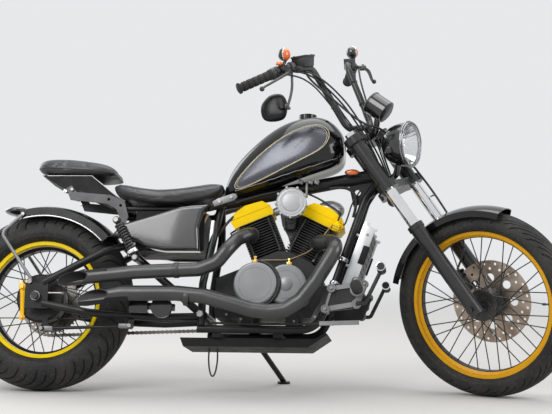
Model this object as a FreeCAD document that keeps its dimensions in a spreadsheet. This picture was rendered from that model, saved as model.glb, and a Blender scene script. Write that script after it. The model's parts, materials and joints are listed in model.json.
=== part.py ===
"""Low chopper motorcycle, parked on its side stand with the front wheel turned right.

Every sub-part is drawn upright and straight ahead: X runs forward from the rear axle,
Y to the rider's left and Z up from the ground, in millimetres. The stance at the end
leans the whole machine on its stand and turns what steers.
"""
import FreeCAD
import Part
import Sketcher
import math
import os
import re

from FreeCAD import Placement, Rotation, Vector

SIZES = {
    # Running gear
    "wheelbase": 1605,
    "rake": 35,
    "fork_offset": 58,
    "lean": 12.5,
    "steer_rest": 29.8,
    "seating_gap": 0.3,
    "running_gap": 6,
    # Rear wheel
    "rear_tyre_radius": 326.5,
    "rear_tyre_half": 83,
    "rear_rim_radius": 205,
    "rear_rim_half": 55,
    "rear_lip_height": 9,
    "rear_hub_radius": 80,
    "rear_drum_side": 50,
    "rear_carrier_radius": 50,
    "rear_carrier_side": 93,
    "rear_axle_radius": 10,
    "rear_spoke_flange": 72,
    # Front wheel
    "front_tyre_radius": 331,
    "front_tyre_half": 52,
    "front_rim_radius": 255,
    "front_rim_half": 34,
    "front_lip_height": 7,
    "front_flange_radius": 56,
    "front_flange_side": 33,
    "front_barrel_radius": 25,
    "front_hub_side": 56,
    "front_axle_radius": 9,
    "front_spoke_flange": 50,
    "flange_wall": 6,
    "rim_wall": 4,
    "rim_well": 13,
    "rim_lip": 5,
    "spoke_radius": 2,
    "spoke_count": 36,
    # Rear brake and final drive
    "brake_panel_radius": 88,
    "brake_panel_depth": 34,
    "brake_arm_length": 105,
    "brake_arm_width": 13,
    "brake_arm_wall": 6,
    "sprocket_radius": 102.5,
    "front_sprocket_radius": 32.5,
    "sprocket_wall": 6,
    "chain_height": 14,
    "chain_width": 12,
    "chain_gap": 5,
    "drive_x": 672,
    "drive_z": 284,
    # Front brake
    "disc_radius": 148,
    "disc_wall": 5,
    "disc_hole": 5,
    "disc_window": 15,
    "disc_hole_count": 20,
    "disc_window_count": 8,
    "caliper_length": 84,
    "caliper_depth": 50,
    "caliper_width": 42,
    "caliper_along": 118,
    "caliper_slot": 9,
    "hose_radius": 4,
    "hose_bend": 60,
    "hose_end_side": 66,
    "hose_end_ahead": 14,
    # Fork
    "fork_half": 103,
    "slider_radius": 27,
    "slider_top": 361,
    "slider_bottom": -24,
    "collar_height": 18,
    "stanchion_radius": 20.5,
    "stanchion_foot": 200,
    "fork_cover_radius": 27,
    "fork_top": 768,
    "lower_clamp_at": 515,
    "upper_clamp_at": 721,
    "clamp_height": 29,
    "clamp_reach": 38,
    "stem_radius": 14,
    "axle_lug_radius": 19,
    "front_axle_half": 140,
    "fender_pin_radius": 8,
    "fender_pin_at": 330,
    # Front fender
    "front_fender_crown": 350,
    "front_fender_edge": 316,
    "front_fender_half": 63,
    "fender_wall": 3,
    "front_fender_start": 74,
    "front_fender_sweep": 92,
    # Handlebar
    "bar_radius": 12,
    "riser_radius": 16,
    "riser_height": 36,
    "bar_half": 405,
    "bar_rise": 237,
    "bar_pullback": 252,
    "bar_base_half": 95,
    "bar_sweep": 112,
    "bar_shoulder_x": 30,
    "bar_shoulder_half": 250,
    "bar_drop": 62,
    "bar_bend": 42,
    "grip_radius": 17,
    "grip_length": 128,
    "switch_radius": 21,
    "switch_length": 34,
    "master_length": 62,
    "master_height": 34,
    "master_width": 60,
    "lever_length": 165,
    "lever_radius": 6,
    "lever_ball": 9,
    "mirror_width": 98,
    "mirror_height": 70,
    "mirror_depth": 22,
    "mirror_stalk": 5,
    "signal_radius": 24,
    "signal_stalk": 6,
    # Lamp and instrument
    "lamp_radius": 82,
    "lens_radius": 75,
    "lamp_depth": 104,
    "lamp_x": 1352,
    "lamp_z": 907,
    "lamp_stem": 12,
    "gauge_radius": 42,
    "gauge_depth": 70,
    "gauge_tilt": 34,
    "gauge_x": 1236,
    "gauge_z": 1046,
    # Frame
    "head_radius": 27,
    "head_bottom": 549,
    "head_top": 717,
    "spine_radius": 24,
    "spine_front_z": 800,
    "spine_rear_x": 640,
    "spine_rear_z": 690,
    "cradle_radius": 14,
    "rail_half": 118,
    "rail_z": 217,
    "rail_front_x": 1010,
    "upright_radius": 14,
    "pivot_x": 600,
    "pivot_z": 266,
    "pivot_radius": 18,
    "seat_rail_radius": 11,
    "seat_rail_half": 84,
    "gusset_wall": 10,
    "gusset_length": 100,
    "gusset_hole": 11,
    "cradle_bend": 80,
    "engine_foot": 40,
    "hanger_radius": 8,
    "stem_post": 14,
    # Swingarm
    "arm_half": 132,
    "arm_radius": 14,
    "arm_plate_wall": 12,
    "arm_plate_length": 84,
    "arm_plate_height": 92,
    "arm_bridge_x": 302,
    "arm_bridge_z": 517,
    "torque_rod_radius": 6,
    "torque_eye": 10,
    "torque_rear_x": 23,
    "torque_rear_z": 212,
    "torque_front_x": 343,
    "torque_front_z": 224,
    "torque_y": 120,
    # Spring strut on the right
    "strut_radius": 17,
    "strut_y": 169,
    "strut_top_x": 290,
    "strut_top_z": 597,
    "strut_foot_x": 364,
    "strut_foot_z": 461,
    "strut_eye": 12,
    "strut_pin": 6,
    "strut_shaft": 11,
    "coil_radius": 3.5,
    "coil_count": 9,
    "coil_share": 0.7,
    # Engine
    "crank_x": 881,
    "crank_z": 354,
    "case_half": 102,
    "rear_bank": 22,
    "front_bank": 26,
    "barrel_base": 140,
    "barrel_top": 285,
    "barrel_radius": 46,
    "fin_half": 63,
    "fin_side": 66,
    "fin_count": 15,
    "fin_wall": 3,
    "rocker_top": 352,
    "rocker_half": 72,
    "rocker_side": 58,
    "groove_depth": 2.5,
    "groove_wall": 3,
    "clutch_radius": 77,
    "clutch_x": 794,
    "clutch_z": 373,
    "clutch_depth": 68,
    "timing_radius": 72,
    "timing_x": 901,
    "timing_z": 374,
    "timing_depth": 52,
    "alternator_radius": 84,
    "alternator_depth": 64,
    "cover_edge": 8,
    "air_radius": 53,
    "air_depth": 36,
    "air_x": 912,
    "air_z": 672,
    "air_y": 134,
    "intake_radius": 26,
    # Radiator
    "radiator_height": 232,
    "radiator_width": 236,
    "radiator_depth": 34,
    "radiator_gap": 20,
    "radiator_tank": 22,
    "radiator_pin": 5,
    # Exhaust
    "upper_pipe_radius": 25,
    "lower_pipe_radius": 27,
    "pipe_wall": 2.5,
    "pipe_side": 205,
    "pipe_mouth": 30,
    "pipe_cut": 126,
    "upper_rise": 139,
    "upper_drop_x": 700,
    "upper_fall": 95,
    "upper_mouth_x": 89,
    "lower_pipe_z": 268,
    "lower_fall": 232,
    "lower_mouth_x": 165,
    "lower_length": 920,
    # Tank
    "tank_front_x": 1092,
    "tank_rear_z": 707,
    "tank_length": 437,
    "tank_height": 307,
    "tank_half": 135,
    "tank_clearance": 3,
    "tank_cap_radius": 33,
    "tank_cap_height": 12,
    # Seats and tail
    "seat_rear_x": 254,
    "seat_gap": 5,
    "seat_z": 668,
    "seat_height": 94,
    "seat_half": 156,
    "pad_rear_x": -46,
    "pad_length": 300,
    "pad_z": 781,
    "pad_height": 70,
    "pad_half": 112,
    "tail_half": 92,
    "bracket_y": 104,
    "bracket_wall": 6,
    "bracket_hole": 5.5,
    "bracket_x": 80,
    "bracket_low_z": 592,
    "bracket_length": 236,
    "bracket_height": 148,
    "cover_inner": 100,
    "cover_outer": 148,
    "cover_round": 14,
    "cover_rear_x": 262,
    "cover_length": 358,
    "cover_low_z": 493,
    "cover_height": 170,
    "box_rear_x": 345,
    "box_front_x": 596,
    "box_bottom_z": 500,
    # Rear fender
    "rear_fender_crown": 350,
    "rear_fender_edge": 302,
    "rear_fender_half": 96,
    "rear_fender_start": 43,
    "rear_fender_sweep": 63,
    "stay_radius": 6,
    "tail_lamp_length": 95,
    "tail_lamp_half": 52,
    "tail_lamp_height": 34,
    "tail_lamp_x": 175,
    "tail_lamp_z": 640,
    # Belly pan and foot controls
    "belly_half": 100,
    "belly_z": 157,
    "belly_height": 31,
    "drain_x": 627,
    "drain_width": 30,
    "drain_drop": 96,
    "control_y": 168,
    "control_x": 1020,
    "control_z": 274,
    "control_length": 168,
    "control_height": 104,
    "control_wall": 10,
    "control_bolt": 11,
    "peg_radius": 17,
    "peg_length": 96,
    "pedal_radius": 7,
    "pad_radius": 13,
    "pedal_pad_length": 74,
    "pedal_reach": 86,
    "pedal_rise": 118,
    # Side stand
    "stand_pivot_x": 775,
    "stand_pivot_y": 142,
    "stand_pivot_z": 186,
    "stand_foot_x": 852,
    "stand_foot_y": 300,
    "stand_radius": 10,
    "foot_radius": 24,
    "foot_wall": 8,
    "stand_hub": 10,
    "stand_hub_radius": 12,
    "stand_bracket_wall": 8,
    "stand_ear": 13,
    "stand_post": 9,
}

doc = FreeCAD.newDocument("Chopper")
sheet = doc.addObject("Spreadsheet::Sheet", "Sizes")
for row, (alias, amount) in enumerate(SIZES.items(), start=1):
    sheet.set(f"A{row}", alias)
    sheet.set(f"B{row}", str(amount))
    sheet.setAlias(f"B{row}", alias)
doc.recompute()

UP = Vector(0, 0, 1)
LEFT = Vector(0, 1, 0)
FORWARD = Vector(1, 0, 0)


def size(name):
    """Value of one named size, read from the sheet."""
    return float(sheet.get(name))


def bound(text):
    """Expression with every size name pointed at the sheet."""
    return re.sub(r"[a-z_]\w*", r"Sizes.\g<0>", text)


def origin_plane(body, role):
    """Base plane of a body, found by its role."""
    for feature in body.Origin.OriginFeatures:
        if feature.Role == role:
            return feature
    raise ValueError(role)


def outline_sketch(body, role, outline):
    """Closed sketch on a base plane, each corner held by two bound distances.

    A step of two expressions is a line to that corner. A step of four is an arc
    through the first point to the second.
    """
    sketch = body.newObject("Sketcher::SketchObject", body.Name + "_outline")
    sketch.AttachmentSupport = [(origin_plane(body, role), "")]
    sketch.MapMode = "FlatFace"
    measured = [[sheet_value(text) for text in step] for step in outline]
    corners = [Vector(step[-2], step[-1], 0) for step in measured]
    for index, step in enumerate(measured):
        before = corners[index - 1]
        here = corners[index]
        if len(step) == 2:
            sketch.addGeometry(Part.LineSegment(before, here), False)
            continue
        middle = Vector(step[0], step[1], 0)
        sketch.addGeometry(Part.Arc(before, middle, here), False)
    ends = [far_end(sketch, index, corner) for index, corner in enumerate(corners)]
    for index, step in enumerate(outline):
        place_point(sketch, index, ends[index], step[-2], step[-1])
    for index, end in enumerate(ends):
        following = (index + 1) % len(ends)
        start = 3 - ends[following]
        sketch.addConstraint(Sketcher.Constraint("Coincident", index, end, following, start))
    for index, step in enumerate(outline):
        if len(step) == 2:
            continue
        middle = Vector(sheet_value(step[0]), sheet_value(step[1]), 0)
        point = sketch.addGeometry(Part.Point(middle), True)
        place_point(sketch, point, 1, step[0], step[1])
        sketch.addConstraint(Sketcher.Constraint("PointOnObject", point, 1, index))
    return sketch


def far_end(sketch, index, corner):
    """Which end of a sketch curve, 1 or 2, lies at the given corner."""
    first = sketch.getPoint(index, 1)
    second = sketch.getPoint(index, 2)
    return 1 if (first - corner).Length < (second - corner).Length else 2


def place_point(sketch, geometry, end, across, upward):
    """Hold one sketch point at two bound distances from the sketch's origin."""
    for kind, axis, text in (("DistanceX", -2, across), ("DistanceY", -1, upward)):
        amount = sheet_value(text)
        if text == "0":
            sketch.addConstraint(Sketcher.Constraint("PointOnObject", geometry, end, axis))
            continue
        index = sketch.addConstraint(Sketcher.Constraint(kind, -1, 1, geometry, end, amount))
        sketch.setExpression(f"Constraints[{index}]", bound(text))


scratch_cell = f"C{len(SIZES) + 1}"
measured_texts = {}


def sheet_value(text):
    """Value of an expression of sizes, worked out by the sheet."""
    if text not in measured_texts:
        sheet.set(scratch_cell, "=" + text)
        sheet.recompute()
        measured_texts[text] = float(sheet.get(scratch_cell))
    return measured_texts[text]


def turned(name, outline, sweep="360"):
    """Body turned about Y from an outline of (radius, side) steps."""
    body = doc.addObject("PartDesign::Body", name)
    sketch = outline_sketch(body, "XY_Plane", outline)
    turn = body.newObject("PartDesign::Revolution", name + "_turn")
    turn.Profile = sketch
    turn.ReferenceAxis = (sketch, ["V_Axis"])
    turn.setExpression("Angle", bound(sweep) if sweep != "360" else "360")
    body.Tip = turn
    return body


def plate(name, outline, wall):
    """Plate padded along -Y from an outline of (x, z) steps on the mid plane."""
    body = doc.addObject("PartDesign::Body", name)
    sketch = outline_sketch(body, "XZ_Plane", outline)
    pad = body.newObject("PartDesign::Pad", name + "_pad")
    pad.Profile = sketch
    pad.setExpression("Length", bound(wall))
    body.Tip = pad
    return body


def rod(name, start, end, radius):
    """Round bar between two points with its radius bound to the sheet."""
    bar = doc.addObject("Part::Cylinder", name)
    bar.setExpression("Radius", bound(radius))
    bar.Height = (end - start).Length
    bar.Placement = Placement(start, Rotation(UP, end - start))
    return bar


def block(name, corner, length, width, height, turn=Rotation()):
    """Box from its low corner, with its three sides bound to the sheet."""
    box = doc.addObject("Part::Box", name)
    box.setExpression("Length", bound(length))
    box.setExpression("Width", bound(width))
    box.setExpression("Height", bound(height))
    box.Placement = Placement(corner, turn)
    return box


def ball(name, centre, radius):
    """Sphere with its radius bound to the sheet."""
    sphere = doc.addObject("Part::Sphere", name)
    sphere.setExpression("Radius", bound(radius))
    sphere.Placement = Placement(centre, Rotation())
    return sphere


def joined(name, parts):
    """Several shapes welded into one."""
    weld = doc.addObject("Part::MultiFuse", name)
    weld.Shapes = parts
    return weld


def cut(name, base, tool):
    """One shape with another taken out of it."""
    result = doc.addObject("Part::Cut", name)
    result.Base = base
    result.Tool = tool
    return result


def mirrored(name, source):
    """Copy of a right-hand piece on the left."""
    copy = doc.addObject("Part::Mirroring", name)
    copy.Source = source
    copy.Normal = LEFT
    return copy


def grouped(name, parts):
    """Like pieces that don't touch, kept as one sub-part."""
    group = doc.addObject("Part::Compound", name)
    group.Links = parts
    return group


def paired(name, right):
    """A right-hand piece and its mirror image as one sub-part."""
    return grouped(name, [right, mirrored(name + "_left", right)])


def shaped(name, shape):
    """Sub-part whose shape comes straight from geometry functions."""
    feature = doc.addObject("Part::Feature", name)
    feature.Shape = shape
    return feature


def bent_path(points, bend):
    """Wire of straight runs joined by tangent arcs of one bend radius."""
    edges = []
    start = points[0]
    for before, corner, after in zip(points, points[1:], points[2:]):
        toward = (before - corner).normalize()
        onward = (after - corner).normalize()
        half = toward.getAngle(onward) / 2
        room = min((before - corner).Length, (after - corner).Length) * BEND_SHARE
        trim = min(bend / math.tan(half), room)
        radius = trim * math.tan(half)
        first = corner + toward * trim
        last = corner + onward * trim
        middle = (toward + onward).normalize()
        centre = corner + middle * (radius / math.sin(half))
        edges.append(Part.LineSegment(start, first).toShape())
        edges.append(Part.Arc(first, centre - middle * radius, last).toShape())
        start = last
    edges.append(Part.LineSegment(start, points[-1]).toShape())
    return Part.Wire(edges)


BEND_SHARE = 0.45


def pipe(points, radius, bend):
    """Solid round bar along a bent path."""
    path = bent_path(points, bend)
    ring = Part.Wire(Part.makeCircle(radius, points[0], points[1] - points[0]))
    return path.makePipeShell([ring], True, False)


def smooth_ring(points):
    """Closed smooth curve through the points."""
    curve = Part.BSplineCurve()
    curve.interpolate(points, True)
    return Part.Wire(curve.toShape())


def lofted(sections, ring_shares, at):
    """Skin over cross sections given as (x, low, high, half width) shares."""
    rings = []
    for x_share, low, high, half in sections:
        points = [at(x_share, y * half, low + z * (high - low)) for y, z in ring_shares]
        rings.append(smooth_ring(points))
    return Part.makeLoft(rings, True, False)


def both_sides(half_ring):
    """Full ring of shares from the half that runs up one side."""
    other = [(-y, z) for y, z in reversed(half_ring) if y]
    return list(half_ring) + other


nodes = []


def node(body_name, label, item):
    """Register a finished sub-part under the body that it moves with."""
    item.Label = label
    nodes.append((body_name, label, item))
    return item


# Steering geometry: points are given along the steering axis, ahead of it and to the side
rake = math.radians(size("rake"))
steer_up = Vector(-math.sin(rake), 0, math.cos(rake))
steer_ahead = Vector(math.cos(rake), 0, math.sin(rake))
rear_axle = Vector(0, 0, size("rear_tyre_radius"))
front_axle = Vector(size("wheelbase"), 0, size("front_tyre_radius"))
steer_foot = front_axle - steer_ahead * size("fork_offset")
steer_turn = Rotation(UP, steer_up)
gap = size("seating_gap")


def fork_point(along, side, ahead=size("fork_offset")):
    """Point in the fork's own directions."""
    return steer_foot + steer_up * along + steer_ahead * ahead + LEFT * side


def tyre(name, prefix):
    """Tyre with a round crown, its beads between the rim's lips."""
    radius = f"{prefix}_tyre_radius"
    half = f"{prefix}_tyre_half"
    bead = f"({prefix}_rim_half - rim_lip - seating_gap)"
    base = f"({prefix}_rim_radius + seating_gap)"
    foot = f"({prefix}_rim_radius + {prefix}_lip_height + seating_gap)"
    wide = f"({radius} - {half})"
    via_radius = f"{foot} + ({wide} - {foot}) * 0.35"
    via_side = f"({bead} + ({half} - {bead}) * 0.69)"
    return turned(name, [
        (base, f"0 - {bead}"),
        (base, bead),
        (foot, bead),
        (via_radius, via_side, wide, half),
        (radius, "0", wide, f"0 - {half}"),
        (via_radius, f"0 - {via_side}", foot, f"0 - {bead}"),
    ])


def rim(name, prefix):
    """Spoked rim: two lips, a bead seat each side and a dropped well."""
    seat = f"{prefix}_rim_radius"
    half = f"{prefix}_rim_half"
    lip = f"({seat} + {prefix}_lip_height)"
    inside = f"({half} - rim_lip)"
    well = f"({seat} - rim_well)"
    profile = [
        (lip, half),
        (lip, inside),
        (seat, inside),
        (seat, f"{half} * 0.55"),
        (well, f"{half} * 0.35"),
    ]
    under = [
        (f"{well} - rim_wall", f"{half} * 0.35"),
        (f"{seat} - rim_wall", f"{half} * 0.6"),
        (f"{seat} - rim_wall", half),
    ]
    low_profile = [(r, f"0 - {y}") for r, y in reversed(profile)]
    low_under = [(r, f"0 - {y}") for r, y in reversed(under)]
    return turned(name, profile + low_profile + low_under + under)


def spokes(name, prefix, side):
    """Crossed wire spokes from both hub flanges to the rim's well."""
    count = int(size("spoke_count"))
    flange = size(f"{prefix}_spoke_flange")
    reach = size(f"{prefix}_rim_radius") - size("rim_well") - size("rim_wall")
    reach -= gap + size("spoke_radius") / 2
    wires = []
    for index in range(count):
        angle = 2 * math.pi * index / count
        hand = 1 if index % 2 else -1
        lean_way = 1 if index % 4 < 2 else -1
        foot_angle = angle + lean_way * SPOKE_CROSS
        y_hub = hand * side * SPOKE_SIDE_SHARE
        y_rim = hand * size(f"{prefix}_rim_half") * SPOKE_RIM_SHARE
        foot = Vector(flange * math.cos(foot_angle), y_hub, flange * math.sin(foot_angle))
        tip = Vector(reach * math.cos(angle), y_rim, reach * math.sin(angle))
        wires.append(Part.makeCylinder(size("spoke_radius"), (tip - foot).Length, foot, tip - foot))
    return shaped(name, Part.makeCompound(wires))


SPOKE_CROSS = math.radians(46)
SPOKE_SIDE_SHARE = 0.9
SPOKE_RIM_SHARE = 0.12


def rear_wheel():
    """Rear tyre, rim, drum hub with its spokes, and sprocket."""
    node("rear_wheel", "rear_tyre", tyre("RearTyre", "rear"))
    node("rear_wheel", "rear_rim", rim("RearRim", "rear"))
    bore = "rear_axle_radius + seating_gap"
    hub = turned("RearHubCore", [
        (bore, "0 - rear_drum_side"),
        ("rear_hub_radius", "0 - rear_drum_side"),
        ("rear_hub_radius", "rear_drum_side * 0.1"),
        ("rear_spoke_flange - flange_wall * 2", "rear_drum_side * 0.3"),
        ("rear_spoke_flange - flange_wall * 2", "rear_drum_side * 0.66"),
        ("rear_spoke_flange + flange_wall", "rear_drum_side * 0.66"),
        ("rear_spoke_flange + flange_wall", "rear_drum_side * 0.66 + flange_wall"),
        ("rear_carrier_radius", "rear_drum_side"),
        ("rear_carrier_radius", "rear_carrier_side"),
        (bore, "rear_carrier_side"),
    ])
    wires = spokes("RearSpokes", "rear", size("rear_drum_side") * 0.72)
    node("rear_wheel", "rear_hub", joined("RearHub", [hub, wires]))
    sprocket = turned("RearSprocket", [
        (bore, "rear_carrier_side + seating_gap"),
        ("sprocket_radius", "rear_carrier_side + seating_gap"),
        ("sprocket_radius", "rear_carrier_side + seating_gap + sprocket_wall"),
        (bore, "rear_carrier_side + seating_gap + sprocket_wall"),
    ])
    node("rear_wheel", "rear_sprocket", sprocket)
    for _, label, item in nodes:
        if label in ("rear_tyre", "rear_rim", "rear_hub", "rear_sprocket"):
            item.Placement = Placement(rear_axle, Rotation())


def front_wheel():
    """Front tyre, rim, hub with its spokes, and brake disc."""
    first = len(nodes)
    node("front_wheel", "front_tyre", tyre("FrontTyre", "front"))
    node("front_wheel", "front_rim", rim("FrontRim", "front"))
    bore = "front_axle_radius + seating_gap"
    hub = turned("FrontHubCore", [
        (bore, "0 - front_hub_side * 0.8"),
        ("front_barrel_radius", "0 - front_hub_side * 0.8"),
        ("front_barrel_radius", "0 - front_flange_side - flange_wall / 2"),
        ("front_flange_radius", "0 - front_flange_side - flange_wall / 2"),
        ("front_flange_radius", "0 - front_flange_side + flange_wall / 2"),
        ("front_barrel_radius", "0 - front_flange_side * 0.5"),
        ("front_barrel_radius", "front_flange_side * 0.5"),
        ("front_flange_radius", "front_flange_side - flange_wall / 2"),
        ("front_flange_radius", "front_flange_side + flange_wall / 2"),
        ("front_flange_radius * 0.7", "front_hub_side * 0.75"),
        ("front_flange_radius * 0.7", "front_hub_side"),
        (bore, "front_hub_side"),
    ])
    wires = spokes("FrontSpokes", "front", size("front_flange_side"))
    node("front_wheel", "front_hub", joined("FrontHub", [hub, wires]))
    disc = turned("FrontDisc", [
        (bore, "front_hub_side + seating_gap"),
        ("disc_radius", "front_hub_side + seating_gap"),
        ("disc_radius", "front_hub_side + seating_gap + disc_wall"),
        (bore, "front_hub_side + seating_gap + disc_wall"),
    ])
    node("front_wheel", "front_disc", cut("FrontDiscDrilled", disc, disc_holes()))
    for _, label, item in nodes[first:]:
        item.Placement = Placement(front_axle, Rotation())


DISC_RING_SHARES = (0.80, 0.92)
DISC_WINDOW_SHARE = 0.58


def disc_holes():
    """Two staggered rings of drilled holes and a ring of windows, to be cut from the disc."""
    start = size("front_hub_side")
    depth = size("disc_wall") * 2
    count = int(size("disc_hole_count"))
    windows = int(size("disc_window_count"))
    rings = [(share, size("disc_hole"), count, index / 2)
             for index, share in enumerate(DISC_RING_SHARES)]
    rings.append((DISC_WINDOW_SHARE, size("disc_window"), windows, 0))
    holes = []
    for share, radius, number, stagger in rings:
        reach = size("disc_radius") * share
        for index in range(number):
            angle = 2 * math.pi * (index + stagger) / number
            place = Vector(reach * math.cos(angle), start, reach * math.sin(angle))
            holes.append(Part.makeCylinder(radius, depth, place, LEFT))
    return shaped("DiscHoles", Part.makeCompound(holes))


def fork():
    """Fork tubes, sliders, covers, clamps and front axle."""
    side = -size("fork_half")
    tube = rod("ForkTubeRight", fork_point(size("stanchion_foot"), side),
               fork_point(size("fork_top"), side), "stanchion_radius")
    node("steering", "fork_tubes", paired("ForkTubes", tube))
    leg = rod("SliderLeg", fork_point(size("slider_bottom"), side),
              fork_point(size("slider_top"), side), "slider_radius")
    pin_at = fork_point(size("fender_pin_at"), side)
    pin_end = fork_point(size("fender_pin_at"), -size("front_fender_half") - gap)
    pin = rod("SliderPin", pin_at, pin_end, "fender_pin_radius")
    lug_start = fork_point(0, -size("front_axle_half") + size("axle_lug_radius") / 2)
    lug_end = fork_point(0, -size("fork_half") + size("slider_radius") + gap)
    lug = rod("SliderLug", lug_start, lug_end, "axle_lug_radius")
    collar_foot = size("slider_top") - size("collar_height")
    collar = rod("SliderCollar", fork_point(collar_foot, side),
                 fork_point(size("slider_top"), side), "slider_radius + fender_wall")
    body = joined("SliderBody", [leg, pin, lug, collar])
    bore_start = fork_point(size("stanchion_foot") - gap, side)
    bore_end = fork_point(size("slider_top") + size("slider_radius"), side)
    bore = rod("SliderBore", bore_start, bore_end, "stanchion_radius + seating_gap")
    axle_hole = rod("SliderAxleHole", fork_point(0, -size("front_axle_half") * 2),
                    fork_point(0, 0), "front_axle_radius + seating_gap")
    slider = cut("SliderRight", cut("SliderBored", body, bore), axle_hole)
    axle = rod("FrontAxle", fork_point(0, -size("front_axle_half")),
               fork_point(0, size("front_axle_half")), "front_axle_radius")
    legs = paired("ForkLegs", slider)
    node("steering", "fork_sliders", grouped("ForkSliders", [legs, axle]))
    cover_top = size("upper_clamp_at") - gap
    cover_foot = size("lower_clamp_at") + size("clamp_height") + gap
    shell = rod("CoverShell", fork_point(cover_foot, side), fork_point(cover_top, side),
                "fork_cover_radius")
    hole = rod("CoverHole", fork_point(cover_foot - size("clamp_height"), side),
               fork_point(cover_top + size("clamp_height"), side),
               "stanchion_radius + seating_gap")
    node("steering", "fork_covers", paired("ForkCovers", cut("CoverRight", shell, hole)))


def clamp(name, at):
    """One fork clamp: a swept-back plate around both fork tubes and the stem."""
    height = size("clamp_height")
    arms = []
    for index, side in enumerate((-size("fork_half"), size("fork_half"))):
        arms.append(rod(f"{name}Boss{index}", fork_point(at, side),
                        fork_point(at + height, side), "clamp_reach"))
    middle = rod(f"{name}Middle", fork_point(at, 0, 0), fork_point(at + height, 0, 0),
                 "clamp_reach")
    waist = size("clamp_reach") * 0.75
    span = math.hypot(size("fork_offset"), size("fork_half"))
    back = waist * size("fork_half") / span
    aside = waist * size("fork_offset") / span
    front = size("fork_offset") + size("clamp_reach") * 0.4
    right = [(-back, aside), (size("fork_offset") - back, size("fork_half") + aside),
             (front, size("fork_half"))]
    outline = right + [(ahead, -side) for ahead, side in reversed(right)]
    corners = [fork_point(at, side, ahead) for ahead, side in outline]
    web = Part.Face(Part.makePolygon(corners + corners[:1])).extrude(steer_up * height)
    whole = joined(f"{name}Whole", arms + [middle, shaped(f"{name}Web", web)])
    for index, side in enumerate((-size("fork_half"), size("fork_half"))):
        hole = rod(f"{name}Hole{index}", fork_point(at - height, side),
                   fork_point(at + 2 * height, side), "stanchion_radius + seating_gap")
        whole = cut(f"{name}Bored{index}", whole, hole)
    return whole


def clamps():
    """Both fork clamps and the steering stem between them."""
    stem = rod("Stem", fork_point(size("lower_clamp_at"), 0, 0),
               fork_point(size("upper_clamp_at") + size("clamp_height"), 0, 0), "stem_radius")
    lower = clamp("LowerClamp", size("lower_clamp_at"))
    upper = clamp("UpperClamp", size("upper_clamp_at"))
    node("steering", "fork_clamps", joined("ForkClamps", [stem, lower, upper]))


def fender_profile(prefix):
    """Arched fender section, open towards the tyre."""
    crown = f"{prefix}_fender_crown"
    edge = f"{prefix}_fender_edge"
    half = f"{prefix}_fender_half"
    shoulder = f"({crown} - ({crown} - {edge}) * 0.35)"
    return [
        (edge, half),
        (shoulder, half),
        (crown, "0", shoulder, f"0 - {half}"),
        (edge, f"0 - {half}"),
        (edge, f"0 - {half} + fender_wall"),
        (f"{shoulder} - fender_wall", f"0 - {half} + fender_wall"),
        (f"{crown} - fender_wall", "0", f"{shoulder} - fender_wall", f"{half} - fender_wall"),
        (edge, f"{half} - fender_wall"),
    ]


def front_fender():
    """Short front fender between the fork legs."""
    shell = turned("FrontFender", fender_profile("front"), "front_fender_sweep")
    last = size("front_fender_start") + size("front_fender_sweep")
    shell.Placement = Placement(front_axle, Rotation(LEFT, -last))
    node("steering", "front_fender", shell)


def stance():
    """Lean and pitch that rest both wheels on the ground, in the upright frame's terms."""
    lean_turn = Rotation(FORWARD, -size("lean"))
    low_pitch = -PITCH_SPAN
    high_pitch = PITCH_SPAN
    for _ in range(PITCH_STEPS):
        pitch = (low_pitch + high_pitch) / 2
        turn = lean_turn.multiply(Rotation(LEFT, pitch))
        if wheel_low(turn, "front") > wheel_low(turn, "rear"):
            low_pitch = pitch
        else:
            high_pitch = pitch
    return Placement(Vector(0, 0, -wheel_low(turn, "rear")), turn)


PITCH_SPAN = 5
PITCH_STEPS = 60


def wheel_low(turn, prefix):
    """Height of a wheel's lowest point once the machine is turned."""
    centre = front_axle if prefix == "front" else rear_axle
    axis = steering_turn().multVec(LEFT) if prefix == "front" else LEFT
    if prefix == "front":
        centre = steering_placement().multVec(front_axle)
    half = size(f"{prefix}_tyre_half")
    ring = size(f"{prefix}_tyre_radius") - half
    tilt = turn.multVec(axis).z
    return turn.multVec(centre).z - ring * math.sqrt(1 - tilt * tilt) - half


def steering_turn():
    """Rotation of everything that steers, turned right about the steering axis."""
    return Rotation(steer_up, -size("steer_rest"))


def steering_placement():
    """Placement that turns what steers about the steering axis."""
    turn = steering_turn()
    return Placement(steer_foot - turn.multVec(steer_foot), turn)


def prism(points, low_side, high_side):
    """Solid between two sides of an outline of (x, z) points."""
    corners = [Vector(x, low_side, z) for x, z in points]
    face = Part.Face(Part.makePolygon(corners + corners[:1]))
    return face.extrude(LEFT * (high_side - low_side))


def bar_points(hand):
    """Corner points of one half of the handlebar, from its middle to its end."""
    base = fork_point(size("upper_clamp_at") + size("clamp_height") + size("riser_height"), 0)
    middle = base + LEFT * (hand * size("bar_base_half"))
    rise = size("bar_rise")
    top = base + Vector(-size("bar_sweep"), hand * size("bar_shoulder_half") * BAR_TOP_SHARE, rise)
    shoulder_x = -size("bar_sweep") - size("bar_shoulder_x")
    shoulder = base + Vector(shoulder_x, hand * size("bar_shoulder_half"), rise)
    end_rise = rise - size("bar_drop")
    end = base + Vector(-size("bar_pullback"), hand * size("bar_half"), end_rise)
    return [middle, top, shoulder, end]


BAR_TOP_SHARE = 0.55


def grip_direction(hand):
    """Direction of one grip, outwards."""
    points = bar_points(hand)
    return (points[3] - points[2]).normalize()


def on_grip(hand, inboard):
    """Point on the bar a distance in from one end."""
    return bar_points(hand)[3] - grip_direction(hand) * inboard


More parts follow.
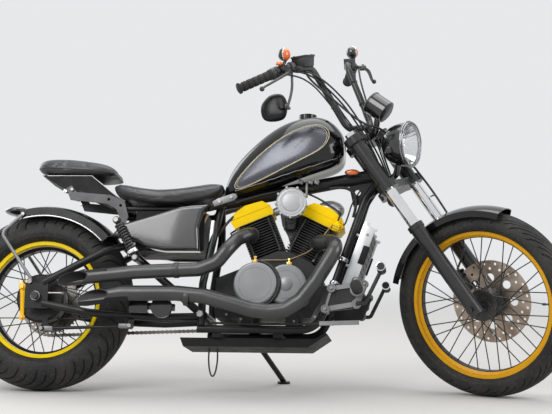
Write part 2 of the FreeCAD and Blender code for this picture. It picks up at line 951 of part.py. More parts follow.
def handlebar():
    """Tall pulled-back handlebar on two risers."""
    right = bar_points(-1)
    left = bar_points(1)
    tube = shaped("BarTube", pipe(right[::-1] + left, size("bar_radius"), size("bar_bend")))
    risers = []
    top = size("upper_clamp_at") + size("clamp_height")
    for index, hand in enumerate((-1, 1)):
        side = hand * size("bar_base_half") * 0.55
        risers.append(rod(f"Riser{index}", fork_point(top + gap, side),
                          fork_point(top + size("riser_height"), side), "riser_radius"))
    node("steering", "handlebar", joined("Handlebar", [tube] + risers))


def grips():
    """Rubber grips over the bar ends."""
    start = on_grip(-1, size("grip_length"))
    end = on_grip(-1, -size("flange_wall"))
    sleeve = rod("GripSleeve", start, end, "grip_radius")
    hole = rod("GripHole", on_grip(-1, size("grip_length") * 2), on_grip(-1, -gap),
               "bar_radius + seating_gap")
    node("steering", "grips", paired("Grips", cut("GripRight", sleeve, hole)))


def bar_room():
    """Room that fittings leave round the handlebar."""
    right = bar_points(-1)
    radius = size("bar_radius") + gap
    return shaped("BarRoom", pipe(right[::-1] + bar_points(1), radius, size("bar_bend")))


def hand_controls(room):
    """Switch barrels with their lever perches, levers, and the brake fluid cylinder."""
    inner = size("grip_length") + size("switch_length")
    barrel = rod("SwitchBarrel", on_grip(-1, inner), on_grip(-1, size("grip_length") + gap),
                 "switch_radius")
    ahead = Vector(size("switch_radius") * 1.6, 0, 0)
    perch_start = on_grip(-1, inner - size("switch_length") / 3)
    perch = rod("LeverPerch", perch_start, perch_start + ahead, "lever_ball")
    hole = rod("SwitchHole", on_grip(-1, inner + size("switch_length")), on_grip(-1, 0),
               "bar_radius + seating_gap")
    switch = cut("SwitchRight", joined("SwitchBody", [barrel, perch]), hole)
    heel_radius = size("lever_ball") + size("lever_radius")
    pivot = perch_start + ahead + Vector(heel_radius + gap, 0, 0)
    tip = pivot + grip_direction(-1) * size("lever_length")
    blade = rod("LeverBlade", pivot, tip, "lever_radius")
    knob = ball("LeverBall", tip, "lever_ball")
    heel = ball("LeverHeel", pivot, "lever_ball + lever_radius")
    lever = joined("LeverRight", [blade, knob, heel])
    points = bar_points(-1)
    middle = (points[1] + points[2]) * 0.5
    corner = middle - Vector(size("bar_radius"), size("master_length") / 2, size("bar_radius"))
    tank = block("MasterBody", corner, "master_width", "master_length",
                 "master_height + bar_radius")
    master = cut("BrakeMaster", tank, room)
    pieces = [switch, lever]
    pieces += [mirrored(piece.Name + "Left", piece) for piece in pieces]
    node("steering", "hand_controls", grouped("HandControls", pieces + [master]))


def mirror(room):
    """Oval mirror hung below the right half of the bar on a bent stalk."""
    points = bar_points(-1)
    hang = points[1] + (points[2] - points[1]) * 0.86
    drop = size("mirror_height")
    elbow = hang - UP * (size("bar_radius") + drop * 0.9)
    back = elbow + Vector(-drop * 0.55, 0, -drop * 0.45)
    stalk = shaped("MirrorStalk", pipe([hang, elbow, back], size("mirror_stalk"), drop / 4))
    face = doc.addObject("Part::Ellipsoid", "MirrorHead")
    face.setExpression("Radius1", bound("mirror_depth / 2"))
    face.setExpression("Radius2", bound("mirror_width / 2"))
    face.setExpression("Radius3", bound("mirror_height / 2"))
    face.Placement = Placement(back, Rotation(LEFT, 90))
    node("steering", "mirror", cut("Mirror", joined("MirrorWhole", [stalk, face]), room))


def turn_signals(room):
    """Round front signals standing on the bar."""
    points = bar_points(-1)
    foot = points[2] + (points[3] - points[2]) * 0.12
    centre = foot + UP * (size("signal_radius") * 2)
    stem = rod("SignalStem", foot, centre, "signal_stalk")
    head = ball("SignalHead", centre, "signal_radius")
    right = cut("SignalRight", joined("SignalWhole", [stem, head]), room)
    node("steering", "turn_signals", paired("TurnSignals", right))


def headlight():
    """Round headlight bowl on a bracket from the lower clamp, and its lens."""
    bowl = turned("HeadlightBowl", [
        ("lamp_radius", "0 - lamp_depth * 0.12"),
        ("lamp_radius * 0.9", "0 - lamp_depth * 0.6", "lamp_radius * 0.3", "0 - lamp_depth"),
        ("0", "0 - lamp_depth"),
        ("0", "0"),
        ("lamp_radius", "0"),
    ])
    centre = Vector(size("lamp_x"), 0, size("lamp_z"))
    facing = Rotation(UP, -90)
    bowl.Placement = Placement(centre, facing)
    foot = fork_point(size("lower_clamp_at") + size("clamp_height") / 2, 0,
                      size("fork_offset") + size("clamp_reach") * 0.4 + gap)
    knee = foot + steer_ahead * (size("lamp_stem") * 2)
    arm = shaped("HeadlightArm", pipe([foot, knee, Vector(knee.x, 0, centre.z)],
                                      size("lamp_stem"), size("lamp_stem") * 2))
    node("steering", "headlight", joined("Headlight", [bowl, arm]))
    lens = turned("HeadlightLens", [
        ("0", "seating_gap"),
        ("lens_radius", "seating_gap"),
        ("lens_radius", "lamp_depth * 0.04"),
        ("lens_radius * 0.6", "lamp_depth * 0.14"),
        ("0", "lamp_depth * 0.18"),
    ])
    lens.Placement = Placement(centre, facing)
    node("steering", "headlight_lens", lens)


def gauge():
    """Small round instrument above the upper clamp, its dial to the rider."""
    tilt = math.radians(size("gauge_tilt"))
    ahead = Vector(math.cos(tilt), 0, -math.sin(tilt))
    centre = Vector(size("gauge_x"), 0, size("gauge_z"))
    half = ahead * (size("gauge_depth") / 2)
    drum = rod("GaugeDrum", centre - half, centre + half, "gauge_radius")
    foot = fork_point(size("upper_clamp_at") + size("clamp_height") / 2, 0,
                      size("fork_offset") + size("clamp_reach") * 0.4 + gap)
    stem = shaped("GaugeStem", pipe([foot, foot + steer_ahead * (size("lamp_stem") * 2), centre],
                                    size("lamp_stem"), size("lamp_stem") * 2))
    node("steering", "instrument", joined("Instrument", [drum, stem]))


def caliper():
    """Brake caliper behind the left slider, slotted for the disc, and its bracket."""
    inner = size("front_hub_side") - size("caliper_slot") * 1.6
    outer = inner + size("caliper_width")
    back = size("fork_offset") - size("slider_radius") - size("caliper_depth")
    low = size("caliper_along") - size("caliper_length") / 2
    body = block("CaliperBody", fork_point(low, inner, back), "caliper_depth", "caliper_width",
                 "caliper_length", steer_turn)
    across = size("fork_half") - outer
    front = size("fork_offset") - math.sqrt(size("slider_radius") ** 2 - across ** 2) - gap
    ear_shape = Part.makeBox(front - back - size("caliper_depth") / 2, size("caliper_slot"),
                             size("caliper_length") / 2)
    ear = shaped("CaliperEar", ear_shape)
    ear.Placement = Placement(fork_point(low + size("caliper_length") / 4,
                                         outer - size("caliper_slot"),
                                         back + size("caliper_depth") / 2), steer_turn)
    side = size("front_hub_side") + size("disc_wall") / 2
    slot = rod("CaliperSlot", front_axle + LEFT * (side - size("caliper_slot")),
               front_axle + LEFT * (side + size("caliper_slot")), "disc_radius + running_gap")
    whole = joined("CaliperWhole", [body, ear])
    node("steering", "brake_caliper", cut("BrakeCaliper", whole, slot))


HOSE_SHARES = (
    (548, 95, 103), (440, 103, 103), (245, 88, 98), (224, 76, 90), (194, 66, 67),
)


def brake_hose():
    """Brake hose from the fluid cylinder, behind the lamp and down the left fork leg."""
    points = bar_points(-1)
    middle = (points[1] + points[2]) * 0.5
    start = middle + Vector(size("bar_radius") * 2, 0, -size("bar_radius") - gap)
    lamp = Vector(size("lamp_x"), 0, size("lamp_z"))
    depth = size("lamp_depth")
    radius = size("gauge_radius")
    behind = Vector(lamp.x - depth * 1.05, 0, lamp.z + size("lamp_radius") * 0.8)
    route = [
        start,
        start - UP * (size("bar_radius") * 2),
        points[0] + Vector(-radius * 0.8, -radius, size("bar_rise") * 0.49),
        behind + Vector(-radius * 0.9, -radius * 1.8, radius * 0.4),
        behind,
        lamp + Vector(-depth * 0.87, radius * 1.8, -radius / 6),
    ]
    route += [fork_point(along, side, ahead) for along, side, ahead in HOSE_SHARES]
    end = fork_point(size("caliper_along") + size("caliper_length") / 2 + gap, size("hose_end_side"),
                     size("hose_end_ahead"))
    route += [end + steer_up * (size("hose_radius") * 3), end]
    hose = pipe(route, size("hose_radius"), size("hose_bend"))
    node("steering", "brake_hose", shaped("BrakeHose", hose))


HANGER_LOW_SHARE = 0.24
HANGER_HIGH_SHARE = 0.16


def frame():
    """Steering head, spine, rear uprights and seat rails, welded; and the engine cradle."""
    head = rod("HeadTube", fork_point(size("head_bottom"), 0, 0),
               fork_point(size("head_top"), 0, 0), "head_radius")
    rise = (size("spine_front_z") - steer_foot.z) / steer_up.z
    front = steer_foot + steer_up * rise
    rear = Vector(size("spine_rear_x"), 0, size("spine_rear_z"))
    spine = rod("Spine", front, rear, "spine_radius")
    rail_half = size("seat_rail_half")
    seat_z = size("seat_z") - size("seat_rail_radius") - gap
    rail = shaped("SeatRail", pipe([
        rear + Vector(size("spine_radius"), -size("seat_rail_radius"), 0),
        Vector(rear.x - size("spine_radius") * 1.6, -rail_half, seat_z),
        Vector(size("seat_rear_x"), -rail_half, seat_z),
    ], size("seat_rail_radius"), size("spine_radius")))
    foot_z = size("rail_z") + size("cradle_radius") + gap
    pivot = Vector(size("pivot_x"), -size("rail_half"), size("pivot_z"))
    upright = shaped("Upright", pipe([
        rear + Vector(0, -size("upright_radius"), -size("spine_radius") / 2),
        Vector(rear.x - size("upright_radius") / 2, -size("seat_rail_half"),
               rear.z - size("rail_half")),
        Vector(pivot.x, pivot.y, pivot.z + size("cradle_bend") * 1.4),
        Vector(pivot.x, pivot.y, foot_z),
    ], size("upright_radius"), size("cradle_bend")))
    parts = [head, spine, head_gusset(front)]
    low_hang = size("lower_pipe_z") + size("lower_fall") * HANGER_LOW_SHARE
    high_hang = size("pivot_z") + size("upper_rise") + size("upper_fall") * HANGER_HIGH_SHARE
    slope = size("upright_radius") * 0.9
    for index, (x, y, z, reach) in enumerate((
            (pivot.x, pivot.y, low_hang, size("pipe_side") - size("lower_pipe_radius") - gap),
            (pivot.x + slope, pivot.y + slope, high_hang,
             size("pipe_side") - size("upper_pipe_radius") - gap))):
        parts.append(rod(f"Hanger{index}", Vector(x, y, z), Vector(x, -reach, z),
                         "hanger_radius"))
    for piece in (rail, upright):
        parts.append(piece)
        parts.append(mirrored(piece.Name + "Left", piece))
    weld = joined("FrameWeld", parts)
    bore = rod("HeadBore", fork_point(0, 0, 0), fork_point(size("fork_top") * 2, 0, 0),
               "stem_radius + seating_gap")
    node("root", "frame", cut("Frame", weld, bore))
    tube = shaped("CradleTube", pipe(cradle_path(), size("cradle_radius"), size("cradle_bend")))
    bracket = stand_bracket(tube.Shape)
    head_room = rod("CradleTrim", fork_point(0, 0, 0), fork_point(size("fork_top"), 0, 0),
                    "head_radius + seating_gap")
    spine_room = rod("CradleSpineTrim", front, rear, "spine_radius + seating_gap")
    rooms = joined("CradleRoom", [head_room, spine_room])
    left_tube = mirrored("CradleTubeLeft", tube)
    left = cut("CradleLeft", joined("CradleWeld", [left_tube, bracket]), rooms)
    right = cut("CradleRight", tube, rooms)
    node("root", "engine_cradle", grouped("EngineCradle", [right, left]))


GUSSET_SHARES = (
    (0.2, -0.6), (-0.16, 0.0), (-1.0, -0.2), (-0.96, -0.45), (-0.8, -1.18), (-0.36, -1.0),
)
GUSSET_HOLE_SHARE = (-0.65, -0.66)


def head_gusset(corner):
    """Flat plate in the angle of the steering head and the spine, with one round hole."""
    length = size("gusset_length")
    half = size("gusset_wall") / 2 - gap

    def at(share):
        """Place a share of the gusset's length back from the corner and down."""
        return (corner.x + share[0] * length, corner.z + share[1] * length)
    body = prism([at(share) for share in GUSSET_SHARES], -half, half)
    x, z = at(GUSSET_HOLE_SHARE)
    hole = Part.makeCylinder(size("gusset_hole"), size("gusset_wall") * 2,
                             Vector(x, size("gusset_wall"), z), -LEFT)
    return shaped("HeadGusset", body.cut(hole))


def cradle_path():
    """Corner points of the right cradle tube, from the steering head to the pivot."""
    rise = (size("spine_front_z") - steer_foot.z) / steer_up.z
    top = steer_foot + steer_up * (rise - size("head_radius"))
    side = size("cradle_radius") + size("gusset_wall") / 2
    low, high = cradle_front()
    return [
        Vector(top.x, -side, top.z),
        high,
        low,
        Vector(size("rail_front_x"), -size("rail_half"), size("rail_z")),
        Vector(size("pivot_x") - size("upright_radius"), -size("rail_half"), size("rail_z")),
    ]


def stand_axis():
    """Hinge axis of the side stand, square to its leg and to the fore-and-aft direction."""
    pivot = stand_pivot()
    leg = stand_foot() - pivot
    return Vector(0, -leg.z, leg.y).normalize()


def stand_pivot():
    """Centre of the side stand's hinge."""
    return Vector(size("stand_pivot_x"), size("stand_pivot_y"), size("stand_pivot_z"))


def stand_foot():
    """Point on the ground under the middle of the side stand's foot."""
    level = stance()
    foot = Vector(size("stand_foot_x"), size("stand_foot_y"), 0)
    height = level.multVec(foot).z
    return foot - UP * (height / level.Rotation.multVec(UP).z)


def stand_bracket(tube_shape):
    """Bracket under the left rail that carries the side stand's hinge."""
    axis = stand_axis()
    inward = axis.cross(FORWARD)
    if inward.y > 0:
        inward = -inward
    pivot = stand_pivot()
    rail = Vector(pivot.x, size("rail_half"), size("rail_z"))
    reach = (rail - pivot).dot(inward)
    lift = (rail - pivot).dot(axis)
    low = size("stand_hub") + gap + size("stand_bracket_wall")
    base = pivot - axis * low
    ear = rod("StandEar", base, base + axis * size("stand_bracket_wall"), "stand_ear")
    end = base + inward * reach
    far = rod("StandEarFar", end, end + axis * size("stand_bracket_wall"), "stand_ear")
    web_shape = Part.makeBox(reach, 2 * size("stand_ear"), size("stand_bracket_wall"),
                             Vector(0, -size("stand_ear"), 0))
    web = shaped("StandWeb", web_shape)
    web.Placement = Placement(base, Rotation(inward, axis.cross(inward), axis, "ZXY"))
    post = rod("StandPost", end, end + axis * (low + lift), "stand_post")
    return joined("StandBracket", [ear, far, web, post])


def swingarm():
    """Triangulated swingarm with its axle plates, pivot tube and fender strap."""
    arm = size("arm_half")
    inner = size("seat_rail_half")
    pivot = Vector(size("pivot_x"), -inner * 0.9, size("pivot_z"))
    bridge = Vector(size("arm_bridge_x"), -inner * 1.05, size("arm_bridge_z"))
    plate_up = size("arm_plate_height") / 2
    ahead = FORWARD * (plate_up * 0.48)
    low = rear_axle + ahead + Vector(0, -arm, -plate_up * 0.55)
    high = rear_axle + ahead + Vector(0, -arm, plate_up * 1.1)
    lower = shaped("ArmLower", pipe([
        low,
        Vector(size("arm_bridge_x") * 0.64, -arm, pivot.z + size("arm_radius") / 4),
        Vector(size("arm_bridge_x") * 1.42, -arm * 0.72, pivot.z - size("arm_radius") / 2),
        pivot,
    ], size("arm_radius"), arm))
    upper = shaped("ArmUpper", pipe([
        high,
        Vector(size("arm_bridge_x") * 0.78, -arm, bridge.z - size("arm_radius") * 2),
        bridge,
    ], size("arm_radius"), size("arm_radius") * 3))
    strut_top = Vector(bridge.x, bridge.y * 0.66, bridge.z)
    strut = rod("ArmStrut", strut_top, Vector(pivot.x, strut_top.y, pivot.z), "arm_radius")
    corner = rear_axle + Vector(-size("arm_plate_length") / 2, -arm - size("arm_plate_wall") / 2,
                                -plate_up * 0.95)
    end_plate = block("ArmPlate", corner, "arm_plate_length", "arm_plate_wall", "arm_plate_height")
    parts = []
    for piece in (lower, upper, strut, end_plate):
        parts.append(piece)
        parts.append(mirrored(piece.Name + "Left", piece))
    parts.append(rod("ArmBridge", bridge, bridge - LEFT * (2 * bridge.y), "arm_radius"))
    width = size("rail_half") - size("upright_radius") - gap
    centre = Vector(size("pivot_x"), 0, size("pivot_z"))
    parts.append(rod("ArmPivot", centre - LEFT * width, centre + LEFT * width, "pivot_radius"))
    lug_foot = Vector(size("strut_foot_x"), strut_top.y, size("strut_foot_z"))
    lug_end = Vector(size("strut_foot_x"), -size("strut_y") + size("strut_radius") + gap,
                     size("strut_foot_z"))
    parts.append(rod("ArmLug", lug_foot, lug_end, "strut_eye"))
    eye = size("torque_eye")
    torque_side = -size("torque_y") + size("torque_rod_radius") * 2 * EYE_SHARE + gap
    torque_eye = Vector(size("torque_front_x"), torque_side, size("torque_front_z"))
    parts.append(rod("TorqueLugEye", torque_eye, torque_eye + LEFT * eye, "torque_eye"))
    parts.append(block("TorqueLugWeb", torque_eye - FORWARD * eye, "torque_eye * 2", "torque_eye",
                       "pivot_z - torque_front_z"))
    parts.append(fender_strap(Vector(bridge.x, 0, bridge.z)))
    hole = rod("ArmAxleHole", rear_axle - LEFT * (2 * arm), rear_axle + LEFT * (2 * arm),
               "rear_axle_radius + seating_gap")
    node("root", "swingarm", cut("Swingarm", joined("ArmWeld", parts), hole))


def fender_strap(start):
    """Strap from the swingarm's bridge to the inside of the rear fender's front end."""
    inside = size("rear_fender_crown") - size("fender_wall") - size("mirror_stalk")
    first = math.radians(size("rear_fender_start"))
    step = math.radians(size("fender_wall") * 2)
    knee_reach = inside - size("fender_wall") / 2
    knee = rear_axle + Vector(math.cos(first - step / 4), 0, math.sin(first - step / 4)) * knee_reach
    end_angle = first + step
    end = rear_axle + Vector(math.cos(end_angle), 0, math.sin(end_angle)) * (inside - gap)
    path = [start, knee, end]
    return shaped("FenderStrap", pipe(path, size("mirror_stalk"), size("arm_radius")))


def rear_axle_set():
    """Rear axle with its nuts, and the brake panel with its arm and torque rod."""
    arm = size("arm_half") + size("arm_plate_wall") / 2 + gap
    end = arm + size("cover_edge") * 3
    parts = [rod("AxleBar", rear_axle - LEFT * end, rear_axle + LEFT * end, "rear_axle_radius")]
    for index, hand in enumerate((-1, 1)):
        parts.append(rod(f"AxleNut{index}", rear_axle + LEFT * (hand * arm),
                         rear_axle + LEFT * (hand * (arm + size("cover_edge") * 2)),
                         "rear_axle_radius * 1.7"))
    node("root", "rear_axle", joined("RearAxle", parts))
    bore = "rear_axle_radius + seating_gap"
    near = "(0 - rear_drum_side - running_gap)"
    far = f"({near} - brake_panel_depth)"
    stand_off = "(0 - arm_half + arm_radius + seating_gap)"
    panel = turned("BrakePanel", [
        (bore, near),
        ("brake_panel_radius", near),
        ("brake_panel_radius", f"{far} + cover_edge"),
        ("brake_panel_radius - cover_edge", far),
        ("rear_axle_radius * 2", far),
        ("rear_axle_radius * 2", stand_off),
        (bore, stand_off),
    ])
    panel.Placement = Placement(rear_axle, Rotation())
    face = -size("rear_drum_side") - size("running_gap") - size("brake_panel_depth")
    eye = size("torque_eye")
    rear_eye = Vector(size("torque_rear_x"), face, size("torque_rear_z"))
    lug_top = Vector(rear_eye.x, face, rear_axle.z - size("brake_panel_radius") * LUG_SHARE)
    lug_wall = size("brake_panel_depth") / 2
    lug = joined("PanelLug", [
        rod("PanelLugEye", rear_eye, rear_eye + LEFT * lug_wall, "torque_eye"),
        block("PanelLugWeb", rear_eye - FORWARD * eye, "torque_eye * 2", "brake_panel_depth / 2",
              f"{lug_top.z - rear_eye.z}"),
    ])
    node("root", "brake_panel", joined("BrakePanelSet", [panel, lug]))
    node("root", "torque_rod", torque_rod(face - gap))
    cam = rear_axle + Vector(-size("brake_panel_radius") * 0.7, face - gap,
                             size("brake_panel_radius") * 0.4)
    arm_end = cam + Vector(0, 0, -size("brake_arm_length"))
    thick = LEFT * size("brake_arm_wall")
    arm_parts = [
        rod("ArmCam", cam, cam - thick, "brake_arm_width"),
        rod("ArmTip", arm_end, arm_end - thick, "brake_arm_width * 0.7"),
        block("ArmBlade", arm_end + Vector(-size("brake_arm_width") / 2, -size("brake_arm_wall"), 0),
              "brake_arm_width", "brake_arm_wall", "brake_arm_length"),
    ]
    node("root", "brake_arm", joined("BrakeArm", arm_parts))


LUG_SHARE = 0.8
EYE_SHARE = 0.75


def torque_rod(face):
    """Rod that holds the brake panel, between an eye on it and one on the swingarm."""
    rear = Vector(size("torque_rear_x"), 0, size("torque_rear_z"))
    front = Vector(size("torque_front_x"), 0, size("torque_front_z"))
    side = LEFT * -size("torque_y")
    out = LEFT * (size("torque_rod_radius") * 2)
    parts = [
        rod("TorqueRod", rear + side, front + side, "torque_rod_radius"),
        rod("TorqueRearEye", rear + LEFT * face, rear + side - out, "torque_eye"),
        rod("TorqueFrontEye", front + side + out * EYE_SHARE, front + side - out * EYE_SHARE,
            "torque_eye"),
    ]
    return joined("TorqueRodSet", parts)


def chain():
    """Drive chain round both sprockets, as one fixed loop, and the front sprocket."""
    front = Vector(size("drive_x"), 0, size("drive_z"))
    inner = belt_face(front, size("chain_gap"))
    outer = belt_face(front, size("chain_gap") + size("chain_height"))
    middle = size("rear_carrier_side") + size("sprocket_wall") / 2
    start = middle - size("chain_width") / 2
    band = outer.cut(inner).extrude(LEFT * size("chain_width"))
    band.translate(LEFT * start)
    node("root", "chain", shaped("Chain", band))
    toothed = rod("FrontSprocket", front + LEFT * (middle - size("sprocket_wall") / 2),
                  front + LEFT * (middle + size("sprocket_wall") / 2),
                  "front_sprocket_radius + chain_gap - seating_gap")
    bay_side = size("rear_carrier_side") - size("sprocket_wall")
    stub = rod("FrontShaft", front + LEFT * (bay_side + gap),
               front + LEFT * (middle + size("cover_edge")), "rear_axle_radius")
    node("root", "front_sprocket", joined("FrontSprocketSet", [toothed, stub]))


def belt_face(front, offset):
    """Flat face inside a loop that wraps both sprockets at an offset."""
    big = size("sprocket_radius") + offset
    small = size("front_sprocket_radius") + offset
    span = front - rear_axle
    lean_angle = math.atan2(span.z, span.x)
    open_angle = math.acos((big - small) / span.Length)
    corners = []
    for centre, radius in ((rear_axle, big), (front, small)):
        for hand in (1, -1):
            angle = lean_angle + hand * open_angle
            corners.append(centre + Vector(radius * math.cos(angle), 0, radius * math.sin(angle)))
    back = rear_axle - span.normalize() * big
    nose = front + span * small
    edges = [
        Part.LineSegment(corners[0], corners[2]).toShape(),
        Part.Arc(corners[2], nose, corners[3]).toShape(),
        Part.LineSegment(corners[3], corners[1]).toShape(),
        Part.Arc(corners[1], back, corners[0]).toShape(),
    ]
    return Part.Face(Part.Wire(edges))


def bank_point(bank, along, across, side=0):
    """Point measured up a cylinder's axis from the crankshaft."""
    angle = math.radians(bank)
    crank = Vector(size("crank_x"), side, size("crank_z"))
    axis = Vector(math.sin(angle), 0, math.cos(angle))
    return crank + axis * along + Vector(axis.z, 0, -axis.x) * across


ROCKER_SHARES = ((-1.1, 0), (0.97, 0), (1.03, 0.22), (0.97, 0.55), (0.68, 0.9), (-0.22, 1.0),
                 (-0.93, 0.79), (-1.19, 0.39))


def engine():
    """Crankcase, two finned cylinders, rocker covers and side covers."""
    half = size("case_half")
    base = size("barrel_base")
    deck = size("fin_half") * 0.76
    rear = -size("rear_bank")
    front = size("front_bank")
    rear_out = bank_point(rear, base, -deck)
    rear_in = bank_point(rear, base, deck * 0.9)
    front_in = bank_point(front, base, -deck * 0.9)
    front_out = bank_point(front, base, deck)
    low = size("rail_z") + size("cradle_radius") + size("alternator_radius") * 0.35
    back = size("pivot_x") + size("clutch_radius") * 0.6
    nose = size("crank_x") + size("clutch_radius") * 2
    outline = [
        (back, low), (back - size("cover_edge"), size("crank_z") - deck),
        (back, size("crank_z") + deck), (rear_out.x - deck, rear_out.z - deck * 0.6),
        (rear_out.x, rear_out.z), (rear_in.x, rear_in.z),
        (front_in.x, front_in.z), (front_out.x, front_out.z),
        (nose - deck * 0.2, size("crank_z") + deck), (nose, size("crank_z")),
        (nose - deck, low),
    ]
    case = prism(outline, -half, half)
    bay_side = size("rear_carrier_side") - size("sprocket_wall")
    reach = size("front_sprocket_radius") + size("chain_height") * 2
    bay = Part.makeBox(reach * 2, half, reach * 2,
                       Vector(size("drive_x") - reach, bay_side, size("drive_z") - reach))
    case = case.cut(bay)
    mount_z = size("rail_z") + size("cradle_radius") + gap
    foot = size("engine_foot")
    rear_foot = size("drive_x") + reach + size("cover_edge")
    front_foot = size("rail_front_x") - foot * 2.75
    for x in (rear_foot, front_foot):
        for y in (-half - foot * 0.6, half - foot * 0.2):
            case = case.fuse(Part.makeBox(foot, foot * 0.8, low - mount_z + foot * 0.2,
                                          Vector(x, y, mount_z)))
    node("root", "crankcase", shaped("Crankcase", case.removeSplitter()))
    barrels = []
    covers = []
    for bank, hand in ((rear, 1), (front, -1)):
        barrels.append(cylinder_shape(bank))
        profile = []
        rise = size("rocker_top") - size("barrel_top")
        for across, along in ROCKER_SHARES:
            point = bank_point(bank, size("barrel_top") + along * rise,
                               across * size("rocker_half") * hand)
            profile.append((point.x, point.z))
        cover = prism(profile, -size("rocker_side"), size("rocker_side"))
        covers.append(cover.cut(split_groove(bank, hand)))
    node("root", "cylinders", shaped("Cylinders", Part.makeCompound(barrels)))
    node("root", "rocker_covers", shaped("RockerCovers", Part.makeCompound(covers)))


GROOVE_SHARE = 0.46


def split_groove(bank, hand):
    """Shallow groove round a rocker cover where its two halves meet, to be cut from it."""
    rise = size("rocker_top") - size("barrel_top")
    depth = size("groove_depth")
    middle = size("barrel_top") + GROOVE_SHARE * rise
    reach = size("rocker_half") * 2
    axis = bank_point(bank, 1, 0) - bank_point(bank, 0, 0)
    slab = Part.makeBox(reach * 2, reach * 2, size("groove_wall"), Vector(-reach, -reach, 0))
    slab.Placement = Placement(bank_point(bank, middle, 0), Rotation(UP, axis))
    profile = []
    for across, along in ROCKER_SHARES:
        inset = depth if across > 0 else -depth
        point = bank_point(bank, size("barrel_top") + along * rise,
                           (across * size("rocker_half") - inset) * hand)
        profile.append((point.x, point.z))
    side = size("rocker_side") - depth
    return slab.cut(prism(profile, -side, side))


def cylinder_shape(bank):
    """One cylinder: a barrel with flat cooling fins welded round it."""
    base = size("barrel_base") + gap
    top = size("barrel_top") - gap
    axis = bank_point(bank, 1, 0) - bank_point(bank, 0, 0)
    turn = Rotation(UP, axis)
    barrel = Part.makeCylinder(size("barrel_radius"), top - base, bank_point(bank, base, 0), axis)
    solids = []
    count = int(size("fin_count"))
    pitch = (top - base) / count
    for index in range(count):
        fin = Part.makeBox(size("fin_half") * 2, size("fin_side") * 2, size("fin_wall"),
                           Vector(-size("fin_half"), -size("fin_side"), 0))
        fin.Placement = Placement(bank_point(bank, top - size("fin_wall") - index * pitch, 0), turn)
        solids.append(fin)
    return barrel.fuse(solids)


def engine_side_covers():
    """Round covers on both sides of the crankcase."""
    half = size("case_half") + gap
    clutch_at = Vector(size("clutch_x"), -half, size("clutch_z"))
    clutch = round_cover("clutch", clutch_at, size("clutch_depth"), -1)
    timing_at = Vector(size("timing_x"), -half, size("timing_z"))
    timing = round_cover("timing", timing_at, size("timing_depth"), -1)
    room = Part.makeCylinder(size("clutch_radius") + size("cover_edge") / 2, half,
                             clutch_at + LEFT * (gap - half), LEFT)
    room.translate(LEFT * -gap)
    timing_side = timing.cut(room)
    left_at = Vector(size("crank_x"), half, size("crank_z"))
    alternator = round_cover("alternator", left_at, size("alternator_depth"), 1)
    covers = Part.makeCompound([clutch, timing_side, alternator])
    node("root", "engine_covers", shaped("EngineCovers", covers))


def round_cover(prefix, foot, depth, hand):
    """Domed round cover standing off the crankcase."""
    radius = size(f"{prefix}_radius")
    edge = size("cover_edge")
    body = Part.makeCylinder(radius, depth, foot, LEFT * hand)
    rims = [e for e in body.Edges if len(e.Vertexes) == 1 and abs(e.CenterOfMass.y - foot.y) > edge]
    return body.makeFillet(edge, rims)


def air_cleaner():
    """Round aluminium intake cover in the vee, on its duct and inlet stubs."""
    centre = Vector(size("air_x"), -size("air_y"), size("air_z"))
    drum = rod("AirDrum", centre + LEFT * size("air_depth"), centre, "air_radius")
    duct = rod("AirDuct", centre + LEFT * (size("air_y") * 2 - size("air_depth")),
               centre + LEFT * size("air_depth") * 0.5, "intake_radius")
    hub = Vector(centre.x, 0, centre.z)
    widest = max(across for across, _ in ROCKER_SHARES)
    reach = widest * size("rocker_half") + gap
    height = size("barrel_top") + ROCKER_SHARES[2][1] * (size("rocker_top") - size("barrel_top"))
    pieces = [drum, duct]
    for index, (bank, hand) in enumerate(((-size("rear_bank"), 1), (size("front_bank"), -1))):
        face = bank_point(bank, height, hand * reach)
        knee = bank_point(bank, height, hand * (reach + size("stem_post")))
        stub = pipe([face, knee, hub], size("stem_post"), size("stem_post"))
        pieces.append(shaped(f"InletStub{index}", stub))
    node("root", "air_cleaner", joined("AirCleaner", pieces))


def radiator():
    """Upright radiator ahead of the cradle tubes, on four short pins."""
    slope = math.atan2(SLOPE_SHARES[0], SLOPE_SHARES[1])
    turn = Rotation(LEFT, math.degrees(slope))
    ahead = turn.multVec(FORWARD)
    low, high = cradle_front()
    foot = Vector(low.x, 0, low.z)
    standoff = size("cradle_radius") + size("radiator_gap")
    corner = foot + turn.multVec(Vector(standoff, -size("radiator_width") / 2, 0))
    core = block("RadiatorCore", corner, "radiator_depth", "radiator_width", "radiator_height", turn)
    pieces = [core]
    proud = size("fender_wall")
    tank_width = size("radiator_tank")
    for index, start in enumerate((0, size("radiator_width") - tank_width)):
        side_corner = corner + turn.multVec(Vector(-proud, start, 0))
        pieces.append(block(f"RadiatorTank{index}", side_corner, "radiator_depth + fender_wall * 2",
                            "radiator_tank", "radiator_height", turn))
    for index, share in enumerate((0.25, 0.6)):
        rest = low + (high - low) * share
        start = rest + ahead * (size("cradle_radius") + gap)
        pin = rod(f"RadiatorPin{index}", start, start + ahead * (size("radiator_gap") * 1.5),
                  "radiator_pin")
        pieces += [pin, mirrored(f"RadiatorPinLeft{index}", pin)]
    node("root", "radiator", joined("Radiator", pieces))


def cradle_front():
    """Ends of the straight run of the right cradle tube behind the radiator."""
    half = size("rail_half")
    low = Vector(size("rail_front_x") + half * 0.475, -half * 0.74, size("rail_z") + half * 1.38)
    rise = (size("spine_front_z") - steer_foot.z) / steer_up.z
    top = steer_foot + steer_up * (rise - size("head_radius"))
    high = top + Vector(-size("head_radius") * 1.9, -half * 0.33, -half * 0.64)
    return low, high


SLOPE_SHARES = (0.345, 1.0)


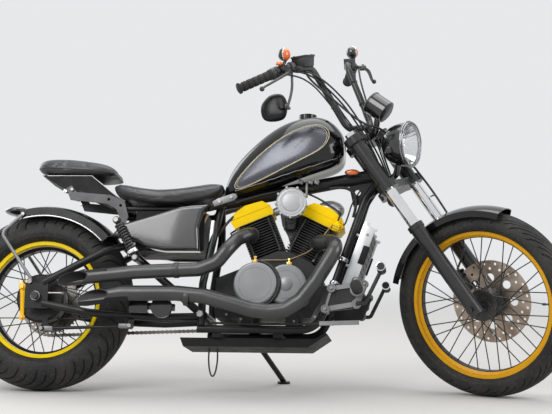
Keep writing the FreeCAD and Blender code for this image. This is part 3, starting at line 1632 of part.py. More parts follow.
UPPER_PIPE_SHARES = ((1.0, 0.895), (0.935, 0.368), (0.836, 0.116), (0.463, 0.0), (0.0, -0.326))
LOWER_PIPE_SHARES = (
    (0.992, 0.957), (0.964, 0.767), (0.918, 0.461), (0.864, 0.181), (0.804, 0.03),
    (0.745, 0.0), (0.679, 0.03), (0.582, 0.138), (0.495, 0.233), (0.386, 0.272),
    (0.174, 0.267), (0.0, 0.155),
)


def exhausts():
    """Two low pipes with slash-cut open ends, one from each cylinder."""
    side = -size("pipe_side")
    port = -size("fin_side") - gap
    out = LEFT * (size("fin_side") * 0.6)
    rear = bank_point(-size("rear_bank"), size("barrel_top") * 0.83, -size("fin_half") * 0.5, port)
    upper = [rear, rear - out, rear - out * 2 - Vector(size("fin_half") * 0.6, 0, size("fin_half") * 0.4)]
    length = size("upper_drop_x") - size("upper_mouth_x")
    base = size("pivot_z") + size("upper_rise")
    for x, z in UPPER_PIPE_SHARES:
        upper.append(Vector(size("upper_mouth_x") + x * length, side, base + z * size("upper_fall")))
    front = bank_point(size("front_bank"), size("barrel_top") * 0.75, size("fin_half") * 0.55, port)
    length = size("lower_length")
    lower = []
    for x, z in LOWER_PIPE_SHARES:
        lower.append(Vector(size("lower_mouth_x") + x * length, side,
                            size("lower_pipe_z") + z * size("lower_fall")))
    neck = front - out
    shoulder = Vector(lower[0].x - size("lower_pipe_radius") / 3, side + size("fin_half") * 0.7,
                      (lower[0].z + front.z) / 2 + size("lower_pipe_radius") / 2)
    pipes = [
        open_pipe(upper, size("upper_pipe_radius")),
        open_pipe([front, neck, shoulder] + lower, size("lower_pipe_radius")),
    ]
    node("root", "exhaust_pipes", shaped("ExhaustPipes", Part.makeCompound(pipes)))


def open_pipe(points, radius):
    """Exhaust pipe, hollow behind its slash-cut mouth."""
    solid = pipe(points, radius, radius * PIPE_BEND_SHARE)
    tip = points[-1]
    inward = (points[-2] - tip).normalize()
    bore = Part.makeCylinder(radius - size("pipe_wall"), size("pipe_mouth") + size("pipe_cut"),
                             tip, inward)
    solid = solid.cut(bore)
    big = size("pipe_cut") * 2
    blade = Part.makeBox(big * 2, big, big * 2, Vector(-big, -big, -big))
    blade_turn = Rotation(UP, -math.degrees(math.atan2(2 * radius, size("pipe_cut"))))
    blade.Placement = Placement(tip + Vector(0, radius - size("pipe_wall"), 0), blade_turn)
    return solid.cut(blade)


PIPE_BEND_SHARE = 2.2

TANK_SECTION_SHARES = (
    (0.01, 0.02, 0.14, 0.34), (0.10, 0.015, 0.43, 0.58), (0.235, 0.06, 0.645, 0.74),
    (0.39, 0.13, 0.83, 0.875), (0.54, 0.196, 0.945, 0.963), (0.70, 0.268, 1.0, 1.0),
    (0.835, 0.327, 0.98, 0.963), (0.94, 0.386, 0.873, 0.80), (1.0, 0.50, 0.74, 0.44),
)
CAP_SHARE = 0.68
TANK_RING_SHARES = ((0, 1), (0.5, 0.93), (0.86, 0.7), (1, 0.4), (0.94, 0.12), (0.55, 0.0), (0, 0.0))


def tank_rear():
    """Rear end of the tank, measured back from its front end at the steering head."""
    return size("tank_front_x") - size("tank_length")


def spine_room():
    """Room left round the spine by what sits on it, with the way along it."""
    rise = (size("spine_front_z") - steer_foot.z) / steer_up.z
    front = steer_foot + steer_up * rise
    rear = Vector(size("spine_rear_x"), 0, size("spine_rear_z"))
    along = (front - rear).normalize()
    radius = size("spine_radius") + gap
    length = (front - rear).Length + 2 * radius
    room = Part.makeCylinder(radius, length, rear - along * radius, along)
    tunnel = Part.makeBox(length, 2 * radius, radius * 3, Vector(0, -radius, -radius * 3))
    tunnel.Placement = Placement(rear - along * radius, Rotation(FORWARD, along))
    return room.fuse(tunnel)


def fuel_tank():
    """Teardrop tank astride the spine, with its filler cap."""
    def at(x, y, z):
        """Place a share of the tank's own length, half width and height."""
        return Vector(tank_rear() + x * size("tank_length"), y * size("tank_half"),
                      size("tank_rear_z") + z * size("tank_height"))
    shell = lofted(TANK_SECTION_SHARES, both_sides(TANK_RING_SHARES), at)
    neck = Part.makeCylinder(size("head_radius") + size("tank_clearance"), size("fork_top"),
                             fork_point(size("head_bottom") / 2, 0, 0), steer_up)
    clamp_room = Part.makeCylinder(size("clamp_reach") + size("running_gap"),
                                   size("clamp_height") * 4,
                                   fork_point(size("upper_clamp_at") - size("clamp_height"), 0, 0),
                                   steer_up)
    shell = shell.cut(spine_room()).cut(neck).cut(clamp_room)
    cap_x = tank_rear() + size("tank_length") * CAP_SHARE
    cap = Part.makeCylinder(size("tank_cap_radius"), size("tank_cap_height") * 2,
                            Vector(cap_x, 0, size("tank_rear_z") + size("tank_height")
                                   - size("tank_cap_height")), UP)
    node("root", "fuel_tank", shaped("FuelTank", shell.fuse(cap)))


SEAT_SECTION_SHARES = (
    (0.0, 0.60, 0.90, 0.60), (0.08, 0.30, 0.86, 0.84), (0.19, 0.16, 0.74, 0.97),
    (0.38, 0.0, 0.63, 1.0), (0.60, 0.0, 0.68, 0.94), (0.78, 0.12, 0.83, 0.78),
    (0.91, 0.34, 0.95, 0.60), (1.0, 0.62, 1.0, 0.44),
)
PAD_SECTION_SHARES = (
    (0.0, 0.40, 0.80, 0.40), (0.09, 0.12, 0.98, 0.76), (0.29, 0.0, 1.0, 0.94),
    (0.65, 0.0, 0.84, 1.0), (0.90, 0.0, 0.67, 0.92), (1.0, 0.05, 0.40, 0.74),
)
CUSHION_RING_SHARES = ((0, 1), (0.55, 0.96), (0.9, 0.72), (1, 0.4), (0.9, 0.08), (0.5, 0), (0, 0))


def seats():
    """Solo seat, and the passenger pad above the fender."""
    seat_length = tank_rear() - size("seat_gap") - size("seat_rear_x")

    def seat_at(x, y, z):
        """Place a share of the seat's own sizes."""
        return Vector(size("seat_rear_x") + x * seat_length, y * size("seat_half"),
                      size("seat_z") + z * size("seat_height"))

    def pad_at(x, y, z):
        """Place a share of the passenger pad's own sizes."""
        return Vector(size("pad_rear_x") + x * size("pad_length"), y * size("pad_half"),
                      size("pad_z") + z * size("pad_height"))
    ring = both_sides(CUSHION_RING_SHARES)
    big = seat_length * 2
    spine = spine_room()
    for label, shares, at, base in (
            ("solo_seat", SEAT_SECTION_SHARES, seat_at, size("seat_z")),
            ("passenger_pad", PAD_SECTION_SHARES, pad_at, size("pad_z"))):
        under = Part.makeBox(big * 2, big, size("seat_height"),
                             Vector(-big, -big / 2, base - size("seat_height")))
        cushion = lofted(shares, ring, at).cut(under).cut(spine)
        node("root", label, shaped(label.title().replace("_", ""), cushion))


TRAY_SHARES = (
    (0.0, 1.0), (0.62, 1.0), (0.95, 0.28), (1.06, 0.13), (1.04, 0.0), (0.92, 0.0),
    (0.45, 0.53), (0.3, 0.53),
)
BRACKET_SHARES = (
    (0.0, 0.92), (0.085, 1.0), (0.17, 0.83), (0.70, 0.757), (0.93, 0.61), (1.0, 0.22),
    (0.95, 0.0), (0.83, 0.0), (0.86, 0.2), (0.81, 0.40), (0.66, 0.54), (0.08, 0.635),
)
BRACKET_HOLE_SHARES = ((0.682, 0.649), (0.873, 0.493))
BRACKET_BOSS_SHARES = ((0.614, 0.676), (0.835, 0.437))


def tail():
    """Tail tray under the passenger pad, its side brackets, and the spring strut."""
    rear = size("pad_rear_x") + size("pad_length") * 0.1
    height = size("pad_z") - gap - size("seat_z")
    points = [(rear + x * size("pad_length"), size("seat_z") + z * height) for x, z in TRAY_SHARES]
    tray = prism(points, -size("tail_half"), size("tail_half"))
    node("root", "tail_tray", shaped("TailTray", tray))

    def at(share):
        """Place a share of the bracket's own length and height."""
        return (size("bracket_x") + share[0] * size("bracket_length"),
                size("bracket_low_z") + share[1] * size("bracket_height"))
    outer = -size("bracket_y") - size("bracket_wall") / 2
    inner = outer + size("bracket_wall")
    body = prism([at(share) for share in BRACKET_SHARES], outer, inner)
    for share in BRACKET_HOLE_SHARES:
        x, z = at(share)
        body = body.cut(Part.makeCylinder(size("bracket_hole"), size("bracket_wall") * 2,
                                          Vector(x, inner + gap, z), -LEFT))
    reaches = (size("tail_half") + gap, size("seat_rail_half") + size("seat_rail_radius") + gap)
    for share, reach in zip(BRACKET_BOSS_SHARES, reaches):
        x, z = at(share)
        body = body.fuse(Part.makeCylinder(size("strut_pin"), -reach - inner + size("bracket_wall"),
                                           Vector(x, inner - size("bracket_wall"), z), LEFT))
    pin_end = -size("strut_y") + size("strut_radius") + gap
    top = Vector(size("strut_top_x"), inner, size("strut_top_z"))
    pin = Part.makeCylinder(size("strut_pin"), top.y - pin_end, top, -LEFT)
    left = body.mirror(Vector(0, 0, 0), LEFT)
    plates = Part.makeCompound([body.fuse(pin), left])
    node("root", "tail_brackets", shaped("TailBrackets", plates))
    foot = Vector(size("strut_foot_x"), -size("strut_y"), size("strut_foot_z"))
    head = Vector(size("strut_top_x"), -size("strut_y"), size("strut_top_z"))
    along = (head - foot).normalize() * size("strut_eye")
    node("root", "spring_strut", spring_strut(foot - along, head + along))


def spring_strut(foot, head):
    """Damper with a solid cap at each end and the coils of its spring between them."""
    length = (head - foot).Length
    cap = length * (1 - size("coil_share")) / 2
    shaft = size("strut_shaft")
    wide = size("strut_radius")
    coil = size("coil_radius")
    half = math.sqrt(coil ** 2 - (wide - coil - shaft) ** 2)
    count = int(size("coil_count"))
    corners = [(0, 0), (wide, 0), (wide, cap), (shaft, cap)]
    edges = [run(start, end) for start, end in zip(corners, corners[1:])]
    last = corners[-1]
    for index in range(count):
        middle = cap + (length - 2 * cap) * (index + 0.5) / count
        near = (shaft, middle - half)
        far = (shaft, middle + half)
        edges.append(run(last, near))
        edges.append(Part.Arc(drawn(near), drawn((wide, middle)), drawn(far)).toShape())
        last = far
    corners = [last, (shaft, length - cap), (wide, length - cap), (wide, length), (0, length), (0, 0)]
    edges += [run(start, end) for start, end in zip(corners, corners[1:])]
    solid = Part.Face(Part.Wire(edges)).revolve(Vector(0, 0, 0), UP, 360)
    strut = shaped("SpringStrut", solid)
    strut.Placement = Placement(foot, Rotation(UP, head - foot))
    return strut


def drawn(point):
    """Point of an outline given as radius and height."""
    return Vector(point[0], 0, point[1])


def run(start, end):
    """Straight edge of an outline given as radius and height."""
    return Part.LineSegment(drawn(start), drawn(end)).toShape()


def side_covers():
    """Gloss side covers over a plain inner box that stands for what they close in."""
    corner = Vector(size("box_rear_x"), -size("cover_inner") + gap, size("box_bottom_z"))
    box_top = size("seat_z") - 2 * size("seat_rail_radius") - 2 * gap
    inner = Part.makeBox(size("box_front_x") - size("box_rear_x"), 2 * (size("cover_inner") - gap),
                         box_top - size("box_bottom_z"), corner)
    node("root", "inner_box", shaped("InnerBox", inner))
    length = size("cover_length")
    height = size("cover_height")
    points = [(size("cover_rear_x") + x * length, size("cover_low_z") + z * height)
              for x, z in COVER_SHARES]
    body = prism(points, -size("cover_outer"), -size("cover_inner"))
    rim_edges = [e for e in body.Edges
                 if abs(e.CenterOfMass.y + size("cover_outer")) < size("seating_gap")]
    right = shaped("CoverRight", body.makeFillet(size("cover_round"), rim_edges))
    node("root", "side_covers", paired("SideCovers", right))


COVER_SHARES = (
    (0.0, 0.32), (0.12, 0.58), (0.69, 0.947), (0.80, 0.976), (1.0, 1.0),
    (0.925, 0.80), (0.89, 0.49), (0.908, 0.0), (0.553, 0.0), (0.358, 0.076), (0.268, 0.19),
)


def rear_fender():
    """Close rear fender, its stays from the axle plates, and the tail lamp."""
    shell = turned("RearFender", fender_profile("rear"), "rear_fender_sweep")
    last = size("rear_fender_start") + size("rear_fender_sweep")
    shell.Placement = Placement(rear_axle, Rotation(LEFT, -last))
    node("root", "rear_fender", shell)
    side = -size("arm_half")
    plate_top = rear_axle.z - size("arm_plate_height") * 0.475 + size("arm_plate_height") + gap
    touch = -size("rear_fender_half") - size("stay_radius") - gap
    reach = size("rear_fender_crown")
    stay = shaped("StayRight", pipe([
        Vector(-reach * 0.075, side, plate_top),
        Vector(-reach * 0.075, side, plate_top + size("stay_radius") * 3),
        Vector(-reach * 0.415, side, rear_axle.z + reach * 0.66),
        Vector(-reach * 0.22, touch, rear_axle.z + reach * 0.88),
    ], size("stay_radius"), size("stay_radius") * 4))
    node("root", "fender_stays", paired("FenderStays", stay))
    lamp = block("LampBlock", Vector(-size("tail_lamp_x"), -size("tail_lamp_half"),
                                     size("tail_lamp_z")),
                 "tail_lamp_length", "tail_lamp_half * 2", "tail_lamp_height")
    room = rod("LampRoom", rear_axle - LEFT * reach, rear_axle + LEFT * reach,
               "rear_fender_crown + seating_gap")
    node("root", "tail_lamp", cut("TailLamp", lamp, room))


def belly_pan():
    """Flat pan under the engine with its nose turned up."""
    rear = size("pivot_x") - size("rail_half") * 0.67
    front = size("rail_front_x")
    low = size("belly_z")
    top = low + size("belly_height")
    points = [
        (rear, top), (rear + size("belly_height") * 0.4, low), (front - size("belly_height"), low),
        (front + size("belly_height") * 1.2, top + size("cover_edge") * 2),
        (front + size("belly_height") * 0.9, top + size("cover_edge") * 3), (front, top),
    ]
    pan = prism(points, -size("belly_half"), size("belly_half"))
    post_z = size("rail_z") - size("cradle_radius") - gap
    half = size("rail_half")
    for x in (rear + half, front - half * 1.3):
        post = Part.makeBox(size("belly_height"), 2 * half, post_z - top + gap,
                            Vector(x, -half, top - gap))
        pan = pan.fuse(post)
    node("root", "belly_pan", shaped("BellyPan", pan.removeSplitter()))
    centre = size("drain_x")
    wide = size("drain_width") / 2
    foot_z = low - gap
    drop = size("drain_drop")
    loop = [
        Vector(centre - wide, 0, foot_z), Vector(centre - wide * 1.2, 0, foot_z - drop * 0.4),
        Vector(centre - wide * 0.5, 0, foot_z - drop), Vector(centre + wide * 0.5, 0, foot_z - drop),
        Vector(centre + wide * 1.2, 0, foot_z - drop * 0.4), Vector(centre + wide, 0, foot_z),
    ]
    hose = pipe(loop, size("hose_radius"), size("drain_width"))
    node("root", "drain_hose", shaped("DrainHose", hose))


CONTROL_SHARES = (
    (0.0, 0.0), (0.08, 0.86), (0.30, 0.96), (0.62, 0.93), (0.9, 1.0), (1.0, 0.9),
    (0.93, 0.6), (0.80, 0.16), (0.62, 0.1),
)
CONTROL_BOSS_SHARES = ((0.13, 0.1), (0.235, 0.83))
PEG_SHARE = (0.80, 0.76)
PEDAL_SHARE = (0.786, 0.279)
BOSS_REACH_SHARE = 0.6


def foot_controls():
    """Forward control plates with their pegs and pedals, the same on both sides."""
    side = -size("control_y")
    inner = side + size("control_wall")
    edge = size("control_bolt")

    def at(share):
        """Place a share of the control plate's own sizes."""
        return Vector(size("control_x") + share[0] * size("control_length"), side,
                      size("control_z") + share[1] * size("control_height"))
    body = prism([(at(share).x, at(share).z) for share in CONTROL_SHARES], side, inner)
    for share in CONTROL_BOSS_SHARES:
        boss = at(share)
        body = body.fuse(Part.makeCylinder(edge, size("rail_half") * BOSS_REACH_SHARE,
                                           Vector(boss.x, inner - edge / 2, boss.z), LEFT))
    room = pipe(cradle_path(), size("cradle_radius") + gap, size("cradle_bend"))
    body = max(body.cut(room).Solids, key=lambda solid: solid.Volume)
    pieces = [shaped("ControlPlate", body)]
    outer = side - gap
    peg = at(PEG_SHARE)
    start = Vector(peg.x, outer, peg.z)
    pieces.append(rod("PegRight", start, start - LEFT * size("peg_length"), "peg_radius"))
    knee = at(PEDAL_SHARE)
    hub = Vector(knee.x, outer, knee.z)
    lift = Vector(size("pedal_reach"), 0, size("pedal_rise"))
    out = LEFT * (size("pedal_radius") * 3)
    toe_line = hub - out + Vector(lift.x * 0.35, 0, 0)
    arm = shaped("PedalArm", pipe([hub, hub - out, toe_line, hub - out + lift],
                                  size("pedal_radius"), size("pedal_radius") * 2))
    toe = rod("PedalPad", hub - out + lift + LEFT * size("pad_radius"),
              hub - out + lift - LEFT * size("pedal_pad_length"), "pad_radius")
    pieces.append(joined("PedalRight", [arm, toe]))
    pieces += [mirrored(piece.Name + "Left", piece) for piece in pieces]
    node("root", "foot_controls", grouped("FootControls", pieces))


def side_stand():
    """Side stand: a leg from its hinge to a pad flat on the ground."""
    pivot = stand_pivot()
    axis = stand_axis()
    foot = stand_foot()
    up = stance().Rotation.inverted().multVec(UP)
    hub = rod("StandHub", pivot - axis * size("stand_hub"), pivot + axis * size("stand_hub"),
              "stand_hub_radius")
    leg = rod("StandLeg", pivot, foot + up * size("foot_wall"), "stand_radius")
    pad = rod("StandFoot", foot, foot + up * size("foot_wall"), "foot_radius")
    room = Part.makeBox(size("stand_foot_y"), size("stand_foot_y"), size("stand_foot_y"),
                        Vector(-size("stand_foot_y") / 2, -size("stand_foot_y") / 2,
                               -size("stand_foot_y")))
    ground = shaped("StandGround", room)
    ground.Placement = Placement(foot, Rotation(UP, up))
    node("stand", "side_stand", cut("SideStand", joined("StandWhole", [hub, leg, pad]), ground))


def write_parts():
    """Check every object, set the stance and write each sub-part's file."""
    doc.recompute()
    for item in doc.Objects:
        if "Invalid" in item.State or "Error" in item.State:
            raise RuntimeError(f"{item.Name} failed")
    rest = stance()
    steer = steering_placement()
    for body_name, label, item in nodes:
        moved = steer if body_name in ("steering", "front_wheel") else Placement()
        item.Placement = rest.multiply(moved).multiply(item.Placement)
    doc.recompute()
    whole = Part.makeCompound([item.Shape for _, _, item in nodes]).optimalBoundingBox(False)
    shift = Vector(-(whole.XMin + whole.XMax) / 2, -(whole.YMin + whole.YMax) / 2, 0)
    os.makedirs("parts", exist_ok=True)
    for _, label, item in nodes:
        item.Placement = Placement(shift, Rotation()).multiply(item.Placement)
    doc.recompute()
    for _, label, item in nodes:
        if item.Shape.isNull() or not item.Shape.isValid():
            raise RuntimeError(f"{label} has no valid shape")
        item.Shape.exportStep(f"parts/{label}.step")
    return shift


def build():
    """Make every sub-part."""
    rear_wheel()
    front_wheel()
    fork()
    clamps()
    front_fender()
    handlebar()
    grips()
    room = bar_room()
    hand_controls(room)
    mirror(room)
    turn_signals(room)
    headlight()
    gauge()
    caliper()
    brake_hose()
    frame()
    swingarm()
    rear_axle_set()
    chain()
    engine()
    engine_side_covers()
    air_cleaner()
    radiator()
    exhausts()
    fuel_tank()
    seats()
    tail()
    side_covers()
    rear_fender()
    belly_pan()
    foot_controls()
    side_stand()


build()
shift = write_parts()
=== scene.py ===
"""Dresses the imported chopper: a finish for every carried part, and the tyres, chain, cushions,
cables and small fittings that its plain parts leave out."""

import sys

import json
import logging
import math
from dataclasses import dataclass
from enum import Enum

import bmesh
import bpy
import numpy as np
from mathutils import Matrix, Vector
from mathutils.bvhtree import BVHTree
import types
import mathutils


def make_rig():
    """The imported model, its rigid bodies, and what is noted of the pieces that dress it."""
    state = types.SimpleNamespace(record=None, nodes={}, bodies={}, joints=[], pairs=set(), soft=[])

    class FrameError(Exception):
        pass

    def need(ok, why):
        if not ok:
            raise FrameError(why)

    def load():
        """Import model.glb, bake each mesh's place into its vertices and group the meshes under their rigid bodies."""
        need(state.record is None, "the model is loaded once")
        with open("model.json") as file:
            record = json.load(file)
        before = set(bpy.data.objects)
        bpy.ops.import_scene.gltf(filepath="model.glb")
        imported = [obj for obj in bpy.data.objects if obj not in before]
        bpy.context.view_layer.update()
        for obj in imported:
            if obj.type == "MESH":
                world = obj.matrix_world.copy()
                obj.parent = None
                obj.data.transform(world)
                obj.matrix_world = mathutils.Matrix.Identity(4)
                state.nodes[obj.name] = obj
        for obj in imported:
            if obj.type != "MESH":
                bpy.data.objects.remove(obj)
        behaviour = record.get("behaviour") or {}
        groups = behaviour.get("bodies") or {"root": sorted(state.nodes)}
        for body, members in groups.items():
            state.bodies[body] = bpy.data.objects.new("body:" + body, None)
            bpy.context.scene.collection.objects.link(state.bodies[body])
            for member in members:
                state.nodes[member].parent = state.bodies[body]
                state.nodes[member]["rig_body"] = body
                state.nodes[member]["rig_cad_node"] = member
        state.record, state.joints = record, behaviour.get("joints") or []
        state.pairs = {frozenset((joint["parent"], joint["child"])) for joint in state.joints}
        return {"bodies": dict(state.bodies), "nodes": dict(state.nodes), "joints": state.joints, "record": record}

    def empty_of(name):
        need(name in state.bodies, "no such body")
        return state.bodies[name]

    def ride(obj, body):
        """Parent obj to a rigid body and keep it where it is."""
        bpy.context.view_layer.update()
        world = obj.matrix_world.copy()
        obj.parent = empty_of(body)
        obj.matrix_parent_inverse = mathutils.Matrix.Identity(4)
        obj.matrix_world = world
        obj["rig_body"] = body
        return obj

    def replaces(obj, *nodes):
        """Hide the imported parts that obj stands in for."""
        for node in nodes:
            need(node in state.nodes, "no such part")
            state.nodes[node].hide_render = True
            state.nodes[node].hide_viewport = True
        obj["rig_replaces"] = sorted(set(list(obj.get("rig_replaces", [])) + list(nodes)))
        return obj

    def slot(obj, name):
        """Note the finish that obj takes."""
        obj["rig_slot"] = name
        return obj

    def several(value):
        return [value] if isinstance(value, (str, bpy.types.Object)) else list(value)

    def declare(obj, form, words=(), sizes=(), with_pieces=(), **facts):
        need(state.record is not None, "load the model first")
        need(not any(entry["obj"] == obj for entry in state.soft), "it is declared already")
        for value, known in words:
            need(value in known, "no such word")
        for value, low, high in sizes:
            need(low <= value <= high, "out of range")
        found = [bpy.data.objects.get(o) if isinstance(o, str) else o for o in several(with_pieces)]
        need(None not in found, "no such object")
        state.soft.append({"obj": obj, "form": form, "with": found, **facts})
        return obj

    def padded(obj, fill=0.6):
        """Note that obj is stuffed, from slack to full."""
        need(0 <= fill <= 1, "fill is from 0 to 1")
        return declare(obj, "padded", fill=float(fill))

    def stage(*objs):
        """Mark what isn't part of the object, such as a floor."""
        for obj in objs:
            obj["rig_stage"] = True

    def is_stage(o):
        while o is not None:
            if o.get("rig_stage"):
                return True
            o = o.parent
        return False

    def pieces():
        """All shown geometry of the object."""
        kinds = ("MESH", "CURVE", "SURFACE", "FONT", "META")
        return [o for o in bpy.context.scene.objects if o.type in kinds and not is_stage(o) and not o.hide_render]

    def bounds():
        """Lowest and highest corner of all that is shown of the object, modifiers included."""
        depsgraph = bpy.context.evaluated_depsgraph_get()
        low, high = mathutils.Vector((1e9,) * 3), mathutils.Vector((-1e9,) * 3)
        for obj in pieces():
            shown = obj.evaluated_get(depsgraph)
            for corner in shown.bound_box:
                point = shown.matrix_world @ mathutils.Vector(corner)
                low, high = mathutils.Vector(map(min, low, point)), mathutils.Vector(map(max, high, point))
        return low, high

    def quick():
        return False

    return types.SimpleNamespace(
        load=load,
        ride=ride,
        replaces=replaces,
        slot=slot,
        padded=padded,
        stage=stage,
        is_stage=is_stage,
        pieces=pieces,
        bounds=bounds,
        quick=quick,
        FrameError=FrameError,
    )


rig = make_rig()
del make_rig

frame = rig.load()
CAD_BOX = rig.bounds()
LOG = logging.getLogger("chopper")

MM = 0.001
TURN = 2 * math.pi
RAKE = math.radians(35)
AXLE_HEIGHT = 326.5
WHEELBASE = 1605.0
FRONT_RADIUS = 331.0
FORK_OFFSET = 58.0

Point = tuple[float, float, float]
Colour = tuple[float, float, float]
Tree = bpy.types.NodeTree
Socket = bpy.types.NodeSocket
Outputs = bpy.types.NodeOutputs


# Directions of the machine

def at(along: float, aside: float, height: float) -> Vector:
    """Returns a place or a way: how far ahead, to the left and up."""
    return Vector((along, aside, height))


AHEAD = at(1, 0, 0)
LEFT = at(0, 1, 0)
RIGHT = at(0, -1, 0)
UP = at(0, 0, 1)


@dataclass(frozen=True)
class Axes:
    """The upright directions of one body, which turn its own millimetres into row metres."""

    body: str
    matrix: Matrix

    def point(self, along: float, aside: float, height: float) -> Vector:
        """Returns the row point of a place in the body's own millimetres."""
        return self.matrix @ at(along, aside, height)

    def direction(self, vector: Vector) -> Vector:
        """Returns a direction of the body as a unit vector in the row frame."""
        return (self.matrix.to_3x3() @ vector).normalized()


def chassis_axes() -> Axes:
    """Works the chassis directions out from the rear axle and the steering joint.

    Returns:
        The axes whose zero is on the ground line below the rear axle.
    """
    joints = {joint["name"]: joint for joint in frame["joints"]}
    left = Vector(joints["rear_wheel_spin"]["axis"]).normalized()
    steer = Vector(joints["steering_turn"]["axis"])
    steer = (steer - left * steer.dot(left)).normalized()
    across = left.cross(steer)
    forward = across * math.cos(RAKE) - steer * math.sin(RAKE)
    up = steer * math.cos(RAKE) + across * math.sin(RAKE)
    origin = Vector(joints["rear_wheel_spin"]["pos_m"]) - up * (AXLE_HEIGHT * MM)
    turn = Matrix((forward * MM, left * MM, up * MM)).transposed().to_4x4()
    return Axes("chassis", Matrix.Translation(origin) @ turn)


def steered_axes(chassis: Axes) -> Axes:
    """Turns the chassis directions about the steering joint to where the fork rests.

    Args:
        chassis: the chassis directions.

    Returns:
        The directions of all that steers, in which the fork points straight ahead.
    """
    joints = {joint["name"]: joint for joint in frame["joints"]}
    steer = Vector(joints["steering_turn"]["axis"]).normalized()
    pivot = Vector(joints["steering_turn"]["pos_m"])
    spin = Vector(joints["front_wheel_spin"]["axis"]).normalized()
    straight = chassis.direction(LEFT)
    angle = math.atan2(steer.dot(straight.cross(spin)), straight.dot(spin))
    turn = Matrix.Rotation(angle, 4, steer)
    about = Matrix.Translation(pivot) @ turn @ Matrix.Translation(-pivot)
    return Axes("steering", about @ chassis.matrix)


CHASSIS = chassis_axes()
STEERED = steered_axes(CHASSIS)
REAR_WHEEL = Axes("rear_wheel", CHASSIS.matrix)
FRONT_WHEEL = Axes("front_wheel", STEERED.matrix)
FORK_UP = at(-math.sin(RAKE), 0, math.cos(RAKE))
FORK_AHEAD = at(math.cos(RAKE), 0, math.sin(RAKE))
REAR_HUB = at(0, 0, AXLE_HEIGHT)
FRONT_HUB = at(WHEELBASE, 0, FRONT_RADIUS)
FORK_FOOT = FRONT_HUB - FORK_AHEAD * FORK_OFFSET


def fork_point(along: float, side: float, ahead: float = FORK_OFFSET) -> Vector:
    """Returns a point measured up the fork, to its left and ahead of the steering axis."""
    return FORK_FOOT + FORK_UP * along + FORK_AHEAD * ahead + at(0, side, 0)


# Finishes

class Relief(Enum):
    """The fine surface of a finish."""

    SMOOTH = "smooth"
    PEEL = "paint with a faint orange peel"
    CAST = "fine cast or blasted grain"
    BRUSHED = "brush lines"
    LEATHER = "pebbled vinyl"
    RUBBER = "moulded rubber"


@dataclass(frozen=True)
class Finish:
    """One procedural finish: a colour that drifts, dust or wear in patches, and a fine relief."""

    name: str
    slot: str
    colour: Colour
    second: Colour
    roughness: float
    metallic: float = 0.0
    relief: Relief = Relief.SMOOTH
    grain: float = 400.0
    depth: float = 0.2
    patch: float = 9.0
    spread: float = 0.12
    coat: float = 0.0
    dust: float = 0.0
    specular: float = 0.5

    def build(self) -> bpy.types.Material:
        """Returns the node material of this finish."""
        material, tree, shader = new_material(self.name)
        place = object_place(tree)
        cloud = noise(tree, place, self.patch, 4.0)
        colour = blend_colours(tree, cloud, self.colour, self.second)
        if self.dust > 0:
            speck = noise(tree, place, self.patch * 12, 6.0)
            mask = stretch(tree, speck, 0.52, 0.78, 0.0, self.dust)
            colour = mixed(tree, mask, colour, (0.33, 0.30, 0.26))
        tree.links.new(colour, shader.inputs["Base Color"])
        worn = noise(tree, place, self.patch * 3.1, 5.0)
        low, high = self.roughness - self.spread / 2, self.roughness + self.spread
        gloss = stretch(tree, worn, 0.3, 0.75, max(low, 0.02), min(high, 1.0))
        tree.links.new(gloss, shader.inputs["Roughness"])
        shader.inputs["Metallic"].default_value = self.metallic
        shader.inputs["Specular IOR Level"].default_value = self.specular
        shader.inputs["Coat Weight"].default_value = self.coat
        shader.inputs["Coat Roughness"].default_value = 0.04
        height = self.height(tree, place)
        if height is not None:
            bump(tree, shader, height, self.depth)
        return material

    def height(self, tree: Tree, place: Socket) -> Socket | None:
        """Returns the socket of the fine relief's height, or None on a smooth finish."""
        if self.relief is Relief.SMOOTH:
            return None
        if self.relief is Relief.LEATHER:
            cells = tree.nodes.new("ShaderNodeTexVoronoi")
            cells.feature = "SMOOTH_F1"
            cells.inputs["Scale"].default_value = self.grain
            tree.links.new(place, cells.inputs["Vector"])
            fold = noise(tree, place, self.grain * 0.12, 3.0)
            return maths(tree, "ADD", cells.outputs["Distance"], fold)
        if self.relief is Relief.BRUSHED:
            stretch_node = tree.nodes.new("ShaderNodeMapping")
            stretch_node.inputs["Scale"].default_value = (1.0, 0.06, 1.0)
            tree.links.new(place, stretch_node.inputs["Vector"])
            return noise(tree, stretch_node.outputs["Vector"], self.grain, 2.0)
        if self.relief is Relief.CAST:
            coarse = noise(tree, place, self.grain * 0.3, 3.0)
            fine = noise(tree, place, self.grain, 6.0)
            return maths(tree, "ADD", coarse, fine)
        return noise(tree, place, self.grain, 2.0)


def new_material(name: str) -> tuple[bpy.types.Material, Tree, bpy.types.Node]:
    """Starts a node material.

    Args:
        name: the finish's plain name.

    Returns:
        The material, its node tree and its shader node.
    """
    material = bpy.data.materials.new(name)
    material.use_nodes = True
    tree = material.node_tree
    return material, tree, tree.nodes["Principled BSDF"]


def object_place(tree: Tree) -> Socket:
    """Returns the place on the object's own coordinates."""
    return tree.nodes.new("ShaderNodeTexCoord").outputs["Object"]


def noise(tree: Tree, place: Socket, scale: float, detail: float) -> Socket:
    """Returns the value of a noise texture at a place."""
    node = tree.nodes.new("ShaderNodeTexNoise")
    node.inputs["Scale"].default_value = scale
    node.inputs["Detail"].default_value = detail
    tree.links.new(place, node.inputs["Vector"])
    return node.outputs["Fac"]


def maths(tree: Tree, operation: str, *values: Socket | float) -> Socket:
    """Returns the result of a Math node on sockets or plain numbers."""
    node = tree.nodes.new("ShaderNodeMath")
    node.operation = operation
    for socket, value in zip(node.inputs, values):
        if isinstance(value, (int, float)):
            socket.default_value = value
        else:
            tree.links.new(value, socket)
    return node.outputs[0]


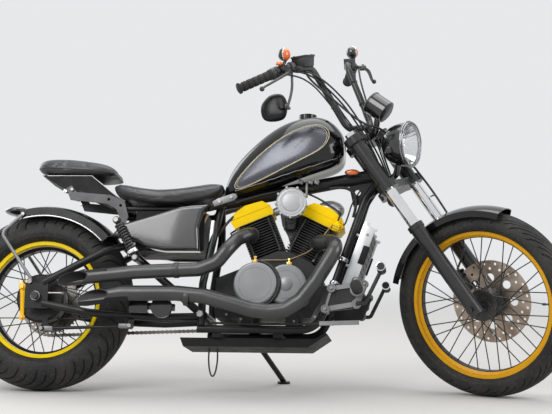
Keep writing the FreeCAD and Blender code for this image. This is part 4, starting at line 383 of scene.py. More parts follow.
def stretch(tree: Tree, value: Socket, low: float, high: float, to_low: float, to_high: float) -> Socket:
    """Returns a value taken from one range to another and clamped there."""
    node = tree.nodes.new("ShaderNodeMapRange")
    for name, number in zip(("From Min", "From Max", "To Min", "To Max"), (low, high, to_low, to_high)):
        node.inputs[name].default_value = number
    tree.links.new(value, node.inputs["Value"])
    return node.outputs["Result"]


def mixed(tree: Tree, factor: Socket, first: Socket | Colour, second: Socket | Colour) -> Socket:
    """Returns the blend of two colours, each a socket or three plain numbers."""
    node = tree.nodes.new("ShaderNodeMix")
    node.data_type = "RGBA"
    tree.links.new(factor, node.inputs["Factor"])
    for socket, value in ((node.inputs[6], first), (node.inputs[7], second)):
        if isinstance(value, tuple):
            socket.default_value = (*value, 1.0)
        else:
            tree.links.new(value, socket)
    return node.outputs[2]


def blend_colours(tree: Tree, value: Socket, first: Colour, second: Colour) -> Socket:
    """Returns a colour that drifts between two as a noise value rises."""
    return mixed(tree, stretch(tree, value, 0.35, 0.68, 0.0, 1.0), first, second)


def bump(tree: Tree, shader: bpy.types.Node, height: Socket,
         strength: float, distance: float = 0.0004) -> None:
    """Gives a shader a bumped normal."""
    node = tree.nodes.new("ShaderNodeBump")
    node.inputs["Strength"].default_value = strength
    node.inputs["Distance"].default_value = distance
    tree.links.new(height, node.inputs["Height"])
    tree.links.new(node.outputs["Normal"], shader.inputs["Normal"])
    if shader.inputs["Coat Weight"].default_value > 0:
        tree.links.new(node.outputs["Normal"], shader.inputs["Coat Normal"])


def vector_maths(tree: Tree, operation: str, value: Socket, other: Point | None = None) -> Socket:
    """Returns the result of a Vector Math node on a socket and three plain numbers."""
    node = tree.nodes.new("ShaderNodeVectorMath")
    node.operation = operation
    tree.links.new(value, node.inputs[0])
    if other is not None:
        node.inputs[1].default_value = other
    return node.outputs["Value" if operation in ("LENGTH", "DOT_PRODUCT") else "Vector"]


@dataclass(frozen=True)
class BandedFinish:
    """Paint in rings round a wheel: a base, a coloured band on each side wall and a bright edge."""

    name: str
    slot: str
    centre: Point
    axis: Point
    band_inner: float
    band_outer: float
    band_side: float
    base: Colour = (0.012, 0.012, 0.013)
    band: Colour = (0.80, 0.52, 0.03)
    edge: Colour = (0.55, 0.52, 0.47)
    edge_width: float = 3.0

    def build(self) -> bpy.types.Material:
        """Returns the node material, with rings measured from the wheel's centre."""
        material, tree, shader = new_material(self.name)
        place = object_place(tree)
        offset = vector_maths(tree, "SUBTRACT", place, self.centre)
        side = maths(tree, "ABSOLUTE", vector_maths(tree, "DOT_PRODUCT", offset, self.axis))
        length = vector_maths(tree, "LENGTH", offset)
        reach = maths(tree, "MULTIPLY", length, length)
        radius = maths(tree, "SQRT", maths(tree, "SUBTRACT", reach, maths(tree, "MULTIPLY", side, side)))
        in_band = self.between(tree, radius, self.band_inner, self.band_outer)
        on_wall = maths(tree, "GREATER_THAN", side, self.band_side * MM)
        in_band = maths(tree, "MULTIPLY", in_band, on_wall)
        on_edge = self.between(tree, radius, self.band_inner - self.edge_width, self.band_inner)
        on_edge = maths(tree, "MULTIPLY", on_edge, on_wall)
        cloud = stretch(tree, noise(tree, place, 30.0, 5.0), 0.3, 0.75, 0.55, 1.0)
        base = blend_colours(tree, noise(tree, place, 12.0, 4.0), self.base, (0.03, 0.03, 0.03))
        band = mixed(tree, cloud, tuple(0.72 * part for part in self.band), self.band)
        colour = mixed(tree, in_band, base, band)
        tree.links.new(mixed(tree, on_edge, colour, self.edge), shader.inputs["Base Color"])
        gloss = stretch(tree, noise(tree, place, 45.0, 5.0), 0.3, 0.7, 0.24, 0.4)
        tree.links.new(gloss, shader.inputs["Roughness"])
        shader.inputs["Specular IOR Level"].default_value = 0.16
        bump(tree, shader, noise(tree, place, 900.0, 3.0), 0.06)
        return material

    def between(self, tree: Tree, value: Socket, low: float, high: float) -> Socket:
        """Returns 1 where a distance lies between two radii in millimetres, and 0 elsewhere."""
        above = maths(tree, "GREATER_THAN", value, low * MM)
        below = maths(tree, "LESS_THAN", value, high * MM)
        return maths(tree, "MULTIPLY", above, below)


@dataclass(frozen=True)
class GlassFinish:
    """Clear lamp glass with a fluted inside."""

    name: str
    slot: str

    def build(self) -> bpy.types.Material:
        """Returns the node material."""
        material, tree, shader = new_material(self.name)
        shader.inputs["Base Color"].default_value = (0.93, 0.95, 0.96, 1.0)
        shader.inputs["Transmission Weight"].default_value = 1.0
        shader.inputs["Roughness"].default_value = 0.02
        shader.inputs["IOR"].default_value = 1.45
        place = object_place(tree)
        bump(tree, shader, noise(tree, place, 60.0, 1.0), 0.1)
        return material


@dataclass(frozen=True)
class SootedFinish:
    """Matt pipe black whose bores are sooty near their mouths."""

    name: str
    slot: str
    bores: tuple[tuple[Point, Point, float], ...]
    paint: Colour = (0.022, 0.022, 0.023)
    paler: Colour = (0.036, 0.036, 0.036)
    soot: Colour = (0.0035, 0.003, 0.0035)

    def build(self) -> bpy.types.Material:
        """Returns the node material; a bore is a line along the pipe and a radius about it."""
        material, tree, shader = new_material(self.name)
        place = object_place(tree)
        inside = None
        for start, end, radius in self.bores:
            first, last = CHASSIS.point(*start), CHASSIS.point(*end)
            near = self.inside(tree, place, first, (last - first).normalized(), radius)
            inside = near if inside is None else maths(tree, "MAXIMUM", inside, near)
        painted = blend_colours(tree, noise(tree, place, 9.0, 4.0), self.paint, self.paler)
        tree.links.new(mixed(tree, inside, painted, self.soot), shader.inputs["Base Color"])
        worn = stretch(tree, noise(tree, place, 26.0, 5.0), 0.3, 0.75, 0.27, 0.38)
        rough = tree.nodes.new("ShaderNodeMix")
        tree.links.new(inside, rough.inputs[0])
        tree.links.new(worn, rough.inputs[2])
        rough.inputs[3].default_value = 0.9
        tree.links.new(rough.outputs[0], shader.inputs["Roughness"])
        shader.inputs["Specular IOR Level"].default_value = 0.6
        bump(tree, shader, noise(tree, place, 1500.0, 4.0), 0.1)
        return material

    def inside(self, tree: Tree, place: Socket, first: Vector, way: Vector, radius: float) -> Socket:
        """Returns 1 within a radius of a line's first 190 mm, and 0 elsewhere."""
        offset = vector_maths(tree, "SUBTRACT", place, tuple(first))
        across = vector_maths(tree, "CROSS_PRODUCT", offset, tuple(way))
        reach = vector_maths(tree, "LENGTH", across)
        along = vector_maths(tree, "DOT_PRODUCT", offset, tuple(way))
        near = maths(tree, "LESS_THAN", reach, radius * MM)
        before = maths(tree, "LESS_THAN", along, 190.0 * MM)
        return maths(tree, "MULTIPLY", near, before)


Paint = Finish | BandedFinish | GlassFinish | SootedFinish


# Meshes

class Shell:
    """Points and faces gathered in a body's own millimetres, made into one riding piece at the end."""

    def __init__(self, axes: Axes) -> None:
        """Starts empty, in the directions of one body."""
        self.axes = axes
        self.points: list[np.ndarray] = []
        self.faces: list[tuple[int, ...]] = []
        self.count = 0

    def add(self, points: np.ndarray, faces: list[tuple[int, ...]]) -> None:
        """Adds points in millimetres, and faces that name them from zero."""
        self.faces += [tuple(index + self.count for index in face) for face in faces]
        self.points.append(np.asarray(points, float).reshape(-1, 3))
        self.count += len(self.points[-1])

    def lathe(self, centre: Vector, profile: list[tuple[float, float]], segments: int,
              axis: Vector = LEFT, closed: bool = True) -> None:
        """Turns a profile about an axis.

        Args:
            centre: the zero of the profile's sides.
            profile: radius and side of each point, in order.
            segments: steps round the turn.
            axis: the way that sides grow.
            closed: whether the last point joins the first.
        """
        first = axis.orthogonal().normalized()
        second = axis.cross(first).normalized()
        angles = np.linspace(0, TURN, segments, endpoint=False)
        spokes = np.outer(np.cos(angles), first) + np.outer(np.sin(angles), second)
        rows = [np.array(centre) + radius * spokes + side * np.array(axis) for radius, side in profile]
        self.grid(np.stack(rows), closed)

    def grid(self, rows: np.ndarray, closed: bool) -> None:
        """Adds a grid of points whose columns close round, and whose rows may."""
        count, width = rows.shape[:2]
        faces = []
        for row in range(count if closed else count - 1):
            after = (row + 1) % count
            for column in range(width):
                beside = (column + 1) % width
                faces.append((row * width + column, row * width + beside,
                              after * width + beside, after * width + column))
        self.add(rows.reshape(-1, 3), faces)

    def tube(self, path: list[Vector], radii: float | list[float], sides: int = 12,
             flat: tuple[Vector, float] | None = None) -> None:
        """Adds a capped tube along a path.

        Args:
            path: its middle points, in order.
            radii: its radius, or the radius at each point.
            sides: its sides.
            flat: a direction in which it is thinner, and the share of its width left there.
        """
        rows = []
        normal = None
        widths = radii if isinstance(radii, list) else [radii] * len(path)
        for index, point in enumerate(path):
            ahead = path[min(index + 1, len(path) - 1)] - path[max(index - 1, 0)]
            ahead.normalize()
            normal = ahead.orthogonal() if normal is None else normal - ahead * normal.dot(ahead)
            normal.normalize()
            beside = ahead.cross(normal)
            ring = [point + (normal * math.cos(TURN * k / sides)
                             + beside * math.sin(TURN * k / sides)) * widths[index]
                    for k in range(sides)]
            if flat:
                way, share = flat
                ring = [place - way * ((place - point).dot(way) * (1 - share)) for place in ring]
            rows.append([tuple(place) for place in ring])
        start = self.count
        self.grid(np.array(rows), False)
        last = start + (len(path) - 1) * sides
        self.faces.append(tuple(range(start, start + sides))[::-1])
        self.faces.append(tuple(range(last, last + sides)))

    def strand(self, points: list[Vector] | tuple[Point, ...], radius: float,
               sides: int = 12) -> list[Vector]:
        """Adds a tube along the smooth line that control points give, and returns that line."""
        path = smooth_line([Vector(point) for point in points])
        self.tube(path, radius, sides)
        return path

    def prism(self, outline: list[Vector], depth: Vector) -> None:
        """Adds a flat outline pushed through a depth."""
        size = len(outline)
        points = [tuple(p) for p in outline] + [tuple(p + depth) for p in outline]
        faces = [tuple(range(size))[::-1], tuple(range(size, 2 * size))]
        faces += [(k, (k + 1) % size, size + (k + 1) % size, size + k) for k in range(size)]
        self.add(np.array(points), faces)

    def box(self, corner: Vector, along: Vector, aside: Vector, up: Vector) -> None:
        """Adds a block from one corner and its three edges."""
        self.prism([corner, corner + along, corner + along + aside, corner + aside], up)

    def ellipsoid(self, centre: Vector, half: Vector, segments: int = 24) -> None:
        """Adds an ellipsoid with its poles along Z."""
        rows = []
        for turn in np.linspace(0, math.pi, segments // 2 + 1):
            rows.append([(centre.x + half.x * math.sin(turn) * math.cos(TURN * k / segments),
                          centre.y + half.y * math.sin(turn) * math.sin(TURN * k / segments),
                          centre.z + half.z * math.cos(turn)) for k in range(segments)])
        self.grid(np.array(rows), False)

    def ball(self, centre: Vector, radius: float) -> None:
        """Adds a ball."""
        self.ellipsoid(centre, at(radius, radius, radius))

    def mesh(self, name: str) -> bpy.types.Mesh:
        """Returns the gathered faces as one mesh in the row frame, faces outwards."""
        mesh = bpy.data.meshes.new(name)
        mesh.from_pydata(np.concatenate(self.points).tolist(), [], self.faces)
        mesh.transform(self.axes.matrix)
        return outward(mesh)

    def piece(self, name: str, finish: Paint, bevel: float = 0.0, angle: float = 35.0) -> bpy.types.Object:
        """Makes the piece, which rides on the body of its axes.

        Args:
            name: the piece's plain name.
            finish: its finish.
            bevel: width in millimetres of its rounded edges.
            angle: the sharpest bend, in degrees, that is shaded smooth.

        Returns:
            The finished object, its place in its mesh.
        """
        return riding(self.mesh(name), name, self.axes.body, finish, bevel, angle)


def outward(mesh: bpy.types.Mesh) -> bpy.types.Mesh:
    """Returns the mesh with its doubles merged and its faces pointing outwards."""
    work = bmesh.new()
    work.from_mesh(mesh)
    bmesh.ops.remove_doubles(work, verts=work.verts, dist=1e-6)
    bmesh.ops.recalc_face_normals(work, faces=work.faces)
    work.to_mesh(mesh)
    work.free()
    return mesh


def plain_mesh(obj: bpy.types.Object, name: str) -> bpy.types.Mesh:
    """Returns an object's evaluated mesh and removes the object."""
    bpy.context.view_layer.update()
    graph = bpy.context.evaluated_depsgraph_get()
    mesh = bpy.data.meshes.new_from_object(obj.evaluated_get(graph))
    mesh.name = name
    bpy.data.objects.remove(obj)
    return mesh


def linked(name: str, data: bpy.types.ID) -> bpy.types.Object:
    """Returns a new object in the scene."""
    obj = bpy.data.objects.new(name, data)
    bpy.context.scene.collection.objects.link(obj)
    return obj


def riding(mesh: bpy.types.Mesh, name: str, body: str, finish: Paint, bevel: float = 0.0,
           angle: float = 35.0) -> bpy.types.Object:
    """Makes a finished piece of a mesh that is already in the row frame.

    Args:
        mesh: the mesh in its place.
        name: the piece's plain name.
        body: the body that it rides on.
        finish: its finish.
        bevel: width in millimetres of its rounded edges.
        angle: the sharpest bend, in degrees, that is shaded smooth.

    Returns:
        The piece, riding on its body and dressed.
    """
    obj = linked(name, mesh)
    if bevel > 0:
        round_off = obj.modifiers.new("edges", "BEVEL")
        round_off.width = bevel * MM
        round_off.segments = 2
        round_off.limit_method = "ANGLE"
        obj = linked(name, plain_mesh(obj, name))
    obj.name = name
    obj.data.shade_smooth()
    obj.data.set_sharp_from_angle(angle=math.radians(angle))
    obj.data.materials.clear()
    obj.data.materials.append(PAINTS[finish])
    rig.slot(obj, finish.slot)
    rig.ride(obj, body)
    LOG.info("%s rides on %s with %d faces", name, body, len(obj.data.polygons))
    return obj


# Repeats by node trees

class Layout(Enum):
    """How a repeated fitting is laid out."""

    RING = "round a circle"
    ROW = "in a straight row"
    PATH = "along a path"


class Fitting(Enum):
    """The form of a repeated fitting."""

    CONE = "a cone, pin or hexagon"
    BLOCK = "a block"
    HOOP = "a thin hoop"
    PIN = "a pin along Y"


@dataclass(frozen=True)
class Repeat:
    """A fitting repeated by a node tree, in its own millimetres about its own zero.

    A ring lies in the X-Y plane with the fittings' tops along Z, a row runs along Z, and a path's
    fittings have X along the path and Z away from it.
    """

    layout: Layout
    fitting: Fitting
    count: int
    reach: float
    size: Point
    sides: int = 6
    lift: float = 0.0
    every: int = 1
    start: int = 0
    outward: bool = False

    def tree(self) -> Tree:
        """Returns the node tree, with its sizes as named inputs."""
        group = bpy.data.node_groups.new("repeat " + self.layout.value, "GeometryNodeTree")
        sockets = group.interface
        sockets.new_socket("Geometry", in_out="INPUT", socket_type="NodeSocketGeometry")
        for name, kind in (("Count", "NodeSocketInt"), ("Reach", "NodeSocketFloat"),
                           ("Size", "NodeSocketVector"), ("Material", "NodeSocketMaterial")):
            sockets.new_socket(name, in_out="INPUT", socket_type=kind)
        sockets.new_socket("Geometry", in_out="OUTPUT", socket_type="NodeSocketGeometry")
        given = group.nodes.new("NodeGroupInput").outputs
        points, turn = self.places(group, given)
        instance = group.nodes.new("GeometryNodeInstanceOnPoints")
        group.links.new(points, instance.inputs["Points"])
        group.links.new(self.shape(group, given), instance.inputs["Instance"])
        group.links.new(turn, instance.inputs["Rotation"])
        if self.every > 1:
            index = group.nodes.new("GeometryNodeInputIndex").outputs[0]
            left = maths(group, "MODULO", index, self.every)
            chosen = maths(group, "COMPARE", left, self.start, 0.1)
            group.links.new(chosen, instance.inputs["Selection"])
        whole = group.nodes.new("GeometryNodeRealizeInstances")
        group.links.new(instance.outputs[0], whole.inputs[0])
        dress = group.nodes.new("GeometryNodeSetMaterial")
        group.links.new(whole.outputs[0], dress.inputs["Geometry"])
        group.links.new(given["Material"], dress.inputs["Material"])
        result = group.nodes.new("NodeGroupOutput")
        group.links.new(dress.outputs[0], result.inputs[0])
        return group

    def places(self, group: Tree, given: Outputs) -> tuple[Socket, Socket]:
        """Returns the sockets of the fittings' points and rotations."""
        new = group.nodes.new
        if self.layout is Layout.PATH:
            curve = new("GeometryNodeMeshToCurve")
            group.links.new(given["Geometry"], curve.inputs["Mesh"])
            even = new("GeometryNodeResampleCurve")
            group.links.new(curve.outputs[0], even.inputs["Curve"])
            group.links.new(given["Count"], even.inputs["Count"])
            tangent = new("GeometryNodeInputTangent").outputs[0]
            turn = new("FunctionNodeAlignRotationToVector")
            turn.axis = "X"
            group.links.new(tangent, turn.inputs["Vector"])
            return even.outputs[0], turn.outputs[0]
        if self.layout is Layout.ROW:
            line = new("GeometryNodeMeshLine")
            group.links.new(given["Count"], line.inputs["Count"])
            step = new("ShaderNodeCombineXYZ")
            group.links.new(given["Reach"], step.inputs["Z"])
            group.links.new(step.outputs[0], line.inputs["Offset"])
            return line.outputs[0], new("FunctionNodeEulerToRotation").outputs[0]
        circle = new("GeometryNodeMeshCircle")
        group.links.new(given["Count"], circle.inputs["Vertices"])
        group.links.new(given["Reach"], circle.inputs["Radius"])
        place = new("GeometryNodeInputPosition").outputs[0]
        turn = new("FunctionNodeAlignRotationToVector")
        turn.axis = "Z" if self.outward else "X"
        group.links.new(place, turn.inputs["Vector"])
        return circle.outputs[0], turn.outputs[0]

    def shape(self, group: Tree, given: Outputs) -> Socket:
        """Returns the socket of one fitting's mesh, its foot at its own zero."""
        new = group.nodes.new
        parts = new("ShaderNodeSeparateXYZ")
        group.links.new(given["Size"], parts.inputs[0])
        if self.fitting is Fitting.HOOP:
            ring = new("GeometryNodeCurvePrimitiveCircle")
            ring.inputs["Resolution"].default_value = self.sides
            group.links.new(parts.outputs[0], ring.inputs["Radius"])
            wire = new("GeometryNodeCurvePrimitiveCircle")
            wire.inputs["Resolution"].default_value = 6
            group.links.new(parts.outputs[1], wire.inputs["Radius"])
            hoop = new("GeometryNodeCurveToMesh")
            group.links.new(ring.outputs[0], hoop.inputs["Curve"])
            group.links.new(wire.outputs[0], hoop.inputs["Profile Curve"])
            return hoop.outputs[0]
        if self.fitting is Fitting.BLOCK:
            block = new("GeometryNodeMeshCube")
            group.links.new(given["Size"], block.inputs["Size"])
            made, rise = block.outputs["Mesh"], maths(group, "MULTIPLY", parts.outputs[2], 0.5)
        else:
            cone = new("GeometryNodeMeshCone")
            cone.inputs["Vertices"].default_value = self.sides
            group.links.new(parts.outputs[0], cone.inputs["Radius Bottom"])
            group.links.new(parts.outputs[1], cone.inputs["Radius Top"])
            group.links.new(parts.outputs[2], cone.inputs["Depth"])
            made, rise = cone.outputs["Mesh"], None
        shift = new("ShaderNodeCombineXYZ")
        if self.fitting is Fitting.PIN:
            half = maths(group, "MULTIPLY", parts.outputs[2], -0.5)
            group.links.new(half, shift.inputs["Y"])
        elif rise is not None:
            group.links.new(maths(group, "ADD", rise, self.lift), shift.inputs["Z"])
        else:
            shift.inputs["Z"].default_value = self.lift
        moved = new("GeometryNodeTransform")
        if self.fitting is Fitting.PIN:
            moved.inputs["Rotation"].default_value = (-math.pi / 2, 0, 0)
        group.links.new(made, moved.inputs["Geometry"])
        group.links.new(shift.outputs[0], moved.inputs["Translation"])
        return moved.outputs[0]

    def mesh(self, finish: Paint, path: list[Vector] | None = None, closed: bool = False) -> bpy.types.Mesh:
        """Runs the tree.

        Args:
            finish: the finish that the tree sets.
            path: the points of a path, in millimetres.
            closed: whether the path ends where it starts.

        Returns:
            The repeats as one plain mesh, in millimetres.
        """
        base = bpy.data.meshes.new("path")
        if path:
            edges = [(k, k + 1) for k in range(len(path) - 1)]
            edges += [(len(path) - 1, 0)] if closed else []
            base.from_pydata([tuple(p) for p in path], edges, [])
        carrier = linked("carrier", base)
        modifier = carrier.modifiers.new("repeat", "NODES")
        modifier.node_group = self.tree()
        values = {"Count": self.count, "Reach": self.reach, "Size": self.size, "Material": PAINTS[finish]}
        for item in modifier.node_group.interface.items_tree:
            if item.in_out == "INPUT" and item.name in values:
                modifier[item.identifier] = values[item.name]
        return plain_mesh(carrier, "repeats")


def facing(place: Vector, outwards: Vector, around: Vector | None = None) -> Matrix:
    """Returns the matrix that sets a repeat down at a place.

    Args:
        place: the repeat's zero, in the body's millimetres.
        outwards: where its Z goes.
        around: where its X goes, as nearly as may be.

    Returns:
        The matrix from the repeat's millimetres to the body's.
    """
    up = outwards.normalized()
    first = (around or up.orthogonal())
    first = (first - up * first.dot(up)).normalized()
    turn = Matrix((first, up.cross(first), up)).transposed().to_4x4()
    return Matrix.Translation(place) @ turn


class Fasteners:
    """All repeated fittings of one finish on one body, joined into one piece."""

    def __init__(self, name: str, axes: Axes, finish: Paint) -> None:
        """Starts an empty set."""
        self.name = name
        self.finish = finish
        self.shell = Shell(axes)

    def add(self, repeat: Repeat, place: Matrix, path: list[Vector] | None = None,
            closed: bool = False) -> None:
        """Adds one repeat, set down by a matrix in the body's millimetres."""
        mesh = repeat.mesh(self.finish, path, closed)
        mesh.transform(place)
        points = np.zeros(len(mesh.vertices) * 3)
        mesh.vertices.foreach_get("co", points)
        self.shell.add(points, [tuple(face.vertices) for face in mesh.polygons])
        bpy.data.meshes.remove(mesh)

    def hexagons(self, place: Vector, outwards: Vector, radius: float, height: float,
                 ring: float = 0.0, count: int = 1) -> None:
        """Adds one hexagon head, or a ring of them about a place."""
        layout = Repeat(Layout.RING, Fitting.CONE, max(count, 3), ring, (radius, radius * 0.92, height))
        if count < 3:
            layout = Repeat(Layout.ROW, Fitting.CONE, count, 0.0, (radius, radius * 0.92, height))
        self.add(layout, facing(place, outwards))

    def piece(self) -> bpy.types.Object:
        """Returns the set as one riding piece."""
        return self.shell.piece(self.name, self.finish, angle=30.0)


def rim_paint(name: str, axes: Axes, hub: Vector, inner: float, outer: float, side: float,
              band: Colour) -> BandedFinish:
    """Returns a rim's finish, with its rings set about the wheel as it rests.

    Args:
        name: the finish's plain name.
        axes: the directions of the wheel.
        hub: the wheel's middle.
        inner: where the coloured band starts.
        outer: where it ends.
        side: how far from the wheel's middle plane it starts.
        band: its colour.
    """
    centre, axis = tuple(axes.matrix @ hub), tuple(axes.direction(LEFT))
    return BandedFinish(name, "rim_paint", centre, axis, inner, outer, side, band=band)


# The finishes of this machine

TYRE_RUBBER = Finish("tyre rubber", "tyre", (0.016, 0.016, 0.017), (0.034, 0.033, 0.031), 0.62,
                     relief=Relief.RUBBER, grain=700, depth=0.35, dust=0.10, specular=0.25)
HUB_BLACK = Finish("hub black", "hub_paint", (0.010, 0.010, 0.011), (0.022, 0.022, 0.022), 0.34,
                   relief=Relief.CAST, grain=1200, depth=0.12, dust=0.2)
SATIN_BLACK = Finish("satin black frame paint", "frame_paint", (0.006, 0.006, 0.007),
                     (0.014, 0.014, 0.015), 0.33, relief=Relief.PEEL, grain=500, depth=0.08,
                     specular=0.3)
FORK_BLACK = Finish("fork black", "fork_paint", (0.010, 0.010, 0.011), (0.018, 0.018, 0.019), 0.27,
                    relief=Relief.PEEL, grain=700, depth=0.06, spread=0.08, specular=0.55)
FENDER_BLACK = Finish("rear fender black", "gloss_paint", (0.004, 0.004, 0.005),
                      (0.008, 0.008, 0.009), 0.26, relief=Relief.PEEL, grain=300, depth=0.05,
                      specular=0.3)
BAR_BLACK = Finish("bar black", "bar_paint", (0.012, 0.012, 0.013), (0.022, 0.022, 0.023), 0.3,
                   relief=Relief.PEEL, grain=500, depth=0.05)
GLOSS_BLACK = Finish("gloss black paint", "gloss_paint", (0.0035, 0.0035, 0.0045),
                     (0.006, 0.006, 0.007), 0.12, relief=Relief.PEEL, grain=160, depth=0.035,
                     spread=0.05, coat=0.25, patch=5.0, specular=0.35)
TANK_PANEL = Finish("tank panel graphite", "gloss_paint", (0.070, 0.073, 0.086),
                    (0.085, 0.088, 0.102), 0.27, metallic=0.7, relief=Relief.PEEL, grain=160,
                    depth=0.035, spread=0.05, coat=0.3, patch=9.0)
COVER_BLACK = Finish("side cover gloss black", "gloss_paint", (0.018, 0.018, 0.020),
                     (0.026, 0.026, 0.028), 0.16, relief=Relief.PEEL, grain=120, depth=0.05,
                     spread=0.06, coat=1.0, patch=4.0)
PIPE_BLACK = Finish("exhaust matt black", "pipe_black", (0.020, 0.020, 0.021), (0.034, 0.034, 0.034),
                    0.38, relief=Relief.CAST, grain=1500, depth=0.10, spread=0.1)
SOOTY_PIPE = SootedFinish("exhaust black, sooty inside", "pipe_black", (
    ((88.0, -205.0, 374.0), (309.0, -205.0, 405.0), 23.2),
    ((165.0, -205.0, 268.0 + 0.117 * 232.0), (460.0, -205.0, 310.0), 25.2)))
ENGINE_BLACK = Finish("engine black", "engine_paint", (0.007, 0.007, 0.007), (0.015, 0.015, 0.015),
                      0.42, relief=Relief.CAST, grain=1400, depth=0.2, dust=0.05, specular=0.3)
COVER_GREY = Finish("engine cover grey", "cover_paint", (0.20, 0.205, 0.21), (0.25, 0.255, 0.26),
                    0.36, metallic=0.35, relief=Relief.CAST, grain=1600, depth=0.08, spread=0.08)
ROCKER_YELLOW = Finish("rocker cover yellow", "yellow_paint", (1.0, 0.68, 0.0),
                       (0.95, 0.62, 0.0), 0.36, relief=Relief.PEEL, grain=220, depth=0.08,
                       patch=6.0, specular=0.12)
ARM_YELLOW = Finish("brake arm yellow", "yellow_paint", (0.98, 0.56, 0.008), (0.90, 0.49, 0.006),
                    0.36, relief=Relief.PEEL, grain=300, depth=0.1, specular=0.25)
CHROME = Finish("fork chrome", "fork_chrome", (0.82, 0.82, 0.84), (0.74, 0.74, 0.76), 0.06,
                metallic=1.0, spread=0.05, patch=14.0)
CHAIN_STEEL = Finish("oiled steel", "chain_steel", (0.20, 0.19, 0.18), (0.34, 0.32, 0.29), 0.36,
                     metallic=0.95, relief=Relief.CAST, grain=1500, depth=0.15, dust=0.1)
DISC_STEEL = Finish("disc steel", "disc_steel", (0.34, 0.26, 0.20), (0.48, 0.41, 0.34), 0.34,
                    metallic=0.9, relief=Relief.BRUSHED, grain=1200, depth=0.12, patch=16.0)
BOLT_STEEL = Finish("bolt zinc", "chain_steel", (0.24, 0.235, 0.23), (0.34, 0.335, 0.32), 0.32,
                    metallic=1.0, spread=0.1, patch=60.0)
BOLT_BLACK = Finish("black bolts", "frame_paint", (0.012, 0.012, 0.012), (0.03, 0.03, 0.03), 0.35,
                    metallic=0.2, patch=60.0)
GOLD = Finish("gold anodised", "yellow_paint", (0.72, 0.44, 0.10), (0.80, 0.55, 0.16), 0.26,
              metallic=1.0, patch=50.0)
GREY_ALLOY = Finish("machined grey alloy", "grey_alloy", (0.17, 0.17, 0.175), (0.25, 0.25, 0.255),
                    0.40, metallic=0.6, relief=Relief.CAST, grain=1300, depth=0.14, patch=11.0)
CONTROL_BLACK = Finish("hand control black", "grey_alloy", (0.012, 0.012, 0.013),
                       (0.028, 0.028, 0.028), 0.38, relief=Relief.CAST, grain=1200, depth=0.12)
AIR_GREY = Finish("air cleaner grey", "bare_alloy", (0.34, 0.345, 0.35), (0.42, 0.425, 0.43), 0.42,
                  metallic=0.4, relief=Relief.CAST, grain=1500, depth=0.06, spread=0.08)
BARE_ALLOY = Finish("bare alloy", "bare_alloy", (0.55, 0.55, 0.56), (0.66, 0.66, 0.67), 0.36,
                    metallic=0.75, relief=Relief.BRUSHED, grain=1400, depth=0.12)
CORE_ALLOY = Finish("radiator alloy", "radiator_alloy", (0.50, 0.51, 0.52), (0.62, 0.63, 0.64),
                    0.42, metallic=0.55, relief=Relief.CAST, grain=900, depth=0.1)
GRIP_RUBBER = Finish("grip rubber", "grip_rubber", (0.012, 0.012, 0.012), (0.024, 0.023, 0.022),
                     0.68, relief=Relief.RUBBER, grain=900, depth=0.35, specular=0.35)
HOSE_RUBBER = Finish("hose rubber", "hose_rubber", (0.010, 0.010, 0.010), (0.020, 0.020, 0.020),
                     0.48, relief=Relief.RUBBER, grain=1500, depth=0.2)
SEAT_VINYL = Finish("seat vinyl", "seat_vinyl", (0.026, 0.026, 0.028), (0.038, 0.038, 0.040), 0.38,
                    relief=Relief.LEATHER, grain=420, depth=0.5, spread=0.12, patch=7.0)
THREAD = Finish("seat thread", "seat_vinyl", (0.03, 0.03, 0.03), (0.05, 0.05, 0.05), 0.7,
                relief=Relief.RUBBER, grain=2500, depth=0.3)
TRAY_PLASTIC = Finish("matt black plastic", "tray_plastic", (0.004, 0.004, 0.004),
                      (0.008, 0.008, 0.008), 0.5, relief=Relief.CAST, grain=1100, depth=0.25,
                      specular=0.2)
AMBER = Finish("amber lens", "signal_amber", (0.85, 0.16, 0.01), (0.70, 0.11, 0.008), 0.16,
               relief=Relief.PEEL, grain=260, depth=0.3, coat=0.8, patch=30.0)
LAMP_RED = Finish("red lens", "lamp_red", (0.36, 0.012, 0.012), (0.26, 0.008, 0.008), 0.15,
                  relief=Relief.PEEL, grain=260, depth=0.3, coat=0.8, patch=30.0)
LAMP_BLACK = Finish("lamp shell black", "lamp_shell", (0.006, 0.006, 0.007), (0.012, 0.012, 0.013),
                    0.15, relief=Relief.PEEL, grain=200, depth=0.05, coat=0.8)
REFLECTOR = Finish("lamp reflector", "fork_chrome", (0.86, 0.86, 0.87), (0.80, 0.80, 0.82), 0.10,
                   metallic=1.0, relief=Relief.PEEL, grain=90, depth=0.9)
DIAL_WHITE = Finish("dial marks", "lamp_shell", (0.75, 0.75, 0.72), (0.65, 0.65, 0.62), 0.5, patch=80.0)
BRACKET_GREY = Finish("bracket grey", "grey_alloy", (0.060, 0.060, 0.062), (0.085, 0.085, 0.088),
                      0.42, metallic=0.4, relief=Relief.CAST, grain=900, depth=0.12)
RIM_CHROME = Finish("dark chrome", "fork_chrome", (0.20, 0.20, 0.21), (0.26, 0.26, 0.27), 0.08,
                    metallic=1.0, spread=0.04)
CONTROL_DARK = Finish("dark control plates", "grey_alloy", (0.018, 0.018, 0.019),
                      (0.034, 0.034, 0.036), 0.4, metallic=0.4, relief=Relief.CAST, grain=900, depth=0.12)
PINSTRIPE = Finish("pinstripe cream", "gloss_paint", (0.80, 0.72, 0.46), (0.72, 0.63, 0.38), 0.3,
                   patch=20.0)
STALK_GREY = Finish("stalk grey", "bar_paint", (0.10, 0.10, 0.105), (0.15, 0.15, 0.155), 0.3,
                    metallic=0.4, spread=0.1, patch=20.0)
MIRROR_GLASS = Finish("mirror glass", "fork_chrome", (0.86, 0.87, 0.88), (0.82, 0.84, 0.86), 0.03,
                      metallic=1.0, spread=0.03)
